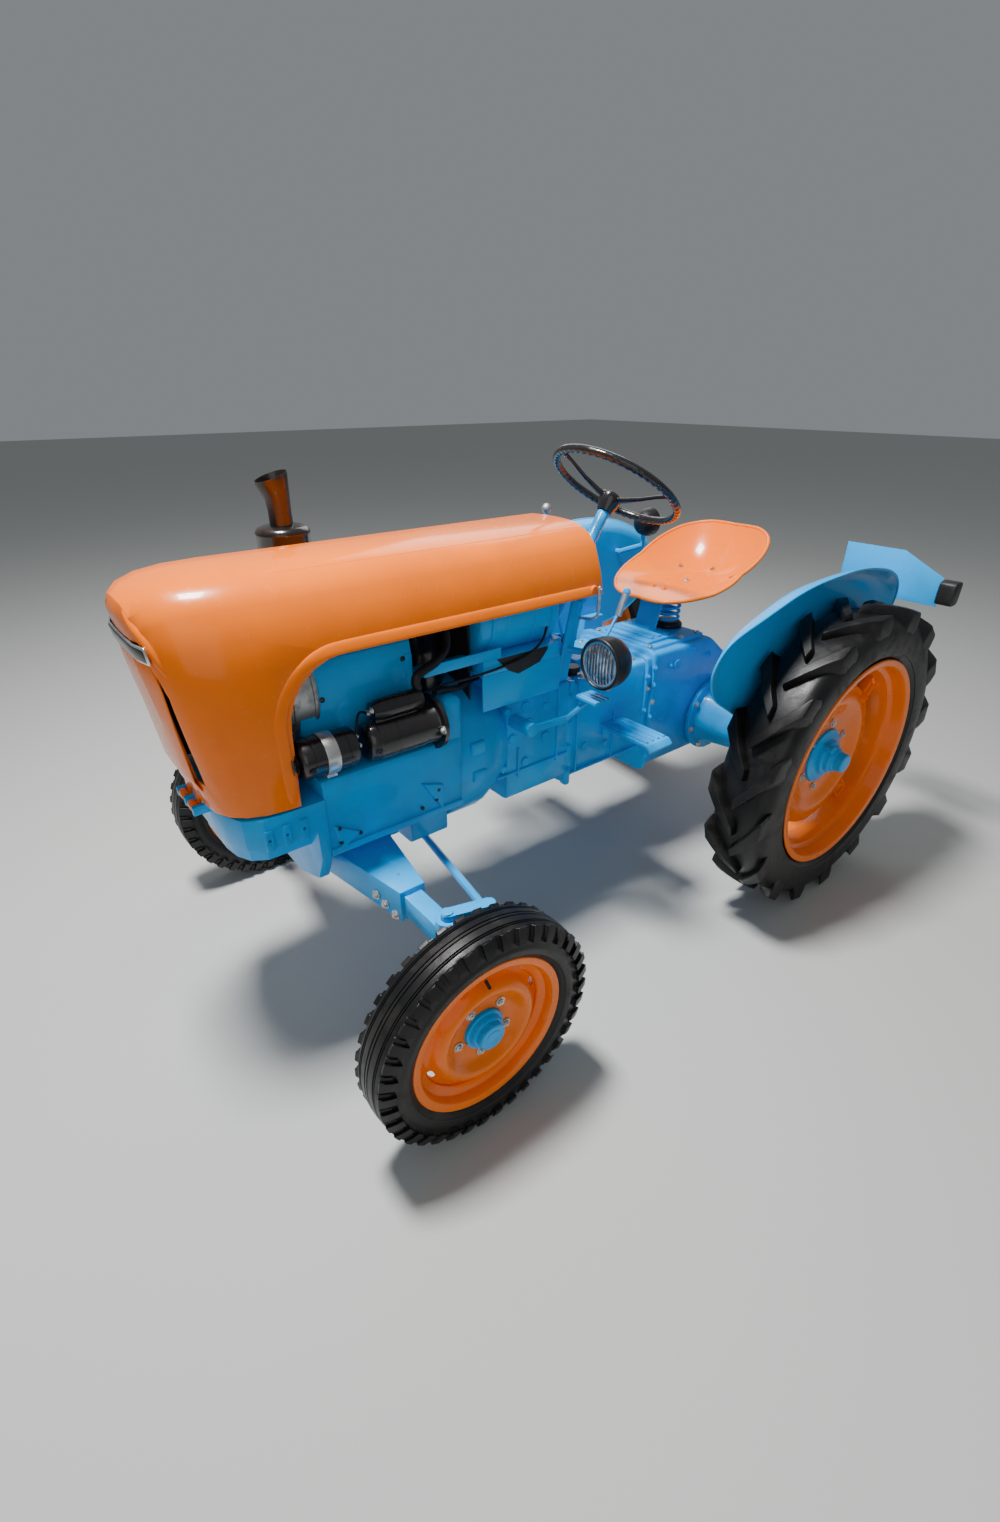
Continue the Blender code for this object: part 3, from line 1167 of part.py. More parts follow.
def fuel_tank():
    """Barrel-shaped tank with two welded seams, on a cradle plate."""
    section = rectangle((-TANK_HALF_WIDTH, TANK_HALF_WIDTH), (TANK_BOTTOM, TANK_TOP), TANK_BEVEL, 5)
    body = prism("X", section, *TANK_X)
    seams = []
    wide = rectangle((-TANK_HALF_WIDTH - TANK_SEAM, TANK_HALF_WIDTH + TANK_SEAM),
                     (TANK_BOTTOM - TANK_SEAM, TANK_TOP + TANK_SEAM), TANK_BEVEL + TANK_SEAM, 5)
    for share in TANK_SEAM_SHARES:
        x = TANK_X[0] + (TANK_X[1] - TANK_X[0]) * share
        seams.append(prism("X", wide, x - TANK_SEAM, x + TANK_SEAM))
    return joined(body, *seams)


def tank_frame():
    """Folded plate on the clutch and bell housings that carries the tank and screens the engine."""
    half = FRAME_PLATE_HALF_WIDTH
    wall = FRAME_PLATE_WALL
    top = TANK_BOTTOM - TANK_SEAM - GAP
    x = (TANK_X[0] + SINK, TANK_X[1] + SINK)
    shelf = block(x, (-half, half), (top - wall, top))
    sides = []
    for side in SIDES:
        y = sorted((side * half, side * (half - wall)))
        sides.append(block(x, y, (CLUTCH_TOP + GAP, top - wall / 2)))
        foot = sorted((side * half, side * (half - FRAME_FOOT)))
        sides.append(block((x[0], X_BELL), foot, (CLUTCH_TOP + GAP, CLUTCH_TOP + GAP + wall)))
    return joined(shelf, *sides)


def hood_frame():
    """Hoop that carries the hood's back: two flat raked legs and a cross bar."""
    foot_x, top_x = FRAME_X[1], FRAME_X[0] + FRAME_BAR * 3
    low = CLUTCH_TOP + GAP
    wide = FRAME_LEG_WIDTH / 2
    outline = [(foot_x - 2 * wide, low), (foot_x, low), (foot_x, low + FRAME_BAR),
               (top_x + wide, FRAME_TOP), (top_x - wide, FRAME_TOP), (foot_x - 2 * wide, low + FRAME_BAR)]
    legs = []
    for side in SIDES:
        y = sorted((side * FRAME_HALF_WIDTH, side * (FRAME_HALF_WIDTH - FRAME_LEG_WALL)))
        legs.append(prism("Y", outline, *y))
    bar = tube([(top_x, -FRAME_HALF_WIDTH - FRAME_BAR, FRAME_TOP),
                (top_x, FRAME_HALF_WIDTH + FRAME_BAR, FRAME_TOP)], FRAME_BAR / 2, 8)
    return joined(bar, *legs)


def muffler():
    """Upright muffler beside the hood, its pipe from the engine and its raked outlet."""
    can = turned("Z", (MUFFLER_X, MUFFLER_Y, 0), [
        (MUFFLER_BOTTOM, 0), (MUFFLER_BOTTOM, MUFFLER_RADIUS * 0.75),
        (MUFFLER_BOTTOM + SINK * 5, MUFFLER_RADIUS), (MUFFLER_TOP - SINK * 3, MUFFLER_RADIUS),
        (MUFFLER_TOP, MUFFLER_RADIUS * 0.8), (MUFFLER_TOP, 0)], 16)
    outlet = tube([(MUFFLER_X, MUFFLER_Y, MUFFLER_TOP - SINK),
                   (MUFFLER_X, MUFFLER_Y, MUFFLER_TOP + (OUTLET_TOP - MUFFLER_TOP) * 0.3),
                   (MUFFLER_X + OUTLET_LEAN, MUFFLER_Y, OUTLET_TOP)],
                  [OUTLET_RADIUS, OUTLET_RADIUS, OUTLET_RADIUS * OUTLET_FLARE_SHARE], 12,
                  end=Vector(OUTLET_FACE).normalized())
    pipe = tube(smooth_route([(MUFFLER_X, -DUCT_HALF_WIDTH - GAP, EXHAUST_PIPE_Z),
                              (MUFFLER_X, (MUFFLER_Y - DUCT_HALF_WIDTH) / 2 - SINK, EXHAUST_PIPE_Z),
                              (MUFFLER_X, MUFFLER_Y, EXHAUST_PIPE_Z + EXHAUST_PIPE_RADIUS * 2),
                              (MUFFLER_X, MUFFLER_Y, MUFFLER_BOTTOM + SINK)], 2),
                EXHAUST_PIPE_RADIUS, 8, start=(0, -1, 0))
    return joined(can, outlet, pipe)


def intake_hose():
    """Bent hose from the solenoid's side up under the hood."""
    back = DUCT_BACK_X - HOSE_RADIUS * 3
    side = DUCT_HALF_WIDTH + HOSE_RADIUS
    low = SOLENOID_X[0] + HOSE_RADIUS
    z = STARTER_Z + STARTER_RADIUS + SOLENOID_RADIUS * 1.8 + GAP
    route = smooth_route([(low, STARTER_Y, z), (low, STARTER_Y, z + 2 * HOSE_RADIUS),
                          (DUCT_BACK_X, side + HOSE_RADIUS, z + 3 * HOSE_RADIUS),
                          (back, side - HOSE_RADIUS, DUCT_TOP - 3 * HOSE_RADIUS),
                          (back, side - 5 * HOSE_RADIUS, DUCT_TOP)], 3)
    return tube(route, HOSE_RADIUS, 7, start=(0, 0, 1))


def column_line(distance):
    """A point on the steering column's axis, so far below the rim's plane."""
    return Vector((WHEEL_CENTRE_X + distance * sin(STEERING_LEAN), 0,
                   WHEEL_CENTRE_Z - distance * cos(STEERING_LEAN)))


def steering_column():
    """Column tube on its steering box."""
    top = column_line(WHEEL_DISH + WHEEL_HUB_LENGTH + END_CLEARANCE)
    reach = (WHEEL_CENTRE_Z - CLUTCH_TOP - BOX_HEIGHT / 2) / cos(STEERING_LEAN)
    foot = column_line(reach)
    stem = tube([top, foot], COLUMN_RADIUS, 12)
    half = BOX_HALF_WIDTH
    box = prism("Z", rectangle((foot.x - half, foot.x + half), (-half, half), half / 3),
                CLUTCH_TOP + GAP, CLUTCH_TOP + BOX_HEIGHT)
    return joined(box, stem)


def steering_wheel():
    """Round grip on three spokes and a tapered hub."""
    sides = 26
    grip = turned("Z", (0, 0, 0), [(WHEEL_GRIP_RADIUS * sin(2 * pi * step / 6),
                                    WHEEL_RIM_RADIUS + WHEEL_GRIP_RADIUS * cos(2 * pi * step / 6))
                                   for step in range(6)], sides)
    top = -WHEEL_DISH + SINK
    hub = turned("Z", (0, 0, 0), [(-WHEEL_DISH - WHEEL_HUB_LENGTH, 0),
                                  (-WHEEL_DISH - WHEEL_HUB_LENGTH, COLUMN_RADIUS * 1.1),
                                  (-WHEEL_DISH, WHEEL_HUB_RADIUS), (top + SINK, WHEEL_HUB_RADIUS),
                                  (top + SINK * 3, WHEEL_HUB_RADIUS / 2), (top + SINK * 3, 0)], 12)
    spokes = []
    for index in range(3):
        turn = 2 * pi * index / 3 + SPOKE_TURN
        heading = Vector((cos(turn), sin(turn), 0))
        start = heading * WHEEL_HUB_RADIUS * 0.6 + Vector((0, 0, -WHEEL_DISH))
        bend = heading * WHEEL_RIM_RADIUS * 0.55 + Vector((0, 0, -WHEEL_DISH * 0.55))
        spokes.append(tube([start, bend, heading * WHEEL_RIM_RADIUS], SPOKE_RADIUS, 5))
    mesh = joined(grip, hub, *spokes)
    mesh.transform(Matrix.Rotation(-STEERING_LEAN, 4, "Y"))
    return moved(mesh, Matrix.Translation(column_line(0)))


def seat():
    """Pressed pan: a dish with a rolled front edge, raised sides and a higher back."""
    middle = (SEAT_FRONT_X + SEAT_BACK_X) / 2
    half_length = (SEAT_FRONT_X - SEAT_BACK_X) / 2
    bm = bmesh.new()
    layers = []
    for wall in (0, -SEAT_WALL):
        rings = []
        for ring in SEAT_RING_SHARES:
            points = []
            for step in range(SEAT_STEPS):
                turn = 2 * pi * step / SEAT_STEPS
                along = cos(turn)
                across = sin(turn)
                stretch = 1 + SEAT_SQUARE_SHARE * abs(along * across) * 2
                narrow = 1 - SEAT_TAPER_SHARE * max(along, 0) ** 2
                x = middle + half_length * along * ring * stretch
                y = SEAT_HALF_WIDTH * across * ring * stretch * narrow
                back = max(-along, 0) * ring
                front = max(along, 0) * ring
                side = abs(across) * ring
                z = (SEAT_PAN_Z + SEAT_BACK_RISE * back ** 3 + SEAT_SIDE_RISE * side ** 3
                     - SEAT_FRONT_DROP * front ** 4 + wall)
                points.append(bm.verts.new((x, y, z)))
            rings.append(points)
        layers.append((bm.verts.new((middle, 0, SEAT_PAN_Z + wall)), rings))
    for (centre, rings) in layers:
        for step in range(SEAT_STEPS):
            bm.faces.new((centre, rings[0][step - 1], rings[0][step]))
            for inner, outer in zip(rings, rings[1:]):
                bm.faces.new((inner[step - 1], outer[step - 1], outer[step], inner[step]))
    top_edge = layers[0][1][-1]
    low_edge = layers[1][1][-1]
    for step in range(SEAT_STEPS):
        bm.faces.new((top_edge[step - 1], low_edge[step - 1], low_edge[step], top_edge[step]))
    under = SEAT_PAN_Z - SEAT_WALL
    cap = rod("Z", (SPRING_X, 0, 0), SPRING_RADIUS * 1.3, under - SEAT_CAP_HEIGHT, under + SEAT_WALL / 2, 12)
    lug = block((SEAT_LUG_X - STRAP_FOOT / 2, SEAT_LUG_X + STRAP_FOOT / 2),
                (-STRAP_HALF_WIDTH, STRAP_HALF_WIDTH), (under - SEAT_LUG_HEIGHT, under + SEAT_WALL / 2))
    return joined(closed_mesh(bm), cap, lug)


def seat_spring():
    """Coil spring between its rubber base and the pan."""
    base = HOUSING_TOP + COVER_HEIGHT + GAP
    low = base + SPRING_BASE_HEIGHT
    high = SEAT_PAN_Z - SEAT_WALL - SEAT_CAP_HEIGHT - SPRING_WIRE_RADIUS - GAP
    count = SPRING_TURNS * 9
    route = []
    for step in range(count + 1):
        turn = 2 * pi * step / 9
        route.append((SPRING_X + SPRING_RADIUS * cos(turn), SPRING_RADIUS * sin(turn),
                      low + (high - low) * step / count))
    coil = tube(route, SPRING_WIRE_RADIUS, 4)
    pad = turned("Z", (SPRING_X, 0, 0), [(base, 0), (base, SPRING_RADIUS * 1.45),
                                         (low + SPRING_WIRE_RADIUS / 2, SPRING_RADIUS * 1.2),
                                         (low + SPRING_WIRE_RADIUS / 2, 0)], 16)
    return joined(pad, coil)


def seat_bracket():
    """Flat hinged strap from the gearbox cover up to the pan's front."""
    foot = HOUSING_TOP + COVER_HEIGHT + GAP
    front = SEAT_LUG_X + STRAP_FOOT / 2
    top = SEAT_PAN_Z - SEAT_WALL - SEAT_LUG_HEIGHT - GAP
    outline = [(front, foot), (front + STRAP_RAKE + STRAP_FOOT, foot),
               (front + STRAP_RAKE + STRAP_FOOT, foot + STRAP_WALL),
               (front + STRAP_RAKE, foot + STRAP_WALL), (front, top), (front - STRAP_FOOT, top),
               (front - STRAP_FOOT, top - STRAP_WALL), (front - STRAP_WALL, top - STRAP_WALL),
               (front + STRAP_RAKE - STRAP_WALL, foot + STRAP_WALL), (front, foot + STRAP_WALL)]
    return prism("Y", outline, -STRAP_HALF_WIDTH, STRAP_HALF_WIDTH)


# Mudguard edge seen from the side, round the wheel's axle: (x share, z share, flare share)
FENDER_SHARES = [(-0.612, 0.824, 0.7), (-0.396, 0.935, 1.0), (-0.106, 0.986, 1.0), (0.17, 0.985, 1.0),
                 (0.433, 0.961, 1.0), (0.70, 0.885, 0.9), (0.90, 0.79, 0.6), (0.955, 0.66, 0.35),
                 (0.90, 0.53, 0.2), (0.771, 0.436, 0.1), (0.56, 0.32, 0.0), (0.28, 0.27, 0.0),
                 (-0.02, 0.26, 0.0), (-0.33, 0.30, 0.0), (-0.60, 0.46, 0.0), (-0.70, 0.66, 0.3)]
FENDER_CENTRE_SHARES = (0.12, 0.62)


def fender(side):
    """Pressed mudguard: a plate inside the tyre whose upper edge flares out over it."""
    centre = Vector(FENDER_CENTRE_SHARES) * FENDER_RADIUS
    rings = [[] for _ in range(6)]
    for x_share, z_share, flare in FENDER_SHARES:
        edge = Vector((x_share, z_share)) * FENDER_RADIUS
        inward = (centre - edge).normalized()
        reach = FENDER_FLARE * flare
        line = [(edge + inward * (reach * 0.9 + FENDER_WALL), FENDER_Y),
                (edge + inward * (reach * 0.25 + FENDER_WALL), FENDER_Y + reach * 0.35),
                (edge + inward * FENDER_WALL, FENDER_Y + reach + FENDER_WALL)]
        for index, (point, y) in enumerate(line):
            rings[index].append((point.x, y, REAR_Z + point.y))
            grown = point - inward * FENDER_WALL
            drop = 0 if index == 2 else FENDER_WALL
            rings[5 - index].append((grown.x, y - drop, REAR_Z + grown.y))
    shell = loft(rings)
    root = trumpet_radius(FENDER_Y - BRACKET_DEPTH) * cos(pi / TRUMPET_FACETS)
    foot = block((-BRACKET_HALF_LENGTH, BRACKET_HALF_LENGTH),
                 (FENDER_Y - BRACKET_DEPTH, FENDER_Y - FENDER_WALL / 2),
                 (REAR_Z + root + GAP, REAR_Z + FENDER_RADIUS * 0.36))
    return on_side(joined(shell, foot), side)


def trumpet_radius(y):
    """The axle trumpet's radius at a distance from the middle."""
    start = HOUSING_WIDTH / 2 + FLANGE_THICKNESS
    share = (y - start) / (TRUMPET_END_Y - start)
    return TRUMPET_ROOT_RADIUS + (TRUMPET_END_RADIUS - TRUMPET_ROOT_RADIUS) * share


def headlamp(side):
    """Round lamp with a rubber shell and a clear front."""
    front = LAMP_X + LAMP_DEPTH / 4
    back = front - LAMP_DEPTH
    profile = [(back, 0), (back, LAMP_RADIUS * 0.5), (back + LAMP_DEPTH * 0.35, LAMP_RADIUS * 0.9),
               (front - LAMP_DEPTH * 0.25, LAMP_RADIUS), (front, LAMP_RADIUS * 0.95),
               (front, LAMP_RADIUS * 0.84), (front - LENS_DEPTH, LAMP_RADIUS * 0.82),
               (front - LENS_DEPTH / 2, 0)]
    return on_side(turned("X", (0, LAMP_Y, LAMP_Z), profile, 20), side)


def lamp_arm(side):
    """Arm from the hood frame to a headlamp's back."""
    back = LAMP_X - LAMP_DEPTH * 3 / 4
    start = (FRAME_X[1] - FRAME_BAR * 2, FRAME_HALF_WIDTH - FRAME_LEG_WALL, LAMP_Z - FRAME_BAR)
    route = smooth_route([start, (back - FRAME_BAR, (FRAME_HALF_WIDTH + LAMP_Y) / 2, LAMP_Z - FRAME_BAR),
                          (back - FRAME_BAR * 1.5, LAMP_Y - FRAME_BAR, LAMP_Z),
                          (back - GAP, LAMP_Y, LAMP_Z)], 2)
    return on_side(tube(route, LAMP_POST_RADIUS, 6, end=(1, 0, 0)), side)


def work_lamp():
    """Lamp that faces backwards on a stalk from the right mudguard."""
    back = WORK_LAMP_X + WORK_LAMP_DEPTH
    profile = [(WORK_LAMP_X, 0), (WORK_LAMP_X, WORK_LAMP_RADIUS),
               (WORK_LAMP_X + WORK_LAMP_DEPTH * 0.4, WORK_LAMP_RADIUS * 0.98),
               (back, WORK_LAMP_RADIUS * 0.45), (back, 0)]
    shell = turned("X", (0, WORK_LAMP_Y, WORK_LAMP_Z), profile, 16)
    middle = WORK_LAMP_X + WORK_LAMP_DEPTH / 2
    plate_y = -FENDER_Y + FENDER_WALL + GAP
    stalk = tube([(middle, WORK_LAMP_Y, WORK_LAMP_Z - WORK_LAMP_RADIUS / 2),
                  (middle, WORK_LAMP_Y, WORK_LAMP_Z - WORK_LAMP_RADIUS * 1.6),
                  (middle, plate_y + LAMP_POST_RADIUS * 2, WORK_LAMP_Z - WORK_LAMP_RADIUS * 2.4),
                  (middle, plate_y, WORK_LAMP_Z - WORK_LAMP_RADIUS * 2.4)], LAMP_POST_RADIUS, 6)
    return joined(shell, stalk)


def plate_bracket():
    """Bare number-plate panel behind the left wheel, on an arm from the mudguard."""
    outline = [(PLATE_Y[0], PLATE_Z[0]), (PLATE_Y[1], PLATE_Z[0]), (PLATE_Y[1], PLATE_CLIP_Z),
               (PLATE_CLIP_Y, PLATE_Z[1]), (PLATE_Y[0], PLATE_Z[1])]
    panel = prism("X", outline, PLATE_X, PLATE_X + PLATE_WALL)
    inner = FENDER_Y - FENDER_WALL - GAP
    strap = block((PLATE_X + PLATE_WALL / 2, -FENDER_RADIUS * 0.55),
                  (inner - PLATE_WALL * 2, inner), (PLATE_Z[0] + PLATE_WALL, PLATE_Z[0] + PLATE_WALL * 9))
    return joined(panel, strap)


def tail_lamp():
    """Black lamp on the plate bracket's outer end."""
    half = TAIL_LAMP_SIZE / 2
    middle = PLATE_X + PLATE_WALL / 2
    outline = rectangle((middle - half, middle + half), (PLATE_CLIP_Z - TAIL_LAMP_SIZE * 1.4,
                                                         PLATE_CLIP_Z - SINK), half * 0.6, 3)
    return prism("Y", outline, PLATE_Y[1] + GAP, PLATE_Y[1] + TAIL_LAMP_LENGTH)


def foot_rest(side):
    """Ribbed plate with a curled outer end, on the gearbox's side."""
    inner = GEARBOX_WIDTH / 2 + GAP
    curl = REST_WALL * 1.5
    section = [(inner, REST_Z - REST_WALL), (REST_Y[1], REST_Z - REST_WALL),
               (REST_Y[1] + curl / 2, REST_Z - REST_WALL - curl), (REST_Y[1] + curl, REST_Z - curl),
               (REST_Y[1], REST_Z), (inner, REST_Z)]
    plate = prism("X", section, *REST_X)
    ribs = []
    for index in range(REST_RIBS):
        x = REST_X[0] + (REST_X[1] - REST_X[0]) * (index + 0.5) / REST_RIBS
        ribs.append(block((x - REST_RIB_HALF, x + REST_RIB_HALF), (REST_Y[0], REST_Y[1] - REST_WALL),
                          (REST_Z - REST_WALL / 2, REST_Z + REST_RIB_HALF)))
    foot = block((REST_X[0] + REST_WALL, REST_X[1] - REST_WALL), (inner, inner + REST_WALL),
                 (REST_Z - REST_WALL * 4, REST_Z - REST_WALL / 2))
    return on_side(joined(plate, foot, *ribs), side)


def pedal(side):
    """Cranked pedal: pivot boss on the clutch housing, arm and serrated pad."""
    inner = CLUTCH_WIDTH / 2 + GAP
    boss = rod("Y", (PEDAL_PIVOT_X, 0, PEDAL_PIVOT_Z), PEDAL_BAR * 2, inner, PEDAL_Y + PEDAL_BAR, 10)
    bend = (PEDAL_PAD_X + PEDAL_BAR * 5, PEDAL_PIVOT_Z - PEDAL_BAR / 2)
    lever = arm("Y", (PEDAL_PIVOT_X, PEDAL_PIVOT_Z), bend, PEDAL_BAR, PEDAL_Y - PEDAL_BAR / 2,
                PEDAL_Y + PEDAL_BAR / 2, 4)
    reach = tube([(bend[0], PEDAL_Y, bend[1]), (PEDAL_PAD_X + PEDAL_BAR, (PEDAL_Y + PEDAL_PAD_Y) / 2,
                                                PEDAL_PAD_Z - PEDAL_BAR * 3),
                  (PEDAL_PAD_X, PEDAL_PAD_Y, PEDAL_PAD_Z - PEDAL_BAR / 2)], PEDAL_BAR * 0.8, 6)
    pad = block((PEDAL_PAD_X - PEDAL_PAD_HALF * 0.8, PEDAL_PAD_X + PEDAL_PAD_HALF * 0.8),
                (PEDAL_PAD_Y - PEDAL_PAD_HALF, PEDAL_PAD_Y + PEDAL_PAD_HALF),
                (PEDAL_PAD_Z - PEDAL_BAR, PEDAL_PAD_Z))
    teeth = []
    for index in range(PEDAL_TEETH):
        x = PEDAL_PAD_X + PEDAL_PAD_HALF * 0.8 * (2 * (index + 0.5) / PEDAL_TEETH - 1)
        teeth.append(block((x - PEDAL_BAR / 5, x + PEDAL_BAR / 5),
                           (PEDAL_PAD_Y - PEDAL_PAD_HALF, PEDAL_PAD_Y + PEDAL_PAD_HALF),
                           (PEDAL_PAD_Z - PEDAL_BAR / 2, PEDAL_PAD_Z + PEDAL_BAR / 4)))
    return on_side(joined(boss, lever, reach, pad, *teeth), side)


def lever(places, radius, knob_radius):
    """A bent rod on the gearbox's top, with a round knob on its end."""
    route = [(x, y, GEARBOX_TOP + height) for x, y, height in places]
    stem = tube(smooth_route(route, 2), radius, 6, start=(0, 0, 1))
    knob = turned("Z", route[-1], [(knob_radius * sin(pi * (step / 4 - 0.5)),
                                    knob_radius * cos(pi * (step / 4 - 0.5)) if 0 < step < 4 else 0)
                                   for step in range(5)], 8)
    return joined(stem, knob)


def drawbar():
    """Flat drawbar under the final drive, with a pin hole at its end."""
    high = HOUSING_BOTTOM - GAP
    low = high - DRAWBAR_THICKNESS
    bar = arm("Z", (DRAWBAR_FRONT_X, 0), (-DRAWBAR_REACH, 0), DRAWBAR_HALF_WIDTH, low, high)
    hole = rod("Z", (-DRAWBAR_REACH, 0, 0), DRAWBAR_HOLE_RADIUS, low - OVERRUN, high + OVERRUN, 14)
    return cut(bar, hole)


def build():
    """All the bodies and their pieces."""
    middle = (nose_x(TRIM_Z + TRIM_HEIGHT / 2) + TRIM_THICKNESS - REAR_TYRE_RADIUS) / 2
    tractor = Tractor((-middle, 0, 0))

    for name, mesh in (("rear_housing", rear_housing()), ("gearbox", gearbox()),
                       ("clutch_housing", clutch_housing()), ("bell_housing", bell_housing()),
                       ("engine_block", engine_block()), ("front_support", front_support()),
                       ("air_duct", air_duct()), ("fuel_tank", fuel_tank()),
                       ("tank_frame", tank_frame()), ("steering_column", steering_column()),
                       ("front_axle", front_axle()), ("seat_bracket", seat_bracket()),
                       ("plate_bracket", plate_bracket()), ("drawbar", drawbar()),
                       ("relay_bracket", relay_bracket()),
                       ("clutch_pedal", pedal(LEFT)), ("brake_pedal", pedal(RIGHT)),
                       ("hood_frame", joined(hood_frame(), lamp_arm(LEFT), lamp_arm(RIGHT))),
                       ("seat_spring", seat_spring())):
        tractor.piece(name, mesh, "blue_paint")
    for side, word in SIDES.items():
        tractor.piece("axle_trumpet_" + word, axle_trumpet(side), "blue_paint")
        tractor.piece("fender_" + word, fender(side), "blue_paint")
        tractor.piece("foot_rest_" + word, foot_rest(side), "blue_paint")
        tractor.piece("headlamp_" + word, headlamp(side), "black_rubber")
    tractor.piece("fan_housing", fan_housing(), "grey_metal")
    tractor.piece("dynamo", dynamo(), "black_enamel")
    tractor.piece("starter", starter(), "black_enamel")
    tractor.piece("intake_hose", intake_hose(), "black_rubber")
    tractor.piece("muffler", muffler(), "black_enamel")
    tractor.piece("seat", seat(), "orange_paint")
    tractor.piece("work_lamp", work_lamp(), "black_rubber")
    tractor.piece("tail_lamp", tail_lamp(), "dark_plastic")
    tractor.piece("gear_lever", lever(GEAR_LEVER_ROUTE, LEVER_RADIUS, KNOB_RADIUS), "grey_metal")
    tractor.piece("hand_lever", lever(HAND_LEVER_ROUTE, LEVER_RADIUS, KNOB_RADIUS), "grey_metal")

    tractor.frame("hood_lid", (HINGE_X, 0, HINGE_Z))
    tractor.piece("hood", hood(), "orange_paint", "hood_lid")
    tractor.piece("nose_trim", nose_trim(), "grey_metal", "hood_lid")
    tractor.frame("wheel_column", column_line(0))
    tractor.piece("steering_wheel", steering_wheel(), "black_enamel", "wheel_column")
    tractor.frame("steering_relay", (RELAY_X, 0, RELAY_LOW))
    tractor.piece("relay_lever", relay_lever(), "blue_paint", "steering_relay")
    for side, word in SIDES.items():
        rod_body = "track_rod_" + word
        tractor.frame(rod_body, (RELAY_BALL_X, side * RELAY_BALL_Y, RELAY_LOW), "steering_relay")
        tractor.piece("tie_rod_" + word, tie_rod(side), "blue_paint", rod_body)
        pivot = "swivel_" + word
        tractor.frame(pivot, (FRONT_X, side * KINGPIN_Y, FRONT_Z))
        tractor.piece("knuckle_" + word, knuckle(side), "blue_paint", pivot)
        front = "front_wheel_set_" + word
        tractor.frame(front, (FRONT_X, side * FRONT_Y, FRONT_Z), pivot)
        tractor.piece("front_tyre_" + word, road_tyre(side), "tyre_rubber", front)
        tractor.piece("front_wheel_" + word, front_wheel(side), "orange_paint", front)
        tractor.piece("front_hub_" + word, front_hub(side), "blue_paint", front)
        rear = "rear_wheel_set_" + word
        tractor.frame(rear, (0, side * REAR_Y, REAR_Z))
        tractor.piece("rear_tyre_" + word, lugged_tyre(side), "tyre_rubber", rear)
        tractor.piece("rear_wheel_" + word, rear_wheel(side), "orange_paint", rear)
        tractor.piece("rear_hub_" + word, rear_hub(side), "blue_paint", rear)


def main():
    for item in list(bpy.data.objects):
        bpy.data.objects.remove(item)
    build()


main()
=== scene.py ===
"""A small orange and blue farm tractor of the middle of the last century, dressed over its frame."""

import json
from math import atan2, cos, pi, radians, sin

import bmesh
import bpy
from mathutils import Matrix, Vector


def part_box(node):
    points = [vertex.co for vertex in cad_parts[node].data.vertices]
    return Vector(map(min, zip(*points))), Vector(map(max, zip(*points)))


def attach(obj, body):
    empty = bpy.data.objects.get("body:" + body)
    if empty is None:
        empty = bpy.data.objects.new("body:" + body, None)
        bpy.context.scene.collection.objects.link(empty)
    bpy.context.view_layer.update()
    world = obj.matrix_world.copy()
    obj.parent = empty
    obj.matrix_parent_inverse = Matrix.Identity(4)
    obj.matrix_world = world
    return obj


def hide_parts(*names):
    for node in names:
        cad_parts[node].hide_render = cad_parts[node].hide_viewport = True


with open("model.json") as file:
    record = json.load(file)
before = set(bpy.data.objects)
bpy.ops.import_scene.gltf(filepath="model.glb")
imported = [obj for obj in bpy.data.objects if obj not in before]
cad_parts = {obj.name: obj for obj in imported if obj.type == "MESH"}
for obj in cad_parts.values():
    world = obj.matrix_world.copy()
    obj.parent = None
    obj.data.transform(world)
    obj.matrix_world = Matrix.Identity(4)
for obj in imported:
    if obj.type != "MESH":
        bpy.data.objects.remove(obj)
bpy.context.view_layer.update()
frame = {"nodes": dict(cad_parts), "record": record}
NODES = frame["nodes"]
BODIES = frame["record"]["behaviour"]["bodies"]
BODY_OF = {node: body for body, nodes in BODIES.items() for node in nodes}

MIDDLE = 0.732965               # the layout's rear axle is this far behind the frame's origin
LEFT, RIGHT = 1, -1


# Shader maths

class Value:
    """An output of a shader node, so that maths on it reads as Python."""

    def __init__(self, finish, socket):
        self.finish = finish
        self.socket = socket

    def maths(self, operation, *values):
        sockets = dict(enumerate(values))
        return self.finish.node("ShaderNodeMath", {"operation": operation}, sockets)

    def __add__(self, other):
        return self.maths("ADD", self, other)

    def __mul__(self, other):
        return self.maths("MULTIPLY", self, other)

    __radd__ = __add__
    __rmul__ = __mul__


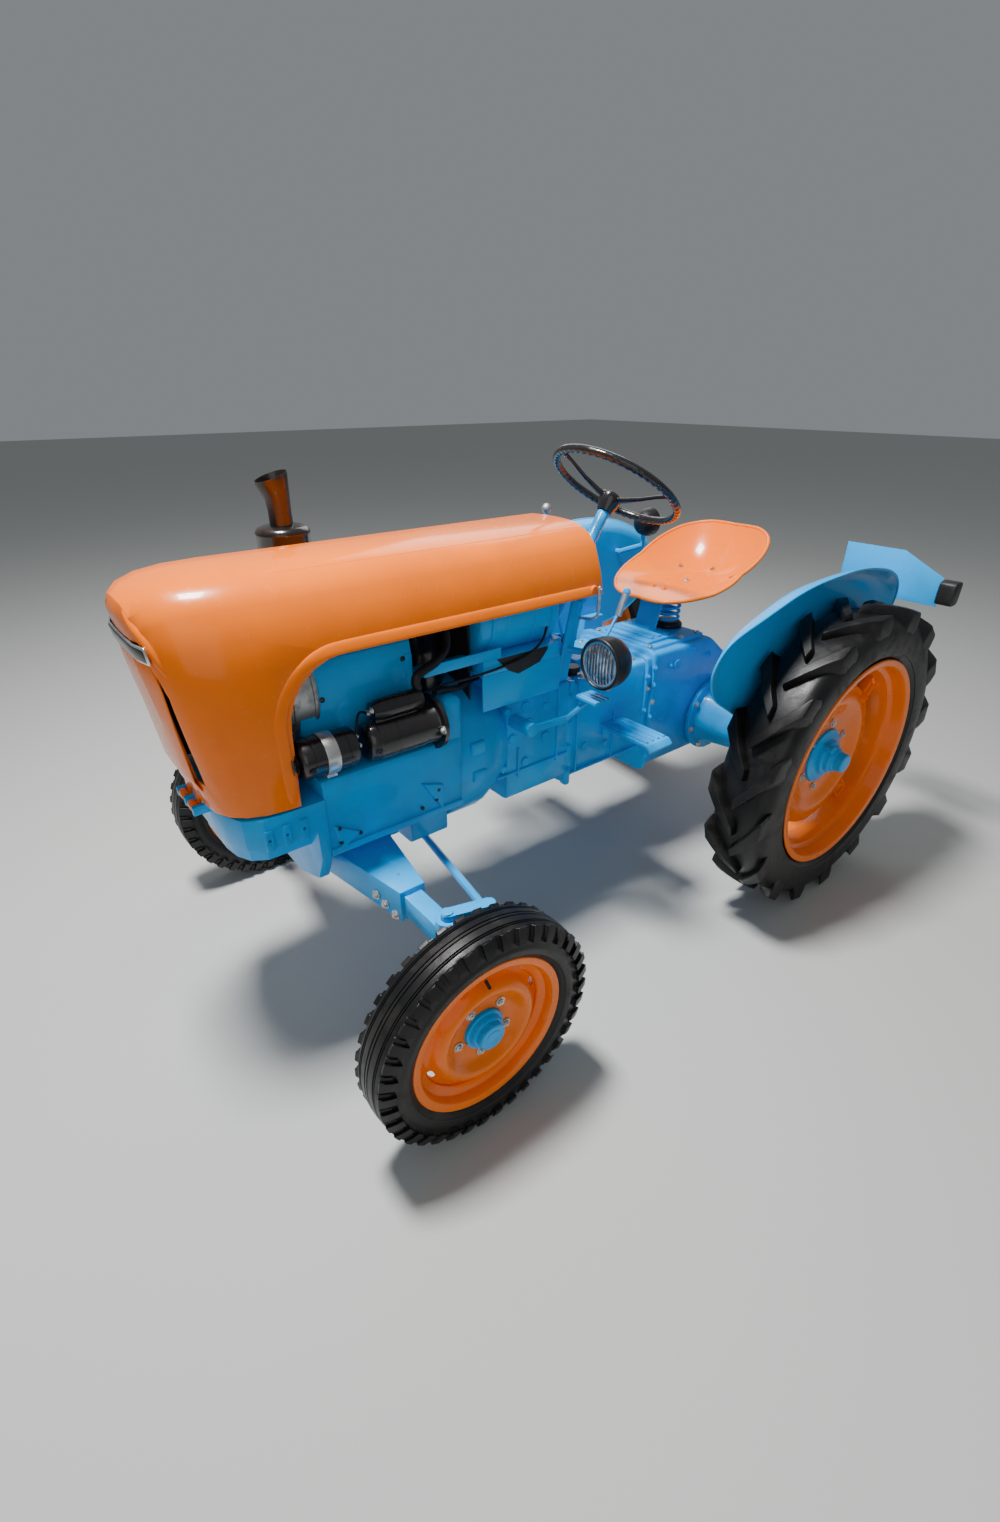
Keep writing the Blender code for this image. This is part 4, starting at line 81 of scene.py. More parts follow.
class Finish:
    """A material, its nodes and the slot of the record that it stands for."""

    def __init__(self, name, slot, colour, roughness, metallic=0.0, coat=0.0, sheen=0.5):
        self.slot = slot
        self.material = bpy.data.materials.new(name)
        self.material.use_nodes = True
        self.tree = self.material.node_tree
        self.surface = self.tree.nodes["Principled BSDF"].inputs
        self.colour = (*colour, 1.0)
        self.surface["Base Color"].default_value = self.colour
        self.surface["Roughness"].default_value = roughness
        self.surface["Metallic"].default_value = metallic
        self.surface["Coat Weight"].default_value = coat
        self.surface["Coat Roughness"].default_value = 0.06
        self.surface["Specular IOR Level"].default_value = sheen
        self.place = self.node("ShaderNodeTexCoord", {}, {}, "Object")

    def node(self, kind, settings, sockets, output=0):
        """Adds any node: its settings first, then the values or links of its sockets."""
        made = self.tree.nodes.new(kind)
        for name, setting in settings.items():
            setattr(made, name, setting)
        for name, value in sockets.items():
            self.put(made.inputs[name], value)
        return Value(self, made.outputs[output])

    def put(self, socket, value):
        """Gives a socket a value, or a link."""
        if isinstance(value, Value):
            self.tree.links.new(value.socket, socket)
        else:
            socket.default_value = value

    def noise(self, scale, detail=3.0, roughness=0.5):
        """Soft clouds of the given number of spots a metre."""
        return self.node("ShaderNodeTexNoise", {}, {"Vector": self.place, "Scale": scale,
                                                    "Detail": detail, "Roughness": roughness})

    def spread(self, value, low, high):
        """A value stretched smoothly from a range to nought and one."""
        return self.node("ShaderNodeMapRange", {"interpolation_type": "SMOOTHSTEP"},
                         {"Value": value, "From Min": low, "From Max": high})

    def mixed(self, share, first, second):
        """Two colours mixed by a share."""
        return self.node("ShaderNodeMix", {"data_type": "RGBA"},
                         {0: share, 6: first, 7: second}, 2)

    def tinted(self, factor, share):
        """The finish's own colour with its brightness multiplied, where share is one."""
        other = tuple(channel * factor for channel in self.colour[:3]) + (1.0,)
        return self.mixed(share, self.colour, other)

    def bumped(self, height, distance, strength=1.0):
        """Relief of a height map, its distance in metres."""
        self.put(self.surface["Normal"],
                 self.node("ShaderNodeBump", {}, {"Height": height, "Distance": distance,
                                                  "Strength": strength}))


DRY_DUST = (0.5, 0.42, 0.32, 1.0)
OILY_GRIME = (0.06, 0.10, 0.12, 1.0)
ROAD_DUST = (0.105, 0.088, 0.066, 1.0)
HEAT_STAIN = (0.05, 0.018, 0.010, 1.0)
# Painted reflection of the fluted lamp glass: its painted shade and its painted highlight
PAINTED_FLUTE_SHADE = (0.035, 0.045, 0.055, 1.0)
PAINTED_FLUTE_SHINE = (0.88, 0.91, 0.93, 1.0)


def sprayed_paint(name, slot, colour, roughness, coat):
    """Enamel on sheet metal: faint clouds in the colour, orange peel and a veil of dust."""
    finish = Finish(name, slot, colour, roughness, coat=coat, sheen=0.2)
    clouds = finish.spread(finish.noise(5.0), 0.35, 0.7)
    dust = finish.spread(finish.noise(38.0, 6.0, 0.65), 0.55, 0.78)
    finish.put(finish.surface["Base Color"],
               finish.mixed(dust * 0.05, finish.tinted(0.86, clouds * 0.7), DRY_DUST))
    finish.put(finish.surface["Roughness"], dust * 0.2 + clouds * 0.05 + roughness)
    finish.bumped(finish.noise(260.0, 2.0), 0.0004, 0.2)
    return finish


def painted_iron(name, slot, colour, roughness, coat):
    """The same enamel brushed on sand castings: the grain of the mould shows through."""
    finish = Finish(name, slot, colour, roughness, coat=coat, sheen=0.22)
    clouds = finish.spread(finish.noise(9.0), 0.3, 0.7)
    grime = finish.spread(finish.noise(55.0, 8.0, 0.7), 0.58, 0.78)
    finish.put(finish.surface["Base Color"],
               finish.mixed(grime * 0.2, finish.tinted(0.78, clouds * 0.8), OILY_GRIME))
    finish.put(finish.surface["Roughness"], grime * 0.2 + clouds * 0.08 + roughness)
    finish.bumped(finish.noise(330.0, 4.0, 0.6) * 0.6 + finish.noise(55.0, 3.0) * 0.9, 0.0014, 0.45)
    return finish


def worn_rubber(name, slot, colour):
    """Rubber with brown dust, scuffed patches and a fine grain."""
    finish = Finish(name, slot, colour, 0.62, sheen=0.35)
    dust = finish.spread(finish.noise(16.0, 7.0, 0.68), 0.45, 0.74)
    finish.put(finish.surface["Base Color"], finish.mixed(dust * 0.1, finish.colour, ROAD_DUST))
    finish.put(finish.surface["Roughness"], dust * 0.25 + 0.38)
    finish.bumped(finish.noise(240.0, 3.0), 0.0007, 0.4)
    return finish


def gloss_black(name, slot, colour, roughness, stained):
    """Black enamel with brown heat stain and small runs."""
    finish = Finish(name, slot, colour, roughness, coat=0.35)
    stain = finish.spread(finish.noise(14.0, 4.0), 0.42, 0.68)
    finish.put(finish.surface["Base Color"], finish.mixed(stain * stained, finish.colour, HEAT_STAIN))
    finish.put(finish.surface["Roughness"], stain * 0.16 + roughness)
    finish.bumped(finish.noise(90.0, 3.0), 0.0006, 0.3)
    return finish


def bare_metal(name, slot, colour, roughness):
    """Bare metal with fine scratches and dull patches."""
    finish = Finish(name, slot, colour, roughness, metallic=0.9)
    dull = finish.spread(finish.noise(42.0, 5.0), 0.4, 0.7)
    finish.put(finish.surface["Base Color"], finish.tinted(0.68, dull))
    finish.put(finish.surface["Roughness"], dull * 0.22 + roughness)
    finish.bumped(finish.noise(420.0, 2.0), 0.0003, 0.35)
    return finish


def ribbed_glass(name, slot, colour):
    """Pressed lamp glass: upright flutes, with a painted reflection of a bright reflector in its colour:
    dark and bright bands and spots of painted glint.
    """
    finish = Finish(name, slot, colour, 0.06, coat=1.0)
    flutes = finish.node("ShaderNodeTexWave", {"bands_direction": "Y"},
                         {"Vector": finish.place, "Scale": 26.0, "Distortion": 1.2})
    # painted glint: spots of painted highlight on the flutes
    painted_glint = finish.spread(finish.noise(26.0, 2.0), 0.42, 0.62)
    finish.put(finish.surface["Base Color"],
               finish.mixed(flutes * 0.5 + painted_glint * flutes, PAINTED_FLUTE_SHADE, PAINTED_FLUTE_SHINE))
    finish.put(finish.surface["Metallic"], flutes * 0.4 + 0.55)
    finish.bumped(flutes, 0.0022, 1.0)
    return finish


ORANGE = (1.0, 0.19, 0.0)
BLUE = (0.0, 0.395, 0.90)

orange_enamel = sprayed_paint("orange_enamel", "orange_paint", ORANGE, 0.21, 0.24)
blue_enamel = sprayed_paint("blue_enamel", "blue_paint", BLUE, 0.30, 0.3)
blue_casting = painted_iron("blue_casting", "blue_paint", BLUE, 0.34, 0.22)
tyre = worn_rubber("tyre_tread_rubber", "tyre_rubber", (0.0055, 0.0055, 0.006))
rubber = worn_rubber("soft_rubber", "black_rubber", (0.008, 0.008, 0.009))
black = gloss_black("black_gloss", "black_enamel", (0.010, 0.010, 0.011), 0.20, 0.1)
scorched = gloss_black("scorched_black", "black_enamel", (0.010, 0.008, 0.007), 0.22, 0.45)
zinc = bare_metal("zinc_plate", "grey_metal", (0.62, 0.62, 0.60), 0.30)
aluminium = bare_metal("cast_aluminium", "grey_metal", (0.52, 0.53, 0.54), 0.40)
chrome = bare_metal("chrome_plate", "grey_metal", (0.80, 0.81, 0.82), 0.10)
plastic = worn_rubber("dark_moulding", "dark_plastic", (0.018, 0.018, 0.019))
glass = ribbed_glass("lamp_glass", None, (0.8, 0.84, 0.86))

FINISH_OF_SLOT = {"orange_paint": orange_enamel, "blue_paint": blue_casting, "tyre_rubber": tyre,
                  "black_rubber": rubber, "black_enamel": black, "grey_metal": aluminium,
                  "dark_plastic": plastic}


# Modelling

DRESSED = set()
DOUBLES = 0.00002               # points nearer than this are one
FLAT_ENOUGH = radians(0.6)      # faces of a solid that lean less are one
ROUTE_STEPS = 6                 # pieces of a bar or wire between two of its points

OUTWARD, UP = (0, 1, 0), (0, 0, 1)
FORWARD, BACKWARD = (1, 0, 0), (-1, 0, 0)


def deselect():
    """Nothing selected."""
    bpy.ops.object.select_all(action="DESELECT")


def chosen(piece):
    """Makes one piece the selected and active one."""
    deselect()
    bpy.context.view_layer.objects.active = piece
    piece.select_set(True)
    return piece


def modified(piece, kind, **settings):
    """Adds a modifier with its settings and applies it."""
    chosen(piece)
    modifier = piece.modifiers.new(kind, kind)
    for name, setting in settings.items():
        setattr(modifier, name, setting)
    bpy.ops.object.modifier_apply(modifier=modifier.name)
    return piece


def eased(piece, width, segments=2, angle=30.0):
    """Rounds a piece's sharp edges."""
    return modified(piece, "BEVEL", width=width, segments=segments, limit_method="ANGLE",
                    angle_limit=radians(angle), use_clamp_overlap=True)


def tidy_mesh(piece):
    """Merges a mesh's doubles and points its faces out."""
    chosen(piece)
    bpy.ops.object.mode_set(mode="EDIT")
    bpy.ops.mesh.select_all(action="SELECT")
    bpy.ops.mesh.remove_doubles(threshold=DOUBLES)
    bpy.ops.mesh.normals_make_consistent(inside=False)
    bpy.ops.object.mode_set(mode="OBJECT")
    return piece


def done(piece, name, finish, body, nodes=(), smooth=35.0):
    """A finished piece: its name, finish, shading, body and the solids it stands for."""
    chosen(piece)
    bpy.ops.object.transform_apply(location=True, rotation=True, scale=True)
    bpy.ops.object.shade_smooth_by_angle(angle=radians(smooth))
    piece.name = name
    piece.data.materials.clear()
    piece.data.materials.append(finish.material)
    DRESSED.update(nodes)
    if nodes:
        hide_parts(*nodes)
    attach(piece, body)
    return piece


def united(pieces):
    """Several pieces made one object."""
    deselect()
    for piece in pieces:
        piece.select_set(True)
    bpy.context.view_layer.objects.active = pieces[0]
    if len(pieces) > 1:
        bpy.ops.object.join()
    return pieces[0]


def placed(point):
    """A layout point, measured from under the rear axle, in the frame's own place."""
    return Vector(point) - Vector((MIDDLE, 0, 0))


def facing(piece, axis, centre):
    """Turns a piece made round Z to another axis, moves it to its place and applies both."""
    chosen(piece)
    piece.rotation_mode = "QUATERNION"
    piece.rotation_quaternion = Vector(axis).to_track_quat("Z", "Y")
    piece.location = placed(centre)
    bpy.ops.object.transform_apply(location=True, rotation=True, scale=True)
    return piece


def turned(profile, axis, centre, sides=64, closed=False, ease=0.0):
    """A round piece: a circle extruded and resized ring by ring along its axis."""
    deselect()
    height, radius = profile[0]
    bpy.ops.mesh.primitive_circle_add(vertices=sides, radius=radius, location=(0, 0, height))
    piece = bpy.context.object
    bpy.ops.object.transform_apply(location=True, rotation=False, scale=False)
    bpy.ops.object.mode_set(mode="EDIT")
    bpy.ops.mesh.select_mode(type="EDGE")
    bpy.ops.mesh.select_all(action="SELECT")
    for along, wide in profile[1:]:
        bpy.ops.mesh.extrude_edges_move(TRANSFORM_OT_translate={"value": (0, 0, along - height)})
        bpy.ops.transform.resize(value=(wide / radius, wide / radius, 1), center_override=(0, 0, along))
        height, radius = along, wide
    piece = shut(modelled(), closed)
    return facing(eased(piece, ease) if ease else piece, axis, centre)


def shut(piece, hoop):
    """Closes a form's open ends with flat caps, or joins the last one to the first."""
    chosen(piece)
    bpy.ops.object.mode_set(mode="EDIT")
    bpy.ops.mesh.select_mode(type="EDGE")
    bpy.ops.mesh.select_all(action="DESELECT")
    bpy.ops.mesh.select_non_manifold(extend=False)
    if hoop:
        bpy.ops.mesh.bridge_edge_loops()
    else:
        bpy.ops.mesh.fill_holes(sides=0)
    return tidy_mesh(modelled())


def pick(piece, test):
    """Selects the faces whose centre and normal pass a test and stays in edit mode."""
    chosen(piece)
    bpy.ops.object.mode_set(mode="EDIT")
    bpy.ops.mesh.select_mode(type="FACE")
    bpy.ops.mesh.select_all(action="DESELECT")
    bpy.ops.object.mode_set(mode="OBJECT")
    for face in piece.data.polygons:
        face.select = bool(test(face.center, face.normal))
    bpy.ops.object.mode_set(mode="EDIT")


def modelled():
    """Back to object mode with the piece that was being shaped."""
    bpy.ops.object.mode_set(mode="OBJECT")
    return bpy.context.object


def without(piece, test):
    """Takes away the faces whose centre and normal pass a test."""
    pick(piece, test)
    bpy.ops.mesh.delete(type="FACE")
    return modelled()


def lofted(sections, capped=True):
    """A form extruded from section to section: each is a list of the same number of points."""
    deselect()
    count = len(sections[0])
    bpy.ops.mesh.primitive_circle_add(vertices=count, radius=1.0, fill_type="NOTHING")
    piece = bpy.context.object
    bpy.ops.object.mode_set(mode="EDIT")
    bpy.ops.mesh.select_mode(type="EDGE")
    bpy.ops.mesh.select_all(action="SELECT")
    for index, section in enumerate(sections):
        if index:
            bpy.ops.mesh.extrude_edges_move()
        shape = bmesh.from_edit_mesh(piece.data)
        row = [vert for vert in shape.verts if vert.select]
        if index:
            before = [Vector(point) for point in sections[index - 1]]
            row.sort(key=lambda vert: min(range(count), key=lambda number:
                                          (before[number] - vert.co).length_squared))
        else:
            row.sort(key=lambda vert: vert.index)
        for vert, point in zip(row, section):
            vert.co = point
        bmesh.update_edit_mesh(piece.data)
    return shut(modelled(), False) if capped else tidy_mesh(modelled())


def hooped(sections):
    """A form extruded from section to section, whose last one joins the first."""
    return shut(lofted(sections, capped=False), True)


def floored(piece, middle, reach):
    """Closes the open border that lies within reach of a middle."""
    chosen(piece)
    bpy.ops.object.mode_set(mode="EDIT")
    bpy.ops.mesh.select_mode(type="EDGE")
    shape = bmesh.from_edit_mesh(piece.data)
    for border in shape.edges:
        border.select = border.is_boundary and (border.verts[0].co - middle).length < reach
    bmesh.update_edit_mesh(piece.data)
    bpy.ops.mesh.fill_holes(sides=0)
    return modelled()


def round_section(centre, aside, up, radius, sides):
    """Points on a circle round a centre, in the plane of two directions."""
    return [centre + (aside * cos(turn) + up * sin(turn)) * radius for turn in evenly(sides)]


def evenly(count, first=0.0):
    """Even turns of a full circle, from a first one."""
    return [first + 2 * pi * number / count for number in range(count)]


def copy_of(piece, matrix):
    """A copy of a piece with its own mesh, moved by a matrix."""
    copy = piece.copy()
    copy.data = piece.data.copy()
    copy.data.transform(matrix)
    bpy.context.scene.collection.objects.link(copy)
    return copy


def removed(piece):
    """Takes away a pattern piece."""
    bpy.data.objects.remove(piece)


def around(piece, turns, axis, centre):
    """Copies of a piece turned about an axis through a layout point, joined."""
    spot = Matrix.Translation(placed(centre))
    copies = [copy_of(piece, spot @ Matrix.Rotation(turn, 4, Vector(axis)) @ spot.inverted())
              for turn in turns]
    removed(piece)
    return united(copies)


def mirrored(piece):
    """A copy on the other side of the tractor."""
    chosen(piece)
    bpy.ops.object.duplicate()
    bpy.ops.object.mode_set(mode="EDIT")
    bpy.ops.mesh.select_all(action="SELECT")
    bpy.ops.transform.resize(value=(1, -1, 1), center_override=(0, 0, 0))
    bpy.ops.mesh.normals_make_consistent(inside=False)
    return modelled()


def both(piece, name, finish, body, *nodes, smooth=35.0):
    """Finishes a piece of the left side and its copy on the right."""
    for side, made in (("left", piece), ("right", mirrored(piece))):
        done(made, f"{name}_{side}", finish, body.format(side),
             [node.format(side) for node in nodes], smooth)


def hex_bolt(radius, axis, centre, height=0.7):
    """A hexagon head on its washer, with the tip of its thread."""
    washer, thread = radius * 1.45, radius * 0.5
    head = turned([(0.0015, radius), (radius * height * 0.8, radius), (radius * height, radius * 0.86)],
                  axis, centre, 6)
    ring = turned([(-0.002, washer), (0.0012, washer), (0.002, washer * 0.94)], axis, centre, 20)
    tip = turned([(0.0, thread), (radius * (height + 0.22), thread),
                  (radius * (height + 0.3), radius * 0.4)], axis, centre, 12)
    return united([head, ring, tip])


def box(low, high, ease=0.003, segments=2):
    """A block between two layout corners with its edges rounded."""
    deselect()
    size = Vector(high) - Vector(low)
    middle = (Vector(high) + Vector(low)) / 2
    bpy.ops.mesh.primitive_cube_add(size=1, location=placed(middle))
    piece = bpy.context.object
    piece.scale = size
    bpy.ops.object.transform_apply(location=True, rotation=True, scale=True)
    return eased(piece, ease, segments) if ease else piece


def smooth_line(points, steps):
    """Points on one smooth curve through the given ones."""
    line = []
    for index in range(len(points) - 1):
        before = points[max(index - 1, 0)]
        first, second = points[index], points[index + 1]
        after = points[min(index + 2, len(points) - 1)]
        for step in range(steps):
            share = step / steps
            line.append(0.5 * ((2 * first) + (second - before) * share
                               + (2 * before - 5 * first + 4 * second - after) * share ** 2
                               + (3 * first - before - 3 * second + after) * share ** 3))
    line.append(points[-1])
    return line


def piped(points, radius, sides=10):
    """A round bar, hose or wire along a smooth line through layout points."""
    route = smooth_line([placed(point) for point in points], ROUTE_STEPS)
    sections = []
    aside = (route[1] - route[0]).normalized().orthogonal().normalized()
    for index, point in enumerate(route):
        ahead = (route[min(index + 1, len(route) - 1)] - route[max(index - 1, 0)]).normalized()
        aside = (aside - ahead * aside.dot(ahead)).normalized()
        sections.append(round_section(point, aside, ahead.cross(aside), radius, sides))
    return lofted(sections)


def copied(node):
    """A merged copy of a CAD solid."""
    deselect()
    piece = NODES[node].copy()
    piece.data = NODES[node].data.copy()
    piece.parent = None
    for key in list(piece.keys()):
        del piece[key]
    bpy.context.scene.collection.objects.link(piece)
    chosen(piece)
    bpy.ops.object.mode_set(mode="EDIT")
    bpy.ops.mesh.select_all(action="SELECT")
    bpy.ops.mesh.remove_doubles(threshold=DOUBLES)
    bpy.ops.mesh.dissolve_limited(angle_limit=FLAT_ENOUGH)
    bpy.ops.object.mode_set(mode="OBJECT")
    return piece


# Steered wheels

FRONT = Vector((1.573, 0.713, 0.318))
FRONT_SEAT, FRONT_RIM_HALF = 0.2032, 0.047
SHOULDER_BLOCKS, BLOCK_COLUMNS = 38, 4
SHOULDER_PLACE, SHOULDER_TOP = 0.0425, 0.3150
# The raised part of a block in two steps: its columns, the radius where it begins and its rise
BLOCK_STEPS = (((0, 1), 0.2745, 0.0105), ((2,), 0.2870, 0.0040))
GROOVES, GROOVE_HALF, GROOVE_DEPTH = (0.0330, 0.0270, 0.0052), 0.0016, 0.0058
NEARLY_MIDDLE = 0.0001          # a profile's point this near its middle line stands on it
FRONT_STUDS, FRONT_STUD_TURN = 5, radians(10.8)
HAND_SLOTS, HAND_SLOT_TURN = 4, radians(20)


def both_ways(half):
    """A closed outline from its outer half, a list of (place, radius) whose middle point comes once."""
    other = [(place, radius) for place, radius in reversed(half) if place > NEARLY_MIDDLE]
    return [(-place, radius) for place, radius in half] + other


def rib_tread(half, crown):
    """A ribbed crown's outline from the shoulder to the middle: a pair of edges to each groove."""
    line = [(half, crown - 0.0055), (half - 0.006, crown - 0.0030)]
    for place in GROOVES:
        top = crown - 0.0045 * (place / half) ** 2
        line += [(place + GROOVE_HALF, top), (place + GROOVE_HALF * 0.7, top - GROOVE_DEPTH),
                 (place - GROOVE_HALF * 0.7, top - GROOVE_DEPTH), (place - GROOVE_HALF, top)]
    return line


def front_tyre():
    """Ribbed tyre with a notched shoulder and two raised lines on its wall."""
    wall = [(0.0418, 0.2036), (0.0420, 0.2205), (0.0500, 0.2250), (0.0560, 0.2330), (0.0590, 0.2380),
            (0.0605, 0.2385), (0.0612, 0.2420), (0.0630, 0.2520), (0.0630, 0.2590), (0.0600, 0.2640),
            (0.0590, 0.2740), (0.0560, 0.2860), (0.0520, 0.2970), (0.0480, 0.3055)]
    columns = SHOULDER_BLOCKS * BLOCK_COLUMNS
    piece = turned(both_ways(wall + rib_tread(0.0450, 0.3178)), OUTWARD, FRONT, columns, closed=True)
    centre = placed(FRONT)

    def in_step(wanted, low):
        def test(middle, normal):
            radius = Vector((middle.x - centre.x, middle.z - centre.z)).length
            turn = atan2(middle.z - centre.z, middle.x - centre.x) % (2 * pi)
            return (int(turn / (2 * pi / columns)) % BLOCK_COLUMNS in wanted
                    and low < radius < SHOULDER_TOP and abs(middle.y - centre.y) > SHOULDER_PLACE)
        return test

    for wanted, low, rise in BLOCK_STEPS:
        pick(piece, in_step(wanted, low))
        bpy.ops.mesh.extrude_region_shrink_fatten(TRANSFORM_OT_shrink_fatten={"value": rise})
        modelled()
    return piece


def rim_line(seat, half):
    """A drop-centre rim with a rolled lip, closed round its own wall."""
    outer = [(half + 0.0010, seat + 0.0215), (half - 0.0020, seat + 0.0225), (half - 0.0050, seat + 0.0190),
             (half - 0.0055, seat + 0.0040), (half - 0.0110, seat - 0.0012), (half * 0.52, seat - 0.0020),
             (half * 0.44, seat - 0.0060), (half * 0.38, seat - 0.0200), (half * 0.30, seat - 0.0235)]
    inner = [(half + 0.0035, seat + 0.0190), (half + 0.0020, seat + 0.0110), (half + 0.0000, seat + 0.0000),
             (half - 0.0080, seat - 0.0055), (half * 0.55, seat - 0.0065), (half * 0.50, seat - 0.0100),
             (half * 0.43, seat - 0.0240), (half * 0.33, seat - 0.0280)]
    return both_ways(outer) + inner + [(-place, radius) for place, radius in reversed(inner)]


def front_wheel():
    """Rim and pressed disc: a deep ring round the studs and four hand slots."""
    rim = turned(rim_line(FRONT_SEAT, FRONT_RIM_HALF), OUTWARD, FRONT, 96, closed=True)
    face = [(0.0150, 0.0570), (0.0150, 0.0860), (0.0175, 0.0960), (0.0270, 0.1080), (0.0375, 0.1170),
            (0.0420, 0.1270), (0.0410, 0.1370), (0.0340, 0.1470), (0.0230, 0.1545), (0.0160, 0.1600),
            (0.0120, 0.1680), (0.0085, 0.1765), (0.0020, 0.1785)]
    back = [(place - 0.0042, radius) for place, radius in reversed(face)]
    disc = turned(face + back, OUTWARD, FRONT, 96, closed=True)
    slot = box(FRONT + Vector((-0.017, -0.05, 0.1585)), FRONT + Vector((0.017, 0.06, 0.1715)), 0.0055, 4)
    cutters = around(slot, evenly(HAND_SLOTS, HAND_SLOT_TURN), OUTWARD, FRONT)
    modified(disc, "BOOLEAN", operation="DIFFERENCE", object=cutters)
    removed(cutters)
    return united([rim, disc])


def front_hub():
    """Hub with a flanged cap in steps and a bolted ring."""
    drum = turned([(-0.060, 0.045), (0.0085, 0.0452), (0.0090, 0.0850), (0.0104, 0.0855)],
                  OUTWARD, FRONT, 48)
    pilot = turned([(0.0100, 0.0560), (0.0240, 0.0560), (0.0262, 0.0540), (0.0265, 0.0480),
                    (0.0380, 0.0470), (0.0410, 0.0440), (0.0415, 0.0380), (0.0555, 0.0365),
                    (0.0575, 0.0340), (0.0578, 0.0300)], OUTWARD, FRONT, 48)
    flats = turned([(0.0400, 0.0400), (0.0520, 0.0395), (0.0540, 0.0370)], OUTWARD, FRONT, 8, ease=0.001)
    plate = turned([(0.0570, 0.0225), (0.0590, 0.0215)], OUTWARD, FRONT, 32, ease=0.0006)
    return united([drum, pilot, flats, plate])


both(eased(front_tyre(), 0.0008, 1, 40), "front_tyre_ribbed", tyre, "front_wheel_set_{}", "front_tyre_{}",
     smooth=38)
both(eased(front_wheel(), 0.0009, 2, 50), "front_wheel_pressed", orange_enamel, "front_wheel_set_{}",
     "front_wheel_{}", smooth=40)
both(front_hub(), "front_hub_cap", blue_casting, "front_wheel_set_{}", "front_hub_{}", smooth=40)
front_nuts = around(hex_bolt(0.0095, OUTWARD, FRONT + Vector((0.078, 0.017, 0))),
                    evenly(FRONT_STUDS, FRONT_STUD_TURN), OUTWARD, FRONT)
both(front_nuts, "front_wheel_nuts", zinc, "front_wheel_set_{}")
valve = turned([(0, 0.0042), (0.022, 0.0042), (0.024, 0.003)], (0, 0.8, -0.6),
               FRONT + Vector((0, 0.028, 0.172)), 12)
both(valve, "front_valve", rubber, "front_wheel_set_{}")


# Driving wheels

REAR = Vector((0.0, 0.679, 0.545))
REAR_SEAT, REAR_RIM_HALF = 0.3556, 0.093
CARCASS = 0.516
LUGS = 16
LUG_LEAN = radians(14)
LUG_REACH = 0.105               # from the middle of the tread over its shoulder
LUG_ROOT = 0.02                 # how deep a bar is set into the carcass
LUG_BELLY = 0.0045              # what a bar's trailing side leans out
LUG_ROUND = 0.002
SHOULDER_SHARE, SHOULDER_DROP = 0.9, 0.006
DISC_BRACKETS, BRACKET_TURN = 4, radians(45)
REAR_STUDS, REAR_STUD_TURN = 6, radians(24)

# One tread bar's sections, from the middle of the tread outwards: the share of its reach, the share of its
# lean, the radius of foot and top, and the half width of foot and top
BAR_SECTIONS = ((-0.08, -0.05, 0.5060, 0.5300, 0.0180, 0.0130),
                (-0.04, 0.00, 0.5060, 0.5430, 0.0250, 0.0180),
                (0.22, 0.26, 0.5060, 0.5448, 0.0290, 0.0215), (0.45, 0.52, 0.5050, 0.5446, 0.0330, 0.0245),
                (0.68, 0.80, 0.4990, 0.5430, 0.0390, 0.0285), (0.86, 1.02, 0.4920, 0.5412, 0.0440, 0.0315),
                (0.975, 1.14, 0.4820, 0.5385, 0.0460, 0.0330), (1.00, 1.17, 0.4740, 0.5290, 0.0440, 0.0310),
                (0.995, 1.19, 0.4600, 0.4980, 0.0340, 0.0230), (0.975, 1.20, 0.4440, 0.4600, 0.0190, 0.0130))


def tread_bar():
    """One slanted bar, from the middle of the tread down over the shoulder."""
    sections = []
    for across, turn, foot, top, foot_half, top_half in BAR_SECTIONS:
        middle, waist = LUG_LEAN * turn, foot + (top - foot) * 0.45
        corners = ((foot, -foot_half), (waist, -top_half * 1.12), (top - LUG_ROUND, -top_half),
                   (top, -top_half + LUG_ROUND), (top - LUG_ROUND * 0.8, 0.0), (top, top_half - LUG_ROUND),
                   (top - LUG_ROUND, top_half + LUG_BELLY * 0.3), (waist, top_half * 1.2 + LUG_BELLY),
                   (foot, foot_half + LUG_BELLY * 2.2))
        row = []
        for radius, aside in corners:
            to = middle + aside / radius
            drop = SHOULDER_DROP if radius == foot and across > SHOULDER_SHARE else 0.0
            row.append((radius * cos(to), across * LUG_REACH - drop, radius * sin(to)))
        root = foot - LUG_ROOT
        row.append((root * cos(middle), across * LUG_REACH * SHOULDER_SHARE, root * sin(middle)))
        sections.append([placed(REAR + Vector(spot)) for spot in row])
    return lofted(sections)


def rear_tyre():
    """Tractor tyre: round carcass with raised lines, and two rows of bars."""
    wall = [(0.0836, 0.3558), (0.0840, 0.3780), (0.0900, 0.3850), (0.0965, 0.3930), (0.0990, 0.3990),
            (0.1012, 0.3996), (0.1020, 0.4030), (0.1042, 0.4140), (0.1052, 0.4280), (0.1056, 0.4420),
            (0.1050, 0.4580), (0.1030, 0.4720), (0.0990, 0.4860), (0.0920, 0.4980), (0.0820, 0.5070),
            (0.0660, 0.5120), (0.0450, 0.5150), (0.0220, CARCASS)]
    carcass = turned(both_ways(wall + [(NEARLY_MIDDLE, CARCASS)]), OUTWARD, REAR, 128, closed=True)
    bar = tread_bar()
    other = copy_of(bar, Matrix.Translation((0, 2 * REAR.y, 0)) @ Matrix.Scale(-1, 4, (0, 1, 0)))
    tidy_mesh(other)
    outer = around(bar, evenly(LUGS), (0, -1, 0), REAR)
    inner = around(other, evenly(LUGS, pi / LUGS), (0, -1, 0), REAR)
    bars = eased(united([outer, inner]), 0.0016, 2, 35)
    return united([carcass, bars])


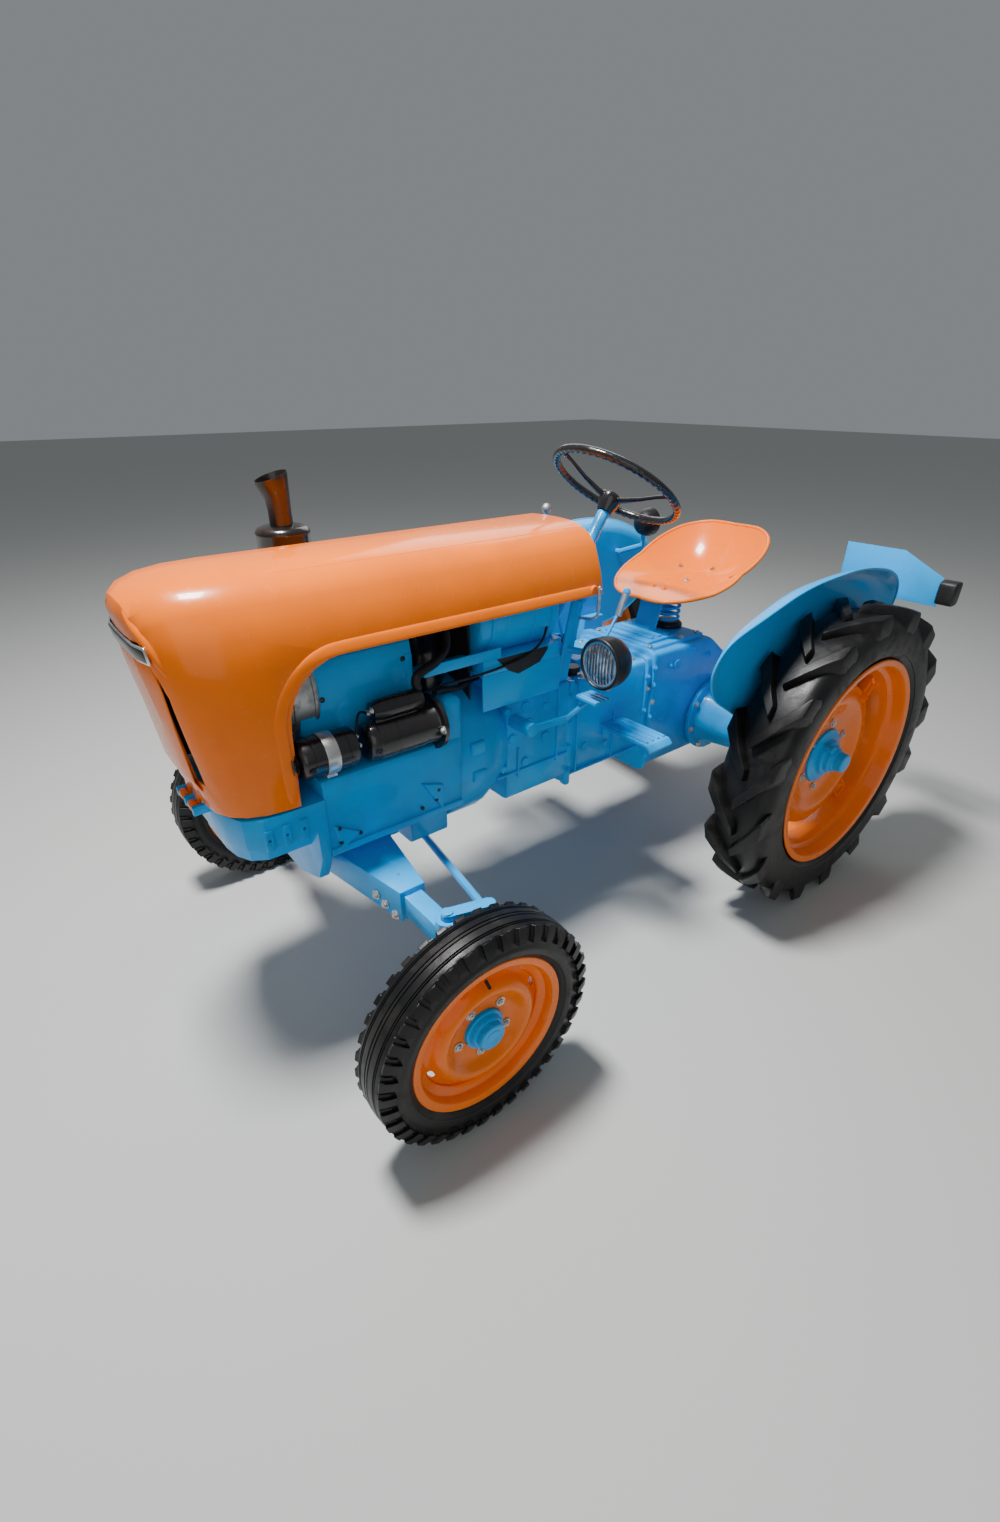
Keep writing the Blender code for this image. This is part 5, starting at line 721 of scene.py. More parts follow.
def rear_wheel():
    """Deep rim with a dished disc bolted to four brackets."""
    rim = turned(rim_line(REAR_SEAT, REAR_RIM_HALF), OUTWARD, REAR, 128, closed=True)
    face = [(-0.0090, 0.1010), (-0.0090, 0.1420), (-0.0070, 0.1540), (0.0010, 0.1750), (0.0100, 0.1950),
            (0.0132, 0.2080), (0.0130, 0.2200), (0.0090, 0.2320), (0.0030, 0.2400), (0.0010, 0.2460),
            (0.0010, 0.2600), (-0.0030, 0.2630)]
    back = [(place - 0.0048, radius) for place, radius in reversed(face)]
    disc = turned(face + back, OUTWARD, REAR, 96, closed=True)
    arm = box(REAR + Vector((-0.030, -0.030, 0.2380)), REAR + Vector((0.030, 0.004, 0.3320)), 0.004, 3)
    pick(arm, lambda middle, normal: normal.y > 0.9)
    bpy.ops.mesh.inset(thickness=0.009, depth=-0.010)
    modelled()
    arms = around(arm, evenly(DISC_BRACKETS, BRACKET_TURN), OUTWARD, REAR)
    return united([rim, disc, arms])


def rear_hub():
    """Hub disc with its clamp collar, two steps and a nut's cap."""
    back = turned([(-0.104, 0.072), (-0.030, 0.072), (-0.0290, 0.1375), (-0.0145, 0.1380)],
                  OUTWARD, REAR, ease=0.002)
    disc = turned([(-0.0150, 0.0995), (-0.0040, 0.0995), (-0.0010, 0.0970), (0.0000, 0.0900),
                   (0.0060, 0.0660), (0.0200, 0.0620), (0.0220, 0.0590), (0.0240, 0.0500),
                   (0.0380, 0.0480), (0.0400, 0.0440), (0.0500, 0.0400), (0.0520, 0.0360),
                   (0.0760, 0.0340), (0.0800, 0.0300), (0.0810, 0.0200)], OUTWARD, REAR)
    clamp = turned([(0.004, 0.0150), (0.0400, 0.0145), (0.0430, 0.0120)], OUTWARD,
                   REAR + Vector((0.030, 0, 0.046)), 24)
    return united([back, disc, clamp])


both(rear_tyre(), "rear_tyre_barred", tyre, "rear_wheel_set_{}", "rear_tyre_{}", smooth=42)
both(eased(rear_wheel(), 0.0009, 2, 50), "rear_wheel_rim", orange_enamel, "rear_wheel_set_{}",
     "rear_wheel_{}", smooth=40)
both(rear_hub(), "rear_hub_cap", blue_casting, "rear_wheel_set_{}", "rear_hub_{}", smooth=35)
rear_nuts = around(hex_bolt(0.0105, OUTWARD, REAR + Vector((0.124, -0.0065, 0))),
                   evenly(REAR_STUDS, REAR_STUD_TURN), OUTWARD, REAR)
bracket_nuts = around(hex_bolt(0.0120, OUTWARD, REAR + Vector((0, 0.0035, 0.2530))),
                      evenly(DISC_BRACKETS, BRACKET_TURN), OUTWARD, REAR)
both(rear_nuts, "rear_disc_nuts", zinc, "rear_wheel_set_{}")
both(bracket_nuts, "rear_bracket_nuts", orange_enamel, "rear_wheel_set_{}")


# Hood, its lip, slots, brow and strip

HOOD_SIDE = ((0.804, 0.252), (1.15, 0.233), (1.214, 0.217), (1.281, 0.189), (1.314, 0.155), (1.336, 0.10))
LIP_WIDTH = 0.030
# The lip's section: shares of its width off the hood's edge, and how far it stands out there
LIP_SECTION = ((0.0, 0.0), (0.0, 0.0050), (0.10, 0.0062), (0.60, 0.0046), (0.86, 0.0026), (1.0, -0.0006),
               (0.9, -0.0020))
HOOD_CREASE = ((0.745, 0.122, 1.3232), (1.2, 0.122, 1.3232), (1.70, 0.121, 1.3232), (1.84, 0.118, 1.318))
# The solid's own slots, which are closed: their middle, half width and ends
SOLID_SLOT, SOLID_SLOT_HALF = 0.10, 0.0095
SOLID_SLOT_LOW, SOLID_SLOT_HIGH = 0.85, 1.145
SQUARE_ON = 0.7                 # how squarely one of their walls faces sideways, up or down
# The slots as cut here: height, middle and half width, between two places behind and before the sheet
SLOT_BACK, SLOT_FRONT = 1.90, 2.01
SLOT_LINE = ((1.158, 0.1385, 0.0012), (1.108, 0.1395, 0.0135), (1.050, 0.1365, 0.0170),
             (0.990, 0.1350, 0.0192), (0.933, 0.1355, 0.0212), (0.884, 0.1350, 0.0222))


def hood_side(height):
    """Half the hood's width at a height."""
    for (low, wide), (high, narrow) in zip(HOOD_SIDE, HOOD_SIDE[1:]):
        if height <= high:
            return wide + (narrow - wide) * (height - low) / (high - low)
    return narrow


def slot_wedge(side):
    """The long narrow opening on one side of the nose, as a wedge that widens downwards."""
    return lofted([[placed((x, side * y, height)) for x, y in
                    ((SLOT_BACK, middle - half), (SLOT_FRONT, middle - half), (SLOT_FRONT, middle + half),
                     (SLOT_BACK, middle + half))] for height, middle, half in SLOT_LINE])


def hood():
    """The hood with plain nose panels, then two wedge openings cut through the sheet."""
    def slot_wall(middle, normal):
        beside = abs(abs(middle.y) - SOLID_SLOT) < SOLID_SLOT_HALF
        within = middle.x + MIDDLE > SLOT_BACK and SOLID_SLOT_LOW < middle.z < SOLID_SLOT_HIGH
        return beside and within and max(abs(normal.y), abs(normal.z)) > SQUARE_ON

    piece = chosen(without(copied("hood"), slot_wall))
    bpy.ops.object.mode_set(mode="EDIT")
    bpy.ops.mesh.select_mode(type="EDGE")
    bpy.ops.mesh.select_all(action="DESELECT")
    bpy.ops.mesh.select_non_manifold(extend=False)
    bpy.ops.mesh.fill_holes(sides=0)
    modelled()
    for side in (LEFT, RIGHT):
        wedge = slot_wedge(side)
        modified(piece, "BOOLEAN", operation="DIFFERENCE", object=wedge)
        removed(wedge)
    return eased(piece, 0.004, 3, 30)


def lip_route():
    """The hood's lower edge from its back to the foot of the nose, with the way off the edge."""
    back, edge, front, bend, nose_stride = 0.738, 1.15, 1.762, 0.16, 0.06
    strides, bend_steps, nose_steps = 8, 12, 3
    bend_x, bend_z = front - bend, edge - bend
    steps = [(back + (bend_x - back) * step / strides, edge, 0.0, 1.0) for step in range(strides + 1)]
    for step in range(bend_steps + 1):
        turn = radians(90 * step / bend_steps)
        steps.append((bend_x + bend * sin(turn), bend_z + bend * cos(turn), sin(turn), cos(turn)))
    return steps + [(front, bend_z - nose_stride * (step + 1), 1.0, 0.0) for step in range(nose_steps)]


def hood_lip():
    """A flared band along the edge, which dies away into the panel at its crease."""
    sections = []
    for x, height, ahead, up in lip_route():
        row = []
        for share, proud in LIP_SECTION:
            spot_x, spot_z = x + ahead * LIP_WIDTH * share, height + up * LIP_WIDTH * share
            row.append(placed((spot_x, hood_side(spot_z) + proud, spot_z)))
        sections.append(row)
    return lofted(sections)


def brow_ridge():
    """The pressed brow: a crest from above the strip that dies away beside the slot."""
    line = (((1.9985, 0.062, 1.2920), 0.0040, 0.0002), ((1.9990, 0.078, 1.2780), 0.0110, 0.0052),
            ((1.9950, 0.106, 1.2530), 0.0160, 0.0085), ((1.9850, 0.1305, 1.2260), 0.0165, 0.0090),
            ((1.9775, 0.1455, 1.1980), 0.0140, 0.0075), ((1.9715, 0.1550, 1.1750), 0.0095, 0.0045),
            ((1.9660, 0.1620, 1.1520), 0.0040, 0.0002))
    out = Vector((0.82, 0.56, 0.08))
    sections = []
    for number, (point, radius, proud) in enumerate(line):
        before, after = line[max(number - 1, 0)][0], line[min(number + 1, len(line) - 1)][0]
        ahead = (Vector(after) - Vector(before)).normalized()
        aside = ahead.cross(out).normalized()
        up = aside.cross(ahead).normalized()
        centre = placed(point) - up * (radius - proud) * (1 if up.dot(out) > 0 else -1)
        sections.append(round_section(centre, aside, up, radius, 14))
    return modified(lofted(sections), "SUBSURF", levels=2, render_levels=2)


def nose_shield():
    """The raised middle panel of the nose: two slanting facets whose free edges line the slots."""
    stations = ((1.186, 2.0035, 1.9900, 0.060, 0.118), (1.152, 2.0010, 1.9850, 0.068, 0.1365),
                (1.118, 1.9965, 1.9805, 0.072, 0.1385), (1.034, 1.9850, 1.9745, 0.075, 0.1355),
                (0.927, 1.9740, 1.9655, 0.075, 0.1335), (0.886, 1.9700, 1.9620, 0.075, 0.1325),
                (0.866, 1.9610, 1.9540, 0.074, 0.1320), (0.846, 1.9475, 1.9420, 0.072, 0.1310))
    fold, gauge = 0.0022, 0.0035
    sections = []
    for height, crest, foot, crest_side, foot_side in stations:
        outer = [(foot, -foot_side), (crest, -crest_side), (crest + fold, 0.0), (crest, crest_side),
                 (foot, foot_side)]
        inner = [(x - gauge, y) for x, y in reversed(outer)]
        sections.append([placed((x, y, height)) for x, y in outer + inner])
    return eased(lofted(sections), 0.0016, 3, 8)


def strip():
    """The nose strip: a bare dark field in a bright rounded frame."""
    wider, taller, set_back = 1.03, 1.36, -0.0022
    field = eased(copied("nose_trim"), 0.002, 2, 30)
    edge = copied("nose_trim")
    chosen(edge)
    low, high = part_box("nose_trim")
    bpy.ops.object.mode_set(mode="EDIT")
    bpy.ops.mesh.select_all(action="SELECT")
    bpy.ops.transform.resize(value=(1, wider, taller), center_override=(0, 0, (low[2] + high[2]) / 2))
    bpy.ops.transform.translate(value=(set_back, 0, 0))
    return eased(modelled(), 0.004, 3, 30), field


def slot_backing():
    """Dark plate behind one slot, from beside the middle round to the hood's flank: painted shade in place
    of the hood's dark inside.
    """
    inner, bend, flank = 0.060, 0.150, 0.172
    rows = [[placed((x, y, height)) for x, y in
             ((back, inner), (front, inner), (front - 0.004, bend), (front - 0.020, flank), (back, flank))]
            for height, back, front in ((0.868, 1.895, 1.926), (1.020, 1.915, 1.946),
                                        (1.178, 1.930, 1.958))]
    return eased(lofted(rows), 0.002)


done(hood(), "hood_shell", orange_enamel, "hood_lid", ("hood",), 60.0)
both(modified(hood_lip(), "SUBSURF", levels=1, render_levels=1), "hood_lip", orange_enamel, "hood_lid",
     smooth=50)
both(brow_ridge(), "hood_brow", orange_enamel, "hood_lid", smooth=80)
done(nose_shield(), "nose_shield", orange_enamel, "hood_lid", smooth=30)
strip_edge, strip_field = strip()
done(strip_edge, "nose_strip_edge", chrome, "hood_lid", smooth=40)
done(strip_field, "nose_strip_field", black, "hood_lid", ("nose_trim",), 40.0)
# dark plates behind the slots: painted shade
both(slot_backing(), "slot_backing", plastic, "hood_lid")
both(piped(HOOD_CREASE, 0.0048), "hood_crease", orange_enamel, "hood_lid", smooth=70)


LATCH = (0.772, 0.2318, 1.166)
LATCH_HOOK = ((0.760, 0.243, 1.108), (0.762, 0.240, 1.088), (0.768, 0.222, 1.078), (0.776, 0.180, 1.072))


def latch_boss():
    """Pressed boss under the latch at the hood's rear corner."""
    return turned([(-0.004, 0.0135), (0.003, 0.0130), (0.0048, 0.0110)], OUTWARD, LATCH, 24)


def latch_pull():
    """The latch's upright lever, its pin and the hook below."""
    lever = box((0.755, 0.238, 1.105), (0.7655, 0.2475, 1.178), 0.0042, 3)
    pin = turned([(-0.012, 0.004), (0.016, 0.004), (0.017, 0.003)], OUTWARD, (0.760, 0.235, 1.168), 12)
    return united([lever, pin, piped(LATCH_HOOK, 0.0045)])


both(latch_boss(), "latch_boss", orange_enamel, "hood_lid")
both(latch_pull(), "latch_pull", zinc, "hood_lid")


# Lamps

HEADLAMP = (0.767, 0.36, 0.992)
HEADLAMP_CABLE = ((0.762, 0.352, 0.978), (0.735, 0.330, 0.965), (0.690, 0.280, 0.985),
                  (0.640, 0.215, 0.985), (0.600, 0.205, 0.930), (0.590, 0.204, 0.870),
                  (0.592, 0.203, 0.830))
FENDER_REACH = 0.642            # a mudguard's edge is drawn in shares of it, measured from the axle
WORK_LAMP = (-0.125, -0.40, REAR.z + FENDER_REACH * 0.989)
STALK_TOP = WORK_LAMP[2] - 0.030


def lamp_set():
    """Rubber shell, bright ring and fluted glass of a headlamp."""
    shell = turned([(0.000, 0.030), (0.004, 0.038), (0.014, 0.052), (0.030, 0.0660), (0.048, 0.0735),
                    (0.066, 0.0758), (0.084, 0.0758), (0.088, 0.0768), (0.096, 0.0768), (0.0995, 0.0740),
                    (0.0998, 0.0700), (0.0930, 0.0665)], FORWARD, HEADLAMP)
    ring = turned([(0.0905, 0.0690), (0.0950, 0.0685), (0.0962, 0.0660), (0.0955, 0.0640)],
                  FORWARD, HEADLAMP)
    pane = turned([(0.0900, 0.0650), (0.0945, 0.0640), (0.0980, 0.0520), (0.1003, 0.0360), (0.1012, 0.0180),
                   (0.1014, 0.0050)], FORWARD, HEADLAMP)
    return shell, ring, pane


shell, ring, pane = lamp_set()
both(shell, "headlamp_shell", rubber, "tractor", "headlamp_{}", smooth=50)
both(ring, "headlamp_ring", chrome, "tractor", smooth=50)
both(pane, "headlamp_glass", glass, "tractor", smooth=60)
back_cap = turned([(-0.012, 0.016), (-0.002, 0.018), (0.002, 0.030)], FORWARD, HEADLAMP, 24)
both(back_cap, "headlamp_back_cap", rubber, "tractor")
both(piped(HEADLAMP_CABLE, 0.0042, 8), "headlamp_cable", rubber, "tractor", smooth=60)


def work_lamp():
    """Round rubber lamp that faces backwards on a blue stalk: its shell and its glass."""
    shell = turned([(0.000, 0.024), (0.006, 0.034), (0.022, 0.0480), (0.044, 0.0560), (0.064, 0.0580),
                    (0.0735, 0.0575), (0.0750, 0.0540), (0.0700, 0.0500)], BACKWARD, WORK_LAMP, 48)
    pane = turned([(0.0680, 0.0510), (0.0715, 0.0490), (0.0740, 0.0300), (0.0748, 0.0100)],
                  BACKWARD, WORK_LAMP, 48)
    return shell, pane


lamp_shell, lamp_pane = work_lamp()
done(lamp_shell, "work_lamp_shell", rubber, "tractor", smooth=50)
done(lamp_pane, "work_lamp_glass", glass, "tractor", smooth=60)
stalk = without(eased(copied("work_lamp"), 0.002), lambda middle, normal: middle.z > STALK_TOP)
done(stalk, "work_lamp_stalk", blue_enamel, "tractor", ("work_lamp",))


# Steering wheel

WHEEL_CENTRE = (0.464, 0, 1.404)
WHEEL_LEAN = radians(33.6)
WHEEL_RADIUS, GRIP_RADIUS = 0.215, 0.0125
GRIP_STEPS, GRIP_RIDGES, RIDGE_RISE = 216, 54, 0.0011
BAR_SIDES = 10
# One spoke's sections from the hub outwards: radius, lift, half width and half thickness
SPOKE = ((0.018, -0.043, 0.017, 0.010), (0.050, -0.040, 0.0130, 0.0085), (0.110, -0.028, 0.0085, 0.0070),
         (0.170, -0.010, 0.0075, 0.0062), (0.206, -0.002, 0.0105, 0.0075), (0.216, 0.000, 0.0120, 0.0080))


def leaned(direction):
    """A direction of the level wheel as it points once the wheel is tilted."""
    tilted = Vector(direction)
    tilted.rotate(Matrix.Rotation(-WHEEL_LEAN, 3, "Y"))
    return tilted


def rim_place(turn, radius, lift):
    """A point of the steering wheel, in its own tilted plane."""
    return placed(WHEEL_CENTRE) + leaned((radius * cos(turn), radius * sin(turn), lift))


def steering_rim():
    """Grip with finger ridges on its underside."""
    sections = []
    for turn in evenly(GRIP_STEPS):
        ridge = RIDGE_RISE * cos(turn * GRIP_RIDGES)
        row = []
        for tilt in evenly(BAR_SIDES):
            radius = GRIP_RADIUS + ridge * max(0.0, -sin(tilt) * 0.8 + 0.3)
            row.append(rim_place(turn, WHEEL_RADIUS + radius * cos(tilt), radius * sin(tilt)))
        sections.append(row)
    return hooped(sections)


def steering_spokes():
    """Three flat tapered spokes into a moulded hub with a domed cap."""
    parts = []
    for turn in evenly(3, radians(95)):
        sections = [[rim_place(turn + atan2(wide, radius) * cos(tilt), radius, lift + thick * sin(tilt))
                     for tilt in evenly(BAR_SIDES)] for radius, lift, wide, thick in SPOKE]
        parts.append(lofted(sections))
    hub = turned([(-0.086, 0.0255), (-0.075, 0.0290), (-0.060, 0.0340), (-0.047, 0.0365), (-0.037, 0.0370),
                  (-0.031, 0.0350), (-0.0290, 0.0300), (-0.0285, 0.0240), (-0.0250, 0.0220),
                  (-0.0230, 0.0120)], leaned(UP), WHEEL_CENTRE, 40)
    return united(parts + [hub])


done(united([steering_rim(), steering_spokes()]), "steering_wheel_moulded", black, "wheel_column",
     ("steering_wheel",), 50.0)


# Muffler

MUFFLER_X, MUFFLER_Y = 1.472, -0.332
CAN_FOOT, MOUTH_FOOT, MOUTH_RAKE = 1.128, 1.43, 0.30
# The outlet's sections: height, way ahead of the can's axis, half length and half width
OUTLET = ((1.338, 0.000, 0.0330, 0.0330), (1.352, 0.000, 0.0325, 0.0325), (1.385, 0.000, 0.0318, 0.0325),
          (1.415, 0.0015, 0.0345, 0.0350), (1.440, 0.0050, 0.0390, 0.0385), (1.462, 0.0090, 0.0440, 0.0420),
          (1.474, 0.0110, 0.0462, 0.0430), (1.474, 0.0110, 0.0440, 0.0408), (1.440, 0.0050, 0.0360, 0.0355),
          (1.400, 0.0010, 0.0300, 0.0300))


def muffler_can():
    """Can with a rounded shoulder and a seam below its top."""
    return turned([(1.120, 0.050), (1.124, 0.0640), (1.132, 0.0725), (1.142, 0.0750), (1.322, 0.0750),
                   (1.3235, 0.0764), (1.3300, 0.0766), (1.3340, 0.0745), (1.3400, 0.0700),
                   (1.3440, 0.0620), (1.3465, 0.0500), (1.3478, 0.0400)], UP, (MUFFLER_X, MUFFLER_Y, 0))


def muffler_outlet():
    """Outlet that flattens and flares forwards to a raked open mouth."""
    sections = []
    for height, ahead, long, wide in OUTLET:
        rake = MOUTH_RAKE * long * (height > MOUTH_FOOT)
        sections.append([placed((MUFFLER_X + ahead + long * cos(turn), MUFFLER_Y + wide * sin(turn),
                                 height - rake * cos(turn))) for turn in evenly(28)])
    return lofted(sections)


pipe = without(copied("muffler"), lambda middle, normal: middle.z > CAN_FOOT)
done(united([muffler_can(), muffler_outlet(), pipe]), "muffler_can", scorched, "tractor",
     ("muffler",), 45.0)


# Starter, dynamo and fan

STARTER = (1.362, 0.226, 0.905)
SOLENOID = (1.362, 0.226, 0.983)
DYNAMO = (1.592, 0.224, 0.909)
FAN = Vector((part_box("fan_housing")[0][0] + MIDDLE, 0, 1.035))
DRUM_RIBS, FAN_VANES = 30, 12
# Terminals of the starter and the dynamo: radius, the way they point, place and height share
STARTER_TERMINALS = ((0.0065, FORWARD, (1.5385, 0.236, 0.990), 0.9),
                     (0.0060, FORWARD, (1.5385, 0.216, 0.976), 0.9),
                     (0.0080, BACKWARD, (1.3485, 0.226, 0.838), 0.8),
                     (0.0080, FORWARD, (1.3650, 0.292, 0.905), 0.8))
DYNAMO_TERMINALS = ((0.0060, BACKWARD, (1.5915, 0.240, 0.936), 1.0),
                    (0.0050, BACKWARD, (1.5915, 0.256, 0.918), 1.0),
                    (0.0050, BACKWARD, (1.5915, 0.216, 0.944), 1.0))


def bolts(rows):
    """Hexagon bolts, each given as its radius, axis, place and height share."""
    return united([hex_bolt(*row) for row in rows])


def starter():
    """Starter motor: end caps, body bands, mounting flange and solenoid."""
    motor = turned([(-0.012, 0.074), (0.000, 0.0740), (0.0005, 0.0560), (0.004, 0.0535), (0.040, 0.0520),
                    (0.0415, 0.0550), (0.120, 0.0550), (0.1210, 0.0538), (0.1235, 0.0538),
                    (0.1245, 0.0550), (0.176, 0.0550), (0.1775, 0.0530), (0.190, 0.0515), (0.199, 0.0480),
                    (0.2035, 0.0420), (0.2040, 0.0200)], FORWARD, STARTER, 56)
    coil = turned([(0.030, 0.026), (0.034, 0.0290), (0.078, 0.0290), (0.0790, 0.0300), (0.083, 0.0300),
                   (0.0840, 0.0290), (0.150, 0.0290), (0.158, 0.0270), (0.166, 0.0250), (0.1745, 0.0240),
                   (0.1760, 0.0200)], FORWARD, SOLENOID, 40)
    neck = box((1.405, 0.208, 0.935), (1.535, 0.244, 0.972), 0.006)
    saddle = box((1.366, 0.20, 0.855), (1.415, 0.244, 0.900), 0.004)
    return united([motor, coil, neck, saddle])


done(starter(), "starter_motor", black, "tractor", ("starter",), 40.0)
done(bolts(STARTER_TERMINALS), "starter_terminals", zinc, "tractor")


def dynamo():
    """Dynamo: banded body between two end covers, its saddle and its pulley."""
    body = turned([(0.000, 0.030), (0.002, 0.0440), (0.006, 0.0490), (0.014, 0.0510), (0.030, 0.0510),
                   (0.0308, 0.0498), (0.0330, 0.0498), (0.0340, 0.0510), (0.120, 0.0510), (0.1210, 0.0498),
                   (0.1235, 0.0498), (0.1245, 0.0510), (0.141, 0.0505), (0.149, 0.0480), (0.1530, 0.0420),
                   (0.1535, 0.0200)], FORWARD, DYNAMO, 56)
    saddle = box((1.645, 0.20, 0.855), (1.693, 0.242, 0.880), 0.004)
    pulley = turned([(0.1535, 0.013), (0.160, 0.013), (0.1605, 0.034), (0.163, 0.035), (0.166, 0.027),
                     (0.170, 0.027), (0.173, 0.035), (0.1755, 0.034), (0.176, 0.015)], FORWARD, DYNAMO, 40)
    return united([body, saddle, pulley])


def dynamo_strap():
    """Steel band round the dynamo with its clasp below."""
    band = turned([(0.0600, 0.0512), (0.0600, 0.0545), (0.0940, 0.0545), (0.0940, 0.0512)],
                  FORWARD, DYNAMO, 56, closed=True)
    clasp = box((1.655, 0.216, 0.852), (1.683, 0.250, 0.862), 0.002)
    return eased(united([band, clasp]), 0.0008)


done(dynamo(), "dynamo_body", black, "tractor", ("dynamo",), 40.0)
done(dynamo_strap(), "dynamo_strap", zinc, "tractor")
done(bolts(DYNAMO_TERMINALS), "dynamo_terminals", zinc, "tractor")


def fan_drum():
    """Cast fan drum: two bands, ribs along its side and the air inlet in front."""
    drum = turned([(-0.056, 0.150), (-0.0555, 0.1740), (-0.052, 0.1768), (-0.044, 0.1768),
                   (-0.0425, 0.1742), (-0.004, 0.1742), (-0.002, 0.1780), (0.010, 0.1784),
                   (0.0115, 0.1740), (0.030, 0.1722), (0.0320, 0.1755), (0.040, 0.1752), (0.0420, 0.1700),
                   (0.062, 0.1672), (0.064, 0.1690), (0.0735, 0.1660), (0.0750, 0.1600), (0.0748, 0.1250),
                   (0.0700, 0.1200), (0.0460, 0.1190), (0.0450, 0.1100), (0.0450, 0.0400)], FORWARD, FAN, 72)
    rib = box(FAN + Vector((0.011, -0.0028, 0.165)), FAN + Vector((0.066, 0.0028, 0.1772)), 0.0012)
    ribs = around(rib, evenly(DRUM_RIBS), FORWARD, FAN)
    hub = turned([(0.040, 0.0360), (0.070, 0.0355), (0.0740, 0.0320), (0.0748, 0.0120)], FORWARD, FAN, 40)
    vane = box(FAN + Vector((0.046, -0.0012, 0.034)), FAN + Vector((0.066, 0.0012, 0.118)), 0.0)
    vanes = around(vane, evenly(FAN_VANES), FORWARD, FAN)
    return united([drum, ribs, hub, vanes])


done(fan_drum(), "fan_drum", aluminium, "tractor", ("fan_housing",), 40.0)


# Tank

def tank():
    """Barrel tank with domed ends and two pressed bands."""
    def row(x, grow):
        half, low, high, corner = 0.192 + grow, 0.985 - grow, 1.262 + grow, 0.135 + grow
        corners = ((half - corner, high - corner, 0), (-half + corner, high - corner, 90),
                   (-half + corner, low + corner, 180), (half - corner, low + corner, 270))
        return [placed((x, y + corner * cos(radians(turn)), z + corner * sin(radians(turn))))
                for y, z, start in corners for turn in range(start, start + 91, 10)]

    line = [(0.8650, -0.060), (0.8655, -0.030), (0.8680, -0.012), (0.8730, -0.003), (0.8790, 0.000),
            (0.8930, 0.000), (0.8950, 0.0045), (0.8990, 0.0050), (0.9030, 0.0045), (0.9050, 0.000),
            (0.960, 0.000), (0.962, -0.002), (0.966, -0.002), (0.968, 0.000), (1.062, 0.000),
            (1.064, -0.002), (1.068, -0.002), (1.070, 0.000), (1.1120, 0.000), (1.1140, 0.0045),
            (1.1180, 0.0050), (1.1220, 0.0045), (1.1240, 0.000), (1.1500, 0.000), (1.1570, -0.003),
            (1.1620, -0.012), (1.1645, -0.030), (1.1650, -0.060)]
    return lofted([row(x, grow) for x, grow in line])


done(tank(), "fuel_tank_barrel", blue_enamel, "tractor", ("fuel_tank",), 40.0)


# Mudguards

FENDER_PLANE, FENDER_FLARE = 0.552, 0.068
FENDER_MIDDLE = (0.12, 0.62)
FENDER_GAUGE, BEAD_RADIUS = 0.0036, 0.0042
FLAT_RADIUS = 0.14              # the flat round its middle that is closed last lies within this
BRACKET_FACE = 0.5474           # the solid's sheet begins here, outside its brackets
# Shares of the way from the mudguard's middle to its edge, and of the flare that is reached there
FENDER_RINGS = ((1.0, 1.0), (0.985, 0.86), (0.965, 0.62), (0.94, 0.36), (0.91, 0.15), (0.87, 0.03),
                (0.80, 0.0), (0.50, 0.0), (0.20, 0.0))
# The edge's points in shares of its reach, ahead of and over the axle, and how far each one flares
FENDER_EDGE = ((-0.612, 0.824, 0.7), (-0.396, 0.935, 1.0), (-0.106, 0.986, 1.0), (0.17, 0.985, 1.0),
               (0.433, 0.961, 1.0), (0.70, 0.885, 0.9), (0.90, 0.79, 0.6), (0.955, 0.66, 0.35),
               (0.90, 0.53, 0.2), (0.771, 0.436, 0.1), (0.56, 0.32, 0.0), (0.28, 0.27, 0.0),
               (-0.02, 0.26, 0.0), (-0.33, 0.30, 0.0), (-0.60, 0.46, 0.0), (-0.70, 0.66, 0.3))
FENDER_STEPS = 7                # from one of these points to the next

def ring_line(points, steps):
    """Points on one smooth closed curve through the given ones."""
    count = len(points)
    return [spot for index in range(count)
            for spot in smooth_line([points[(index + shift) % count] for shift in (-1, 0, 1, 2)], steps)
            [steps:2 * steps]]


def fender():
    """Flat mudguard whose rim rolls out over the tyre, with a bead round its edge."""
    edge = ring_line([Vector((x * FENDER_REACH, flare, z * FENDER_REACH)) for x, z, flare in FENDER_EDGE],
                     FENDER_STEPS)
    centre = Vector((FENDER_MIDDLE[0] * FENDER_REACH, 0, FENDER_MIDDLE[1] * FENDER_REACH))

    def sheet_point(spot, share, rise):
        flat = centre + (Vector((spot.x, 0, spot.z)) - centre) * share
        return placed((flat.x, FENDER_PLANE + FENDER_FLARE * spot.y * rise, REAR.z + flat.z))

    sheet = lofted([[sheet_point(spot, share, rise) for spot in edge] for share, rise in FENDER_RINGS],
                   capped=False)
    floored(sheet, placed((centre.x, FENDER_PLANE, REAR.z + centre.z)), FLAT_RADIUS)
    modified(sheet, "SOLIDIFY", thickness=FENDER_GAUGE, offset=0.0)
    bead = []
    for index, spot in enumerate(edge):
        ahead = (edge[(index + 1) % len(edge)] - edge[index - 1]).normalized()
        aside = Vector((ahead.z, 0, -ahead.x)).normalized()
        bead.append(round_section(sheet_point(spot, 1.0, 1.0), aside, Vector(OUTWARD), BEAD_RADIUS, 8))
    roll = hooped(bead)
    bracket = without(copied("fender_left"), lambda middle, normal: middle.y > BRACKET_FACE)
    return united([sheet, roll, bracket])


both(fender(), "mudguard", blue_enamel, "tractor", "fender_{}", smooth=50)


# Seat

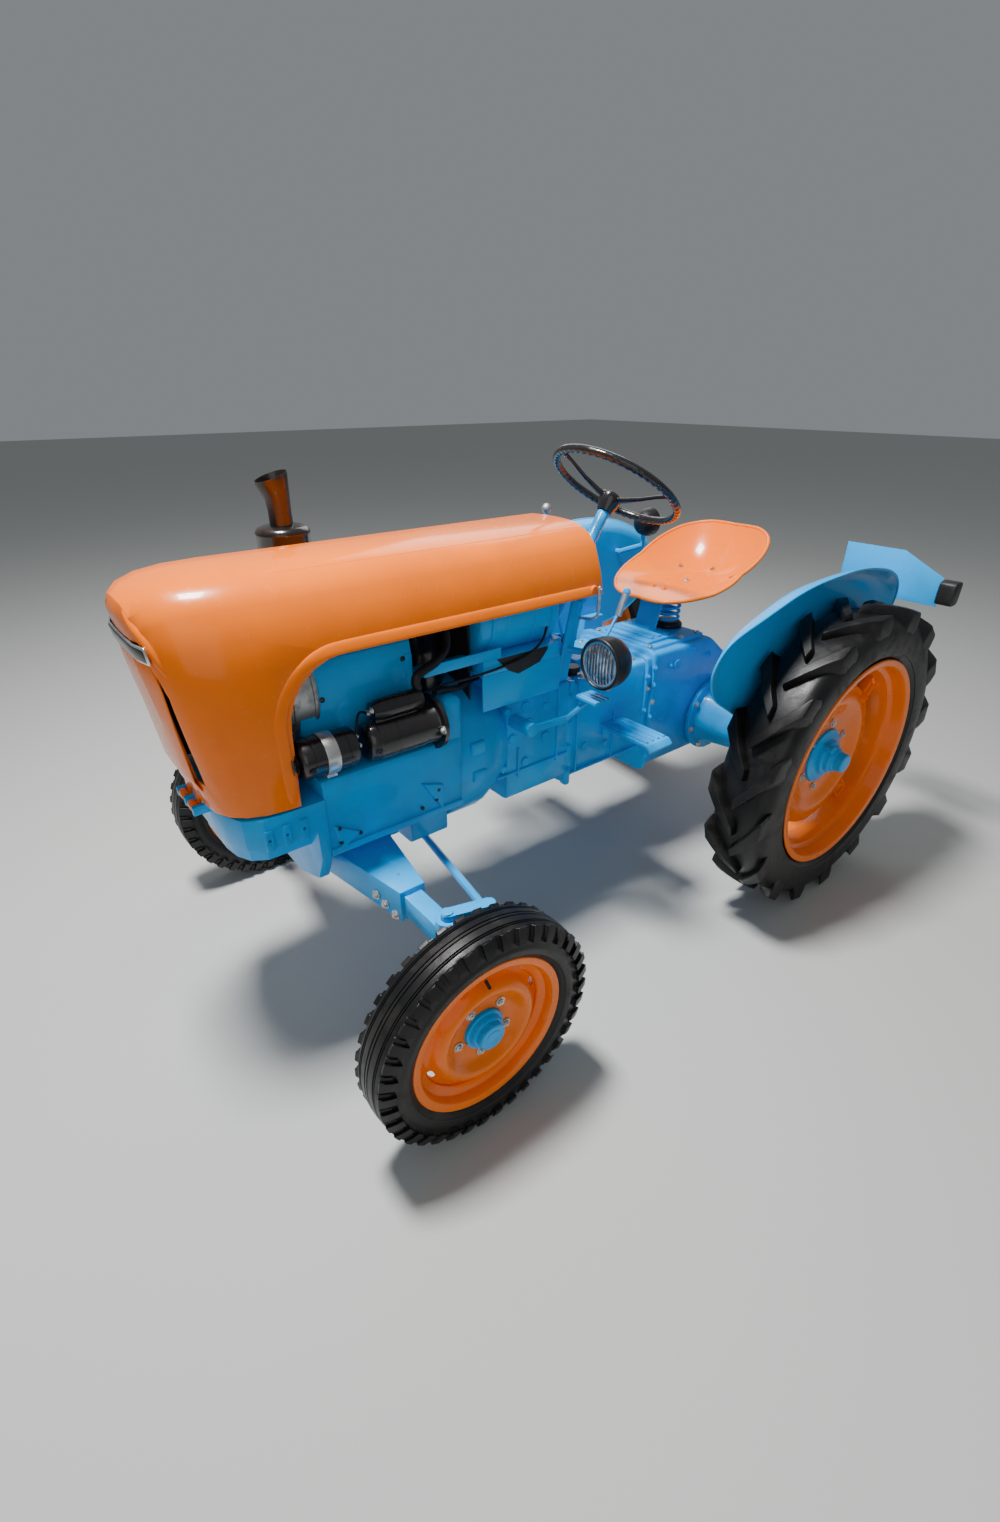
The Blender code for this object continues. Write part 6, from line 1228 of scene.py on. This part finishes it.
SEAT_MIDDLE, SEAT_FLOOR = 0.03, 1.0375
SEAT_LENGTH, SEAT_BREADTH = 0.265, 0.236
SEAT_RINGS = (1.0, 0.97, 0.92, 0.86, 0.79, 0.71, 0.62, 0.52, 0.42, 0.30, 0.16)
SEAT_FLAT_SHARE, SEAT_CURVE = 0.38, 2.1
SEAT_GAUGE, SEAT_BEAD = 0.0045, 0.0062
SEAT_CENTRE_REACH = 0.08        # the innermost ring lies within this
SEAT_STEPS = 96
SEAT_HOLES, SEAT_HOLE_RADIUS = ((-0.085, 0.120), (-0.130, 0.0), (-0.085, -0.120)), 0.0095
SPRING_X, COIL_RADIUS, COIL_WIRE = 0.11, 0.038, 0.0062
COIL_TURNS, COIL_STEPS = 5, 20
COIL_FOOT, COIL_HEAD = 0.0285, 0.0065
# Height of the pan's rim over its floor at places from its front edge to its back
SEAT_RISE = ((-0.235, 0.180), (-0.16, 0.155), (-0.08, 0.118), (0.0, 0.080), (0.08, 0.045), (0.16, 0.016),
             (0.24, -0.004), (0.295, -0.016))


def seat_rise(x):
    """Height of the pan's rim over its floor at a place."""
    for (first, low), (second, high) in zip(SEAT_RISE, SEAT_RISE[1:]):
        if x <= second:
            return low + (high - low) * max(0.0, x - first) / (second - first)
    return SEAT_RISE[-1][1]


def seat_point(turn, ring, lift=0.0):
    """A point of the pan, from its middle out to its rim."""
    along, across = cos(turn), sin(turn)
    stretch = 1 + 0.12 * abs(along * across) * 2
    narrow = 1 - 0.15 * max(along, 0) ** 2
    x = SEAT_MIDDLE + SEAT_LENGTH * along * ring * stretch
    y = SEAT_BREADTH * across * ring * stretch * narrow
    rim_x = SEAT_MIDDLE + SEAT_LENGTH * along * stretch
    climb = max(0.0, (ring - SEAT_FLAT_SHARE) / (1 - SEAT_FLAT_SHARE)) ** SEAT_CURVE
    return placed((x, y, SEAT_FLOOR + seat_rise(rim_x) * climb + lift))


def seat():
    """Deep pressed pan with a rolled bead round its rim and round drain holes."""
    turns = evenly(SEAT_STEPS)
    pan = lofted([[seat_point(turn, ring) for turn in turns] for ring in SEAT_RINGS], capped=False)
    floored(pan, placed((SEAT_MIDDLE, 0, SEAT_FLOOR)), SEAT_CENTRE_REACH)
    modified(pan, "SOLIDIFY", thickness=SEAT_GAUGE, offset=0.0)
    drill = [(-0.2, SEAT_HOLE_RADIUS), (0.2, SEAT_HOLE_RADIUS)]
    holes = united([turned(drill, UP, (x, y, 1.08), 20) for x, y in SEAT_HOLES])
    modified(pan, "BOOLEAN", operation="DIFFERENCE", object=holes)
    removed(holes)
    bead = []
    for index, turn in enumerate(turns):
        after = turns[(index + 1) % len(turns)]
        ahead = (seat_point(after, 1.0) - seat_point(turns[index - 1], 1.0)).normalized()
        aside = ahead.cross(Vector(UP)).normalized()
        bead.append(round_section(seat_point(turn, 1.0, -0.002), aside, aside.cross(ahead), SEAT_BEAD, 10))
    roll = hooped(bead)
    under = turned([(1.0240, 0.049), (1.0350, 0.049), (1.0360, 0.046)], UP, (SPRING_X, 0, 0), 32)
    lug = box((0.160, -0.050, 1.0085), (0.220, 0.050, 1.0345))
    return united([pan, roll, under, lug])


done(seat(), "seat_pan", orange_enamel, "tractor", ("seat",), 60.0)
done(hex_bolt(0.0100, UP, (0.028, 0.0, 1.0405), 0.5), "seat_bolt", zinc, "tractor")
done(bolts([(0.0080, UP, (0.190, y, 1.0385), 0.4) for y in (0.026, -0.026)]), "seat_lug_bolts",
     orange_enamel, "tractor")


def seat_coil():
    """Coil spring between its rubber base and the seat."""
    low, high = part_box("seat_spring")
    foot, head = low[2] + COIL_FOOT, high[2] - COIL_HEAD
    count = COIL_TURNS * COIL_STEPS
    sections = []
    for step in range(count + 1):
        turn = 2 * pi * step / COIL_STEPS
        out = Vector((cos(turn), sin(turn), 0))
        centre = placed((SPRING_X, 0, foot + (head - foot) * step / count)) + out * COIL_RADIUS
        sections.append(round_section(centre, out, Vector(UP), COIL_WIRE, 8))
    return lofted(sections)


def spring_base():
    """Stepped rubber foot of the spring."""
    return turned([(0.0, 0.0550), (0.006, 0.0560), (0.012, 0.0540), (0.020, 0.0460), (0.0235, 0.0440)], UP,
                  (SPRING_X, 0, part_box("seat_spring")[0][2]), 40)


done(seat_coil(), "seat_coil", blue_enamel, "tractor", ("seat_spring",), 60.0)
done(spring_base(), "spring_base", rubber, "tractor")


# Bell housing, engine and gearbox castings

# Blocks, each between two corners: the bell housing's pads and shoulder, the cast ribs of clutch housing and
# gearbox, and the flange where these two meet
BELL_PADS = (((1.178, 0.214, 0.757), (1.230, 0.2325, 0.796)),
             ((1.180, 0.224, 0.671), (1.230, 0.2395, 0.707)))
BELL_SHOULDER = ((1.262, 0.150, 0.760), (1.328, 0.2400, 0.962))
CAST_RIBS = (((0.846, 0.160, 0.600), (0.853, 0.1875, 0.868)),
             ((1.012, 0.160, 0.595), (1.019, 0.1875, 0.700)),
             ((0.800, 0.160, 0.612), (1.100, 0.1870, 0.620)),
             ((0.430, 0.150, 0.512), (0.780, 0.1735, 0.521)),
             ((0.560, 0.150, 0.516), (0.567, 0.1730, 0.700)),
             ((0.740, 0.150, 0.516), (0.747, 0.1730, 0.860)))
JOINT_FLANGE = ((0.775, 0.150, 0.480), (0.797, 0.1800, 0.866))
COWL_EDGE = ((1.372, 0.160, 0.852), (1.392, 0.1685, 1.085))
# Round bosses on the left side of the castings: place and radius
BOSSES = (((0.988, 0.18, 0.833), 0.017), ((1.058, 0.18, 0.835), 0.013), ((0.972, 0.18, 0.770), 0.020),
          ((1.040, 0.18, 0.738), 0.015), ((0.905, 0.18, 0.812), 0.013), ((0.900, 0.18, 0.705), 0.018),
          ((1.075, 0.18, 0.640), 0.013), ((0.985, 0.18, 0.640), 0.016), ((0.70, 0.165, 0.60), 0.016),
          ((0.60, 0.165, 0.58), 0.013), ((0.47, 0.165, 0.60), 0.015), ((0.25, 0.175, 0.80), 0.020))
BOSS_RISE = 0.006
REAR_SIDE, GEARBOX_SIDE, FLANGE_SIDE = 0.1752, 0.1792, 0.1892      # where bolt heads sit
SEAM_BOLTS = ([(0.388, FLANGE_SIDE, z) for z in (0.47, 0.56, 0.631, 0.756, 0.82)]
              + [(0.411, GEARBOX_SIDE, z) for z in (0.53, 0.66, 0.79)]
              + [(0.792, GEARBOX_SIDE, z) for z in (0.545, 0.635, 0.725, 0.815)]
              + [(x, REAR_SIDE, z) for x, z in ((0.162, 0.842), (0.286, 0.803), (0.060, 0.80), (0.30, 0.60),
                                                (0.30, 0.47))])
ZINC_BOLTS = ((0.404, GEARBOX_SIDE, 0.745), (0.383, FLANGE_SIDE, 0.690), (0.69, 0.1652, 0.79),
              (0.60, 0.1652, 0.79))
# Dark discs where the bosses have holes: painted shade for the holes' depth
BOSS_HOLES = ((1.6725, 0.254, 0.7008), (1.6725, 0.254, 0.6567), (1.6157, 0.254, 0.6650),
              (1.3646, 0.254, 0.7053), (1.3731, 0.254, 0.6754), (1.4200, 0.254, 0.6650))
COWL_SCREWS = ((1.6344, 0.166, 1.0208), (1.40, 0.166, 1.075), (1.40, 0.166, 0.90), (1.66, 0.166, 0.90))
TRUMPET_FACE, TRUMPET_BOLTS, TRUMPET_BOLT_TURN = 0.197, 8, radians(15)
TRUMPET_FALL, TRUMPET_LENGTH = 0.040, 0.378
LID_BOLTS = [(x, y, 0.8800) for x in (0.092, 0.190, 0.362) for y in (-0.125, 0.132)]
GEARBOX_TOP_BOLTS = [(x, y, 0.8505) for x in (0.45, 0.53, 0.70, 0.76) for y in (-0.13, 0.13)]


def bell_pads():
    """Two inspection pads with rounded corners on the bell housing's side."""
    return united([box(low, high, 0.0065, 3) for low, high in BELL_PADS])


def casting_ribs():
    """Low cast ribs that cross the clutch housing and the gearbox, and the flange where they meet."""
    return united([box(low, high) for low, high in CAST_RIBS] + [box(*JOINT_FLANGE, 0.005)])


def casting_bosses():
    """Low round bosses on the castings' left side."""
    bosses = []
    for place, radius in BOSSES:
        profile = [(-BOSS_RISE, radius), (BOSS_RISE * 0.7, radius * 0.97), (BOSS_RISE, radius * 0.88)]
        bosses.append(turned(profile, OUTWARD, place, 24))
    return united(bosses)


both(bell_pads(), "bell_pads", blue_casting, "tractor")
both(box(*BELL_SHOULDER, 0.022, 5), "bell_shoulder", blue_casting, "tractor")
both(casting_ribs(), "casting_ribs", blue_casting, "tractor")
both(casting_bosses(), "casting_bosses", blue_casting, "tractor")


def same_bolts(radius, axis, places, height=0.7):
    """Hexagon bolts of one size and direction."""
    return bolts([(radius, axis, place, height) for place in places])


both(same_bolts(0.0090, OUTWARD, SEAM_BOLTS), "casting_bolts", blue_casting, "tractor")
both(same_bolts(0.0080, OUTWARD, ZINC_BOLTS), "loose_bolts", zinc, "tractor")
trumpet_bolt = hex_bolt(0.0095, OUTWARD, (0.136, TRUMPET_FACE + 0.0005, REAR.z))
both(around(trumpet_bolt, evenly(TRUMPET_BOLTS, TRUMPET_BOLT_TURN), OUTWARD, (0, TRUMPET_FACE, REAR.z)),
     "trumpet_bolts", zinc, "tractor")


def trumpet_pad():
    """Raised pad with parallel ribs along the top of the axle trumpet."""
    pitch, slope = 0.018, atan2(TRUMPET_FALL, TRUMPET_LENGTH)
    plate = box((-0.045, 0.245, 0.610), (0.050, 0.420, 0.6535), 0.006, 3)
    ribs = [box((-0.036 + pitch * number, 0.252, 0.645), (-0.028 + pitch * number, 0.412, 0.6605), 0.0025)
            for number in range(5)]
    piece = united([plate] + ribs)
    spot = Matrix.Translation(placed((0, 0.245, 0.652)))
    piece.data.transform(spot @ Matrix.Rotation(-slope, 4, "X") @ spot.inverted())
    return piece


both(trumpet_pad(), "trumpet_pad", blue_casting, "tractor")


def studs(profile, places, sides):
    """Small round pieces of one profile on the left side."""
    return united([turned(profile, OUTWARD, place, sides) for place in places])


# dark discs for holes: painted shade
both(studs([(-0.004, 0.0055), (0.0005, 0.0055), (0.0008, 0.0045)], BOSS_HOLES, 16), "boss_holes_painted_shade", plastic,
     "tractor")
both(studs([(-0.003, 0.0075), (0.0018, 0.0070), (0.0030, 0.0045)], COWL_SCREWS, 18), "cowl_screws", black,
     "tractor")
both(box(*COWL_EDGE, 0.0025), "cowl_edge", blue_enamel, "tractor")


def final_drive_lid():
    """Final drive's lid with three cross ribs."""
    pitch = 0.040
    plate = box((0.205, -0.105, 0.874), (0.352, 0.115, 0.8905), 0.004, 3)
    ribs = [box((0.222 + pitch * number, -0.09, 0.885), (0.244 + pitch * number, 0.10, 0.8985), 0.004, 3)
            for number in range(3)]
    return united([plate] + ribs)


def oil_filler_cap():
    """Stepped cap on the gearbox."""
    return turned([(0.000, 0.022), (0.010, 0.021), (0.0110, 0.0300), (0.024, 0.0300), (0.0280, 0.0270),
                   (0.0290, 0.0120)], UP, (0.715, 0.095, 0.850), 32)


def selector_cover():
    """Gear lever's cover with its dome and a small plug beside it."""
    plate = box((0.560, -0.085, 0.846), (0.665, 0.065, 0.8750), 0.008, 3)
    dome = turned([(0.0, 0.028), (0.020, 0.026), (0.034, 0.016), (0.040, 0.010)],
                  UP, (0.61, -0.040, 0.872), 32)
    plug = turned([(0.0, 0.014), (0.016, 0.013), (0.030, 0.010)], UP, (0.61, 0.10, 0.850), 24)
    return united([plate, dome, plug])


def gear_lever_gaiter():
    """Folded rubber boot at the gear lever's foot."""
    return turned([(0.000, 0.0200), (0.006, 0.0210), (0.010, 0.0150), (0.016, 0.0165), (0.020, 0.0120),
                   (0.026, 0.0130), (0.030, 0.0085)], UP, (0.611, -0.042, 0.905), 24)


done(final_drive_lid(), "final_drive_lid", blue_casting, "tractor")
done(same_bolts(0.0075, UP, LID_BOLTS), "lid_bolts", zinc, "tractor")
done(same_bolts(0.0080, UP, GEARBOX_TOP_BOLTS), "gearbox_top_bolts", zinc, "tractor")
done(oil_filler_cap(), "oil_filler_cap", plastic, "tractor")
done(selector_cover(), "selector_cover", blue_casting, "tractor")
done(gear_lever_gaiter(), "gear_lever_gaiter", rubber, "tractor", smooth=60)


# Grip and knob of the levers

HAND_GRIP = ((0.5105, 0.10, 1.010), (0.4990, 0.10, 1.042), (0.4885, 0.10, 1.065), (0.4775, 0.10, 1.089))
KNOB = (0.63, -0.15, 1.335)

done(eased(piped(HAND_GRIP, 0.0115, 16), 0.003, 3, 50), "hand_lever_grip", aluminium, "tractor", smooth=60)
knob = turned([(-0.0165, 0.004), (-0.0150, 0.0085), (-0.0110, 0.0130), (-0.0040, 0.0160), (0.0030, 0.0163),
               (0.0100, 0.0135), (0.0145, 0.0085), (0.0162, 0.0030)], UP, KNOB, 28)
done(knob, "gear_lever_knob", aluminium, "tractor", smooth=60)


# Tray, hoses and wires beside the engine

INTAKE_HOSE = ((1.395, 0.226, 1.008), (1.400, 0.226, 1.030), (1.392, 0.225, 1.046), (1.365, 0.216, 1.052),
               (1.320, 0.200, 1.058), (1.270, 0.176, 1.080), (1.255, 0.150, 1.130), (1.255, 0.120, 1.190),
               (1.255, 0.090, 1.225))
# Wires beside the engine: route, radius and sides
WIRES = ((((1.5415, 0.216, 0.976), (1.560, 0.216, 0.985), (1.575, 0.225, 0.975), (1.588, 0.240, 0.945),
           (1.588, 0.240, 0.936)), 0.0032, 8),
         (((1.345, 0.226, 0.985), (1.300, 0.205, 0.975), (1.240, 0.185, 0.960), (1.190, 0.165, 0.960),
           (1.130, 0.150, 0.965)), 0.0085, 10),
         (((1.405, 0.200, 1.000), (1.38, 0.190, 0.975), (1.30, 0.196, 0.985), (1.20, 0.212, 0.992),
           (1.08, 0.2125, 1.000), (1.01, 0.2120, 1.012), (0.95, 0.205, 1.040), (0.91, 0.180, 1.070)),
          0.0038, 8))
# The opening in the tank frame's side, drawn as a thin dark sheet between two planes: painted shade for its
# inside
WINDOW = ((1.118, 1.020), (1.075, 0.978), (1.038, 0.960), (0.956, 0.978), (0.925, 1.012), (0.925, 1.020))
WINDOW_INSIDE, WINDOW_OUTSIDE = 0.2030, 0.2057
FRAME_PLATE = ((0.880, 0.150, 0.978), (1.165, 0.2040, 1.0225))
# A dark sheet just before the tank's front: painted shade for the dim inside of the hood between the cowl
# and the tank
PAINTED_SHADE_SCREEN = ((1.172, -0.150, 0.870), (1.178, 0.150, 1.235))


def engine_tray():
    """Angled sheet beside the engine, between the tank frame and the cowl."""
    return united([box((1.100, 0.196, 1.022), (1.360, 0.2035, 1.052), 0.002),
                   box((1.100, 0.120, 1.022), (1.360, 0.2000, 1.0265), 0.001)])


def air_cleaner():
    """Black canister between the cowl and the tank."""
    return turned([(0.870, 0.060), (0.874, 0.074), (0.885, 0.078), (1.130, 0.078), (1.134, 0.084),
                   (1.146, 0.084), (1.150, 0.078), (1.196, 0.074), (1.214, 0.060), (1.220, 0.030)],
                  UP, (1.265, 0.010, 0), 48)


both(engine_tray(), "engine_tray", blue_enamel, "tractor")
# the opening as a dark sheet: painted shade
both(lofted([[placed((x, y, z)) for x, z in WINDOW] for y in (WINDOW_INSIDE, WINDOW_OUTSIDE)]),
     "frame_window_painted_shade", plastic, "tractor")
both(box(*FRAME_PLATE, 0.002), "frame_upper_plate", blue_enamel, "tractor")
done(piped(INTAKE_HOSE, 0.0125, 14), "intake_hose_bent", rubber, "tractor", ("intake_hose",), 60.0)
done(united([piped(*wire) for wire in WIRES]), "engine_wires", rubber, "tractor", smooth=60)
done(air_cleaner(), "air_cleaner", black, "tractor", smooth=45)
# dark sheet before the tank: painted shade
done(box(*PAINTED_SHADE_SCREEN, 0.002), "tank_painted_shade_screen", plastic, "tractor")


# Front axle's bolts and the tail lamp's lens

AXLE_FACE = (0.985, 0.17, 0)
AXLE_BOLTS = ((1.6300, 0.3330, 0.5130), (1.6235, 0.3680, 0.5000), (1.6160, 0.4060, 0.4850))
AXLE_TOP_BOLTS = ((1.573, 0.360, 0.5640), (1.573, 0.410, 0.5500))
LENS_BACK, LENS_FRONT, LENS_SIDE, LENS_FAR_SIDE, LENS_EDGE = 0.004, 0.010, 0.008, 0.006, 0.010

both(same_bolts(0.0095, AXLE_FACE, AXLE_BOLTS, 0.8), "axle_bolts", zinc, "tractor")
both(same_bolts(0.0080, UP, AXLE_TOP_BOLTS, 0.6), "axle_top_bolts", zinc, "tractor")


def red_glass(name, colour):
    """Dark red moulded glass."""
    finish = Finish(name, None, colour, 0.12, coat=1.0)
    rings = finish.spread(finish.noise(70.0, 2.0), 0.3, 0.7)
    finish.put(finish.surface["Base Color"], finish.tinted(0.5, rings))
    finish.bumped(finish.noise(180.0), 0.0006, 0.4)
    return finish


def tail_lamp_lens():
    """Rounded lens that stands out behind the tail lamp's case."""
    near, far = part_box("tail_lamp")
    back = near[0] + MIDDLE
    return box((back - LENS_BACK, near[1] + LENS_SIDE, near[2] + LENS_EDGE),
               (back + LENS_FRONT, far[1] - LENS_FAR_SIDE, far[2] - LENS_EDGE), 0.006, 4)


ruby = red_glass("ruby_glass", (0.20, 0.004, 0.004))
done(tail_lamp_lens(), "tail_lamp_lens", ruby, "tractor")


# Solids that keep their shape, with their edges eased

SLOT_OF = {row["node"]: row["material_slot"] for row in frame["record"]["subparts"]}
BLUE_SHEET = {"tank_frame", "plate_bracket", "air_duct", "hood_frame", "gear_lever", "hand_lever"}
EDGE_EASE = 0.003

for node in sorted(set(NODES) - DRESSED):
    finish = blue_enamel if node in BLUE_SHEET else FINISH_OF_SLOT[SLOT_OF[node]]
    done(eased(copied(node), EDGE_EASE), "dressed_" + node, finish, BODY_OF[node], (node,), 38.0)


# Studio

FLOOR_SIZE, FLOOR_COLOUR, FLOOR_ROUGHNESS = 60, (0.50, 0.51, 0.49, 1.0), 0.85
AIR_COLOUR, AIR_STRENGTH = (0.90, 0.95, 1.0, 1.0), 0.25
# Lamps, all aimed at one spot over the middle: name, place, width and watts
LAMPS = (("key", (1.2, -0.3, 4.8), 0.8, 410), ("fill", (3.4, 4.2, 2.6), 4.2, 42),
         ("rim", (-2.6, -2.8, 3.4), 2.4, 40))
LAMP_AIM = (0, 0, 0.6)
# The photograph's camera: its focal length and its middle's rise in widths of the picture, its place, its
# heading and how far it looks down
FOCAL_SHARE, RISE_SHARE, SENSOR = 0.684085, 0.0315, 36.0
EYE = (1.526035, 1.666, 1.688)
HEADING, PITCH = radians(-128.265), radians(30.797)


def pointed(holder, place, direction):
    """Puts a lamp or camera in its place and turns it to look along a direction."""
    holder.location = place
    holder.rotation_mode = "QUATERNION"
    holder.rotation_quaternion = direction.to_track_quat("-Z", "Y")
    bpy.context.scene.collection.objects.link(holder)
    return holder


def pale_floor():
    """A plain floor that belongs to the stage."""
    deselect()
    bpy.ops.mesh.primitive_plane_add(size=FLOOR_SIZE)
    floor = bpy.context.object
    floor.name = "studio_floor"
    material = bpy.data.materials.new("pale_floor")
    material.use_nodes = True
    surface = material.node_tree.nodes["Principled BSDF"].inputs
    surface["Base Color"].default_value = FLOOR_COLOUR
    surface["Roughness"].default_value = FLOOR_ROUGHNESS
    floor.data.materials.append(material)


def soft_light():
    """Pale air and three broad lamps."""
    world = bpy.context.scene.world or bpy.data.worlds.new("studio_air")
    bpy.context.scene.world = world
    world.use_nodes = True
    air = world.node_tree.nodes["Background"].inputs
    air["Color"].default_value = AIR_COLOUR
    air["Strength"].default_value = AIR_STRENGTH
    for name, place, size, watts in LAMPS:
        lamp = bpy.data.lights.new(name, "AREA")
        lamp.energy = watts
        lamp.size = size
        pointed(bpy.data.objects.new(name, lamp), place, Vector(LAMP_AIM) - Vector(place))


def photo_view():
    """The photograph's camera."""
    lens = bpy.data.cameras.new("photo_view")
    lens.sensor_fit = "HORIZONTAL"
    lens.sensor_width = SENSOR
    lens.lens = FOCAL_SHARE * SENSOR
    lens.shift_y = RISE_SHARE
    ahead = Vector((cos(HEADING) * cos(PITCH), sin(HEADING) * cos(PITCH), -sin(PITCH)))
    bpy.context.scene.camera = pointed(bpy.data.objects.new("photo_view", lens), EYE, ahead)


pale_floor()
soft_light()
photo_view()
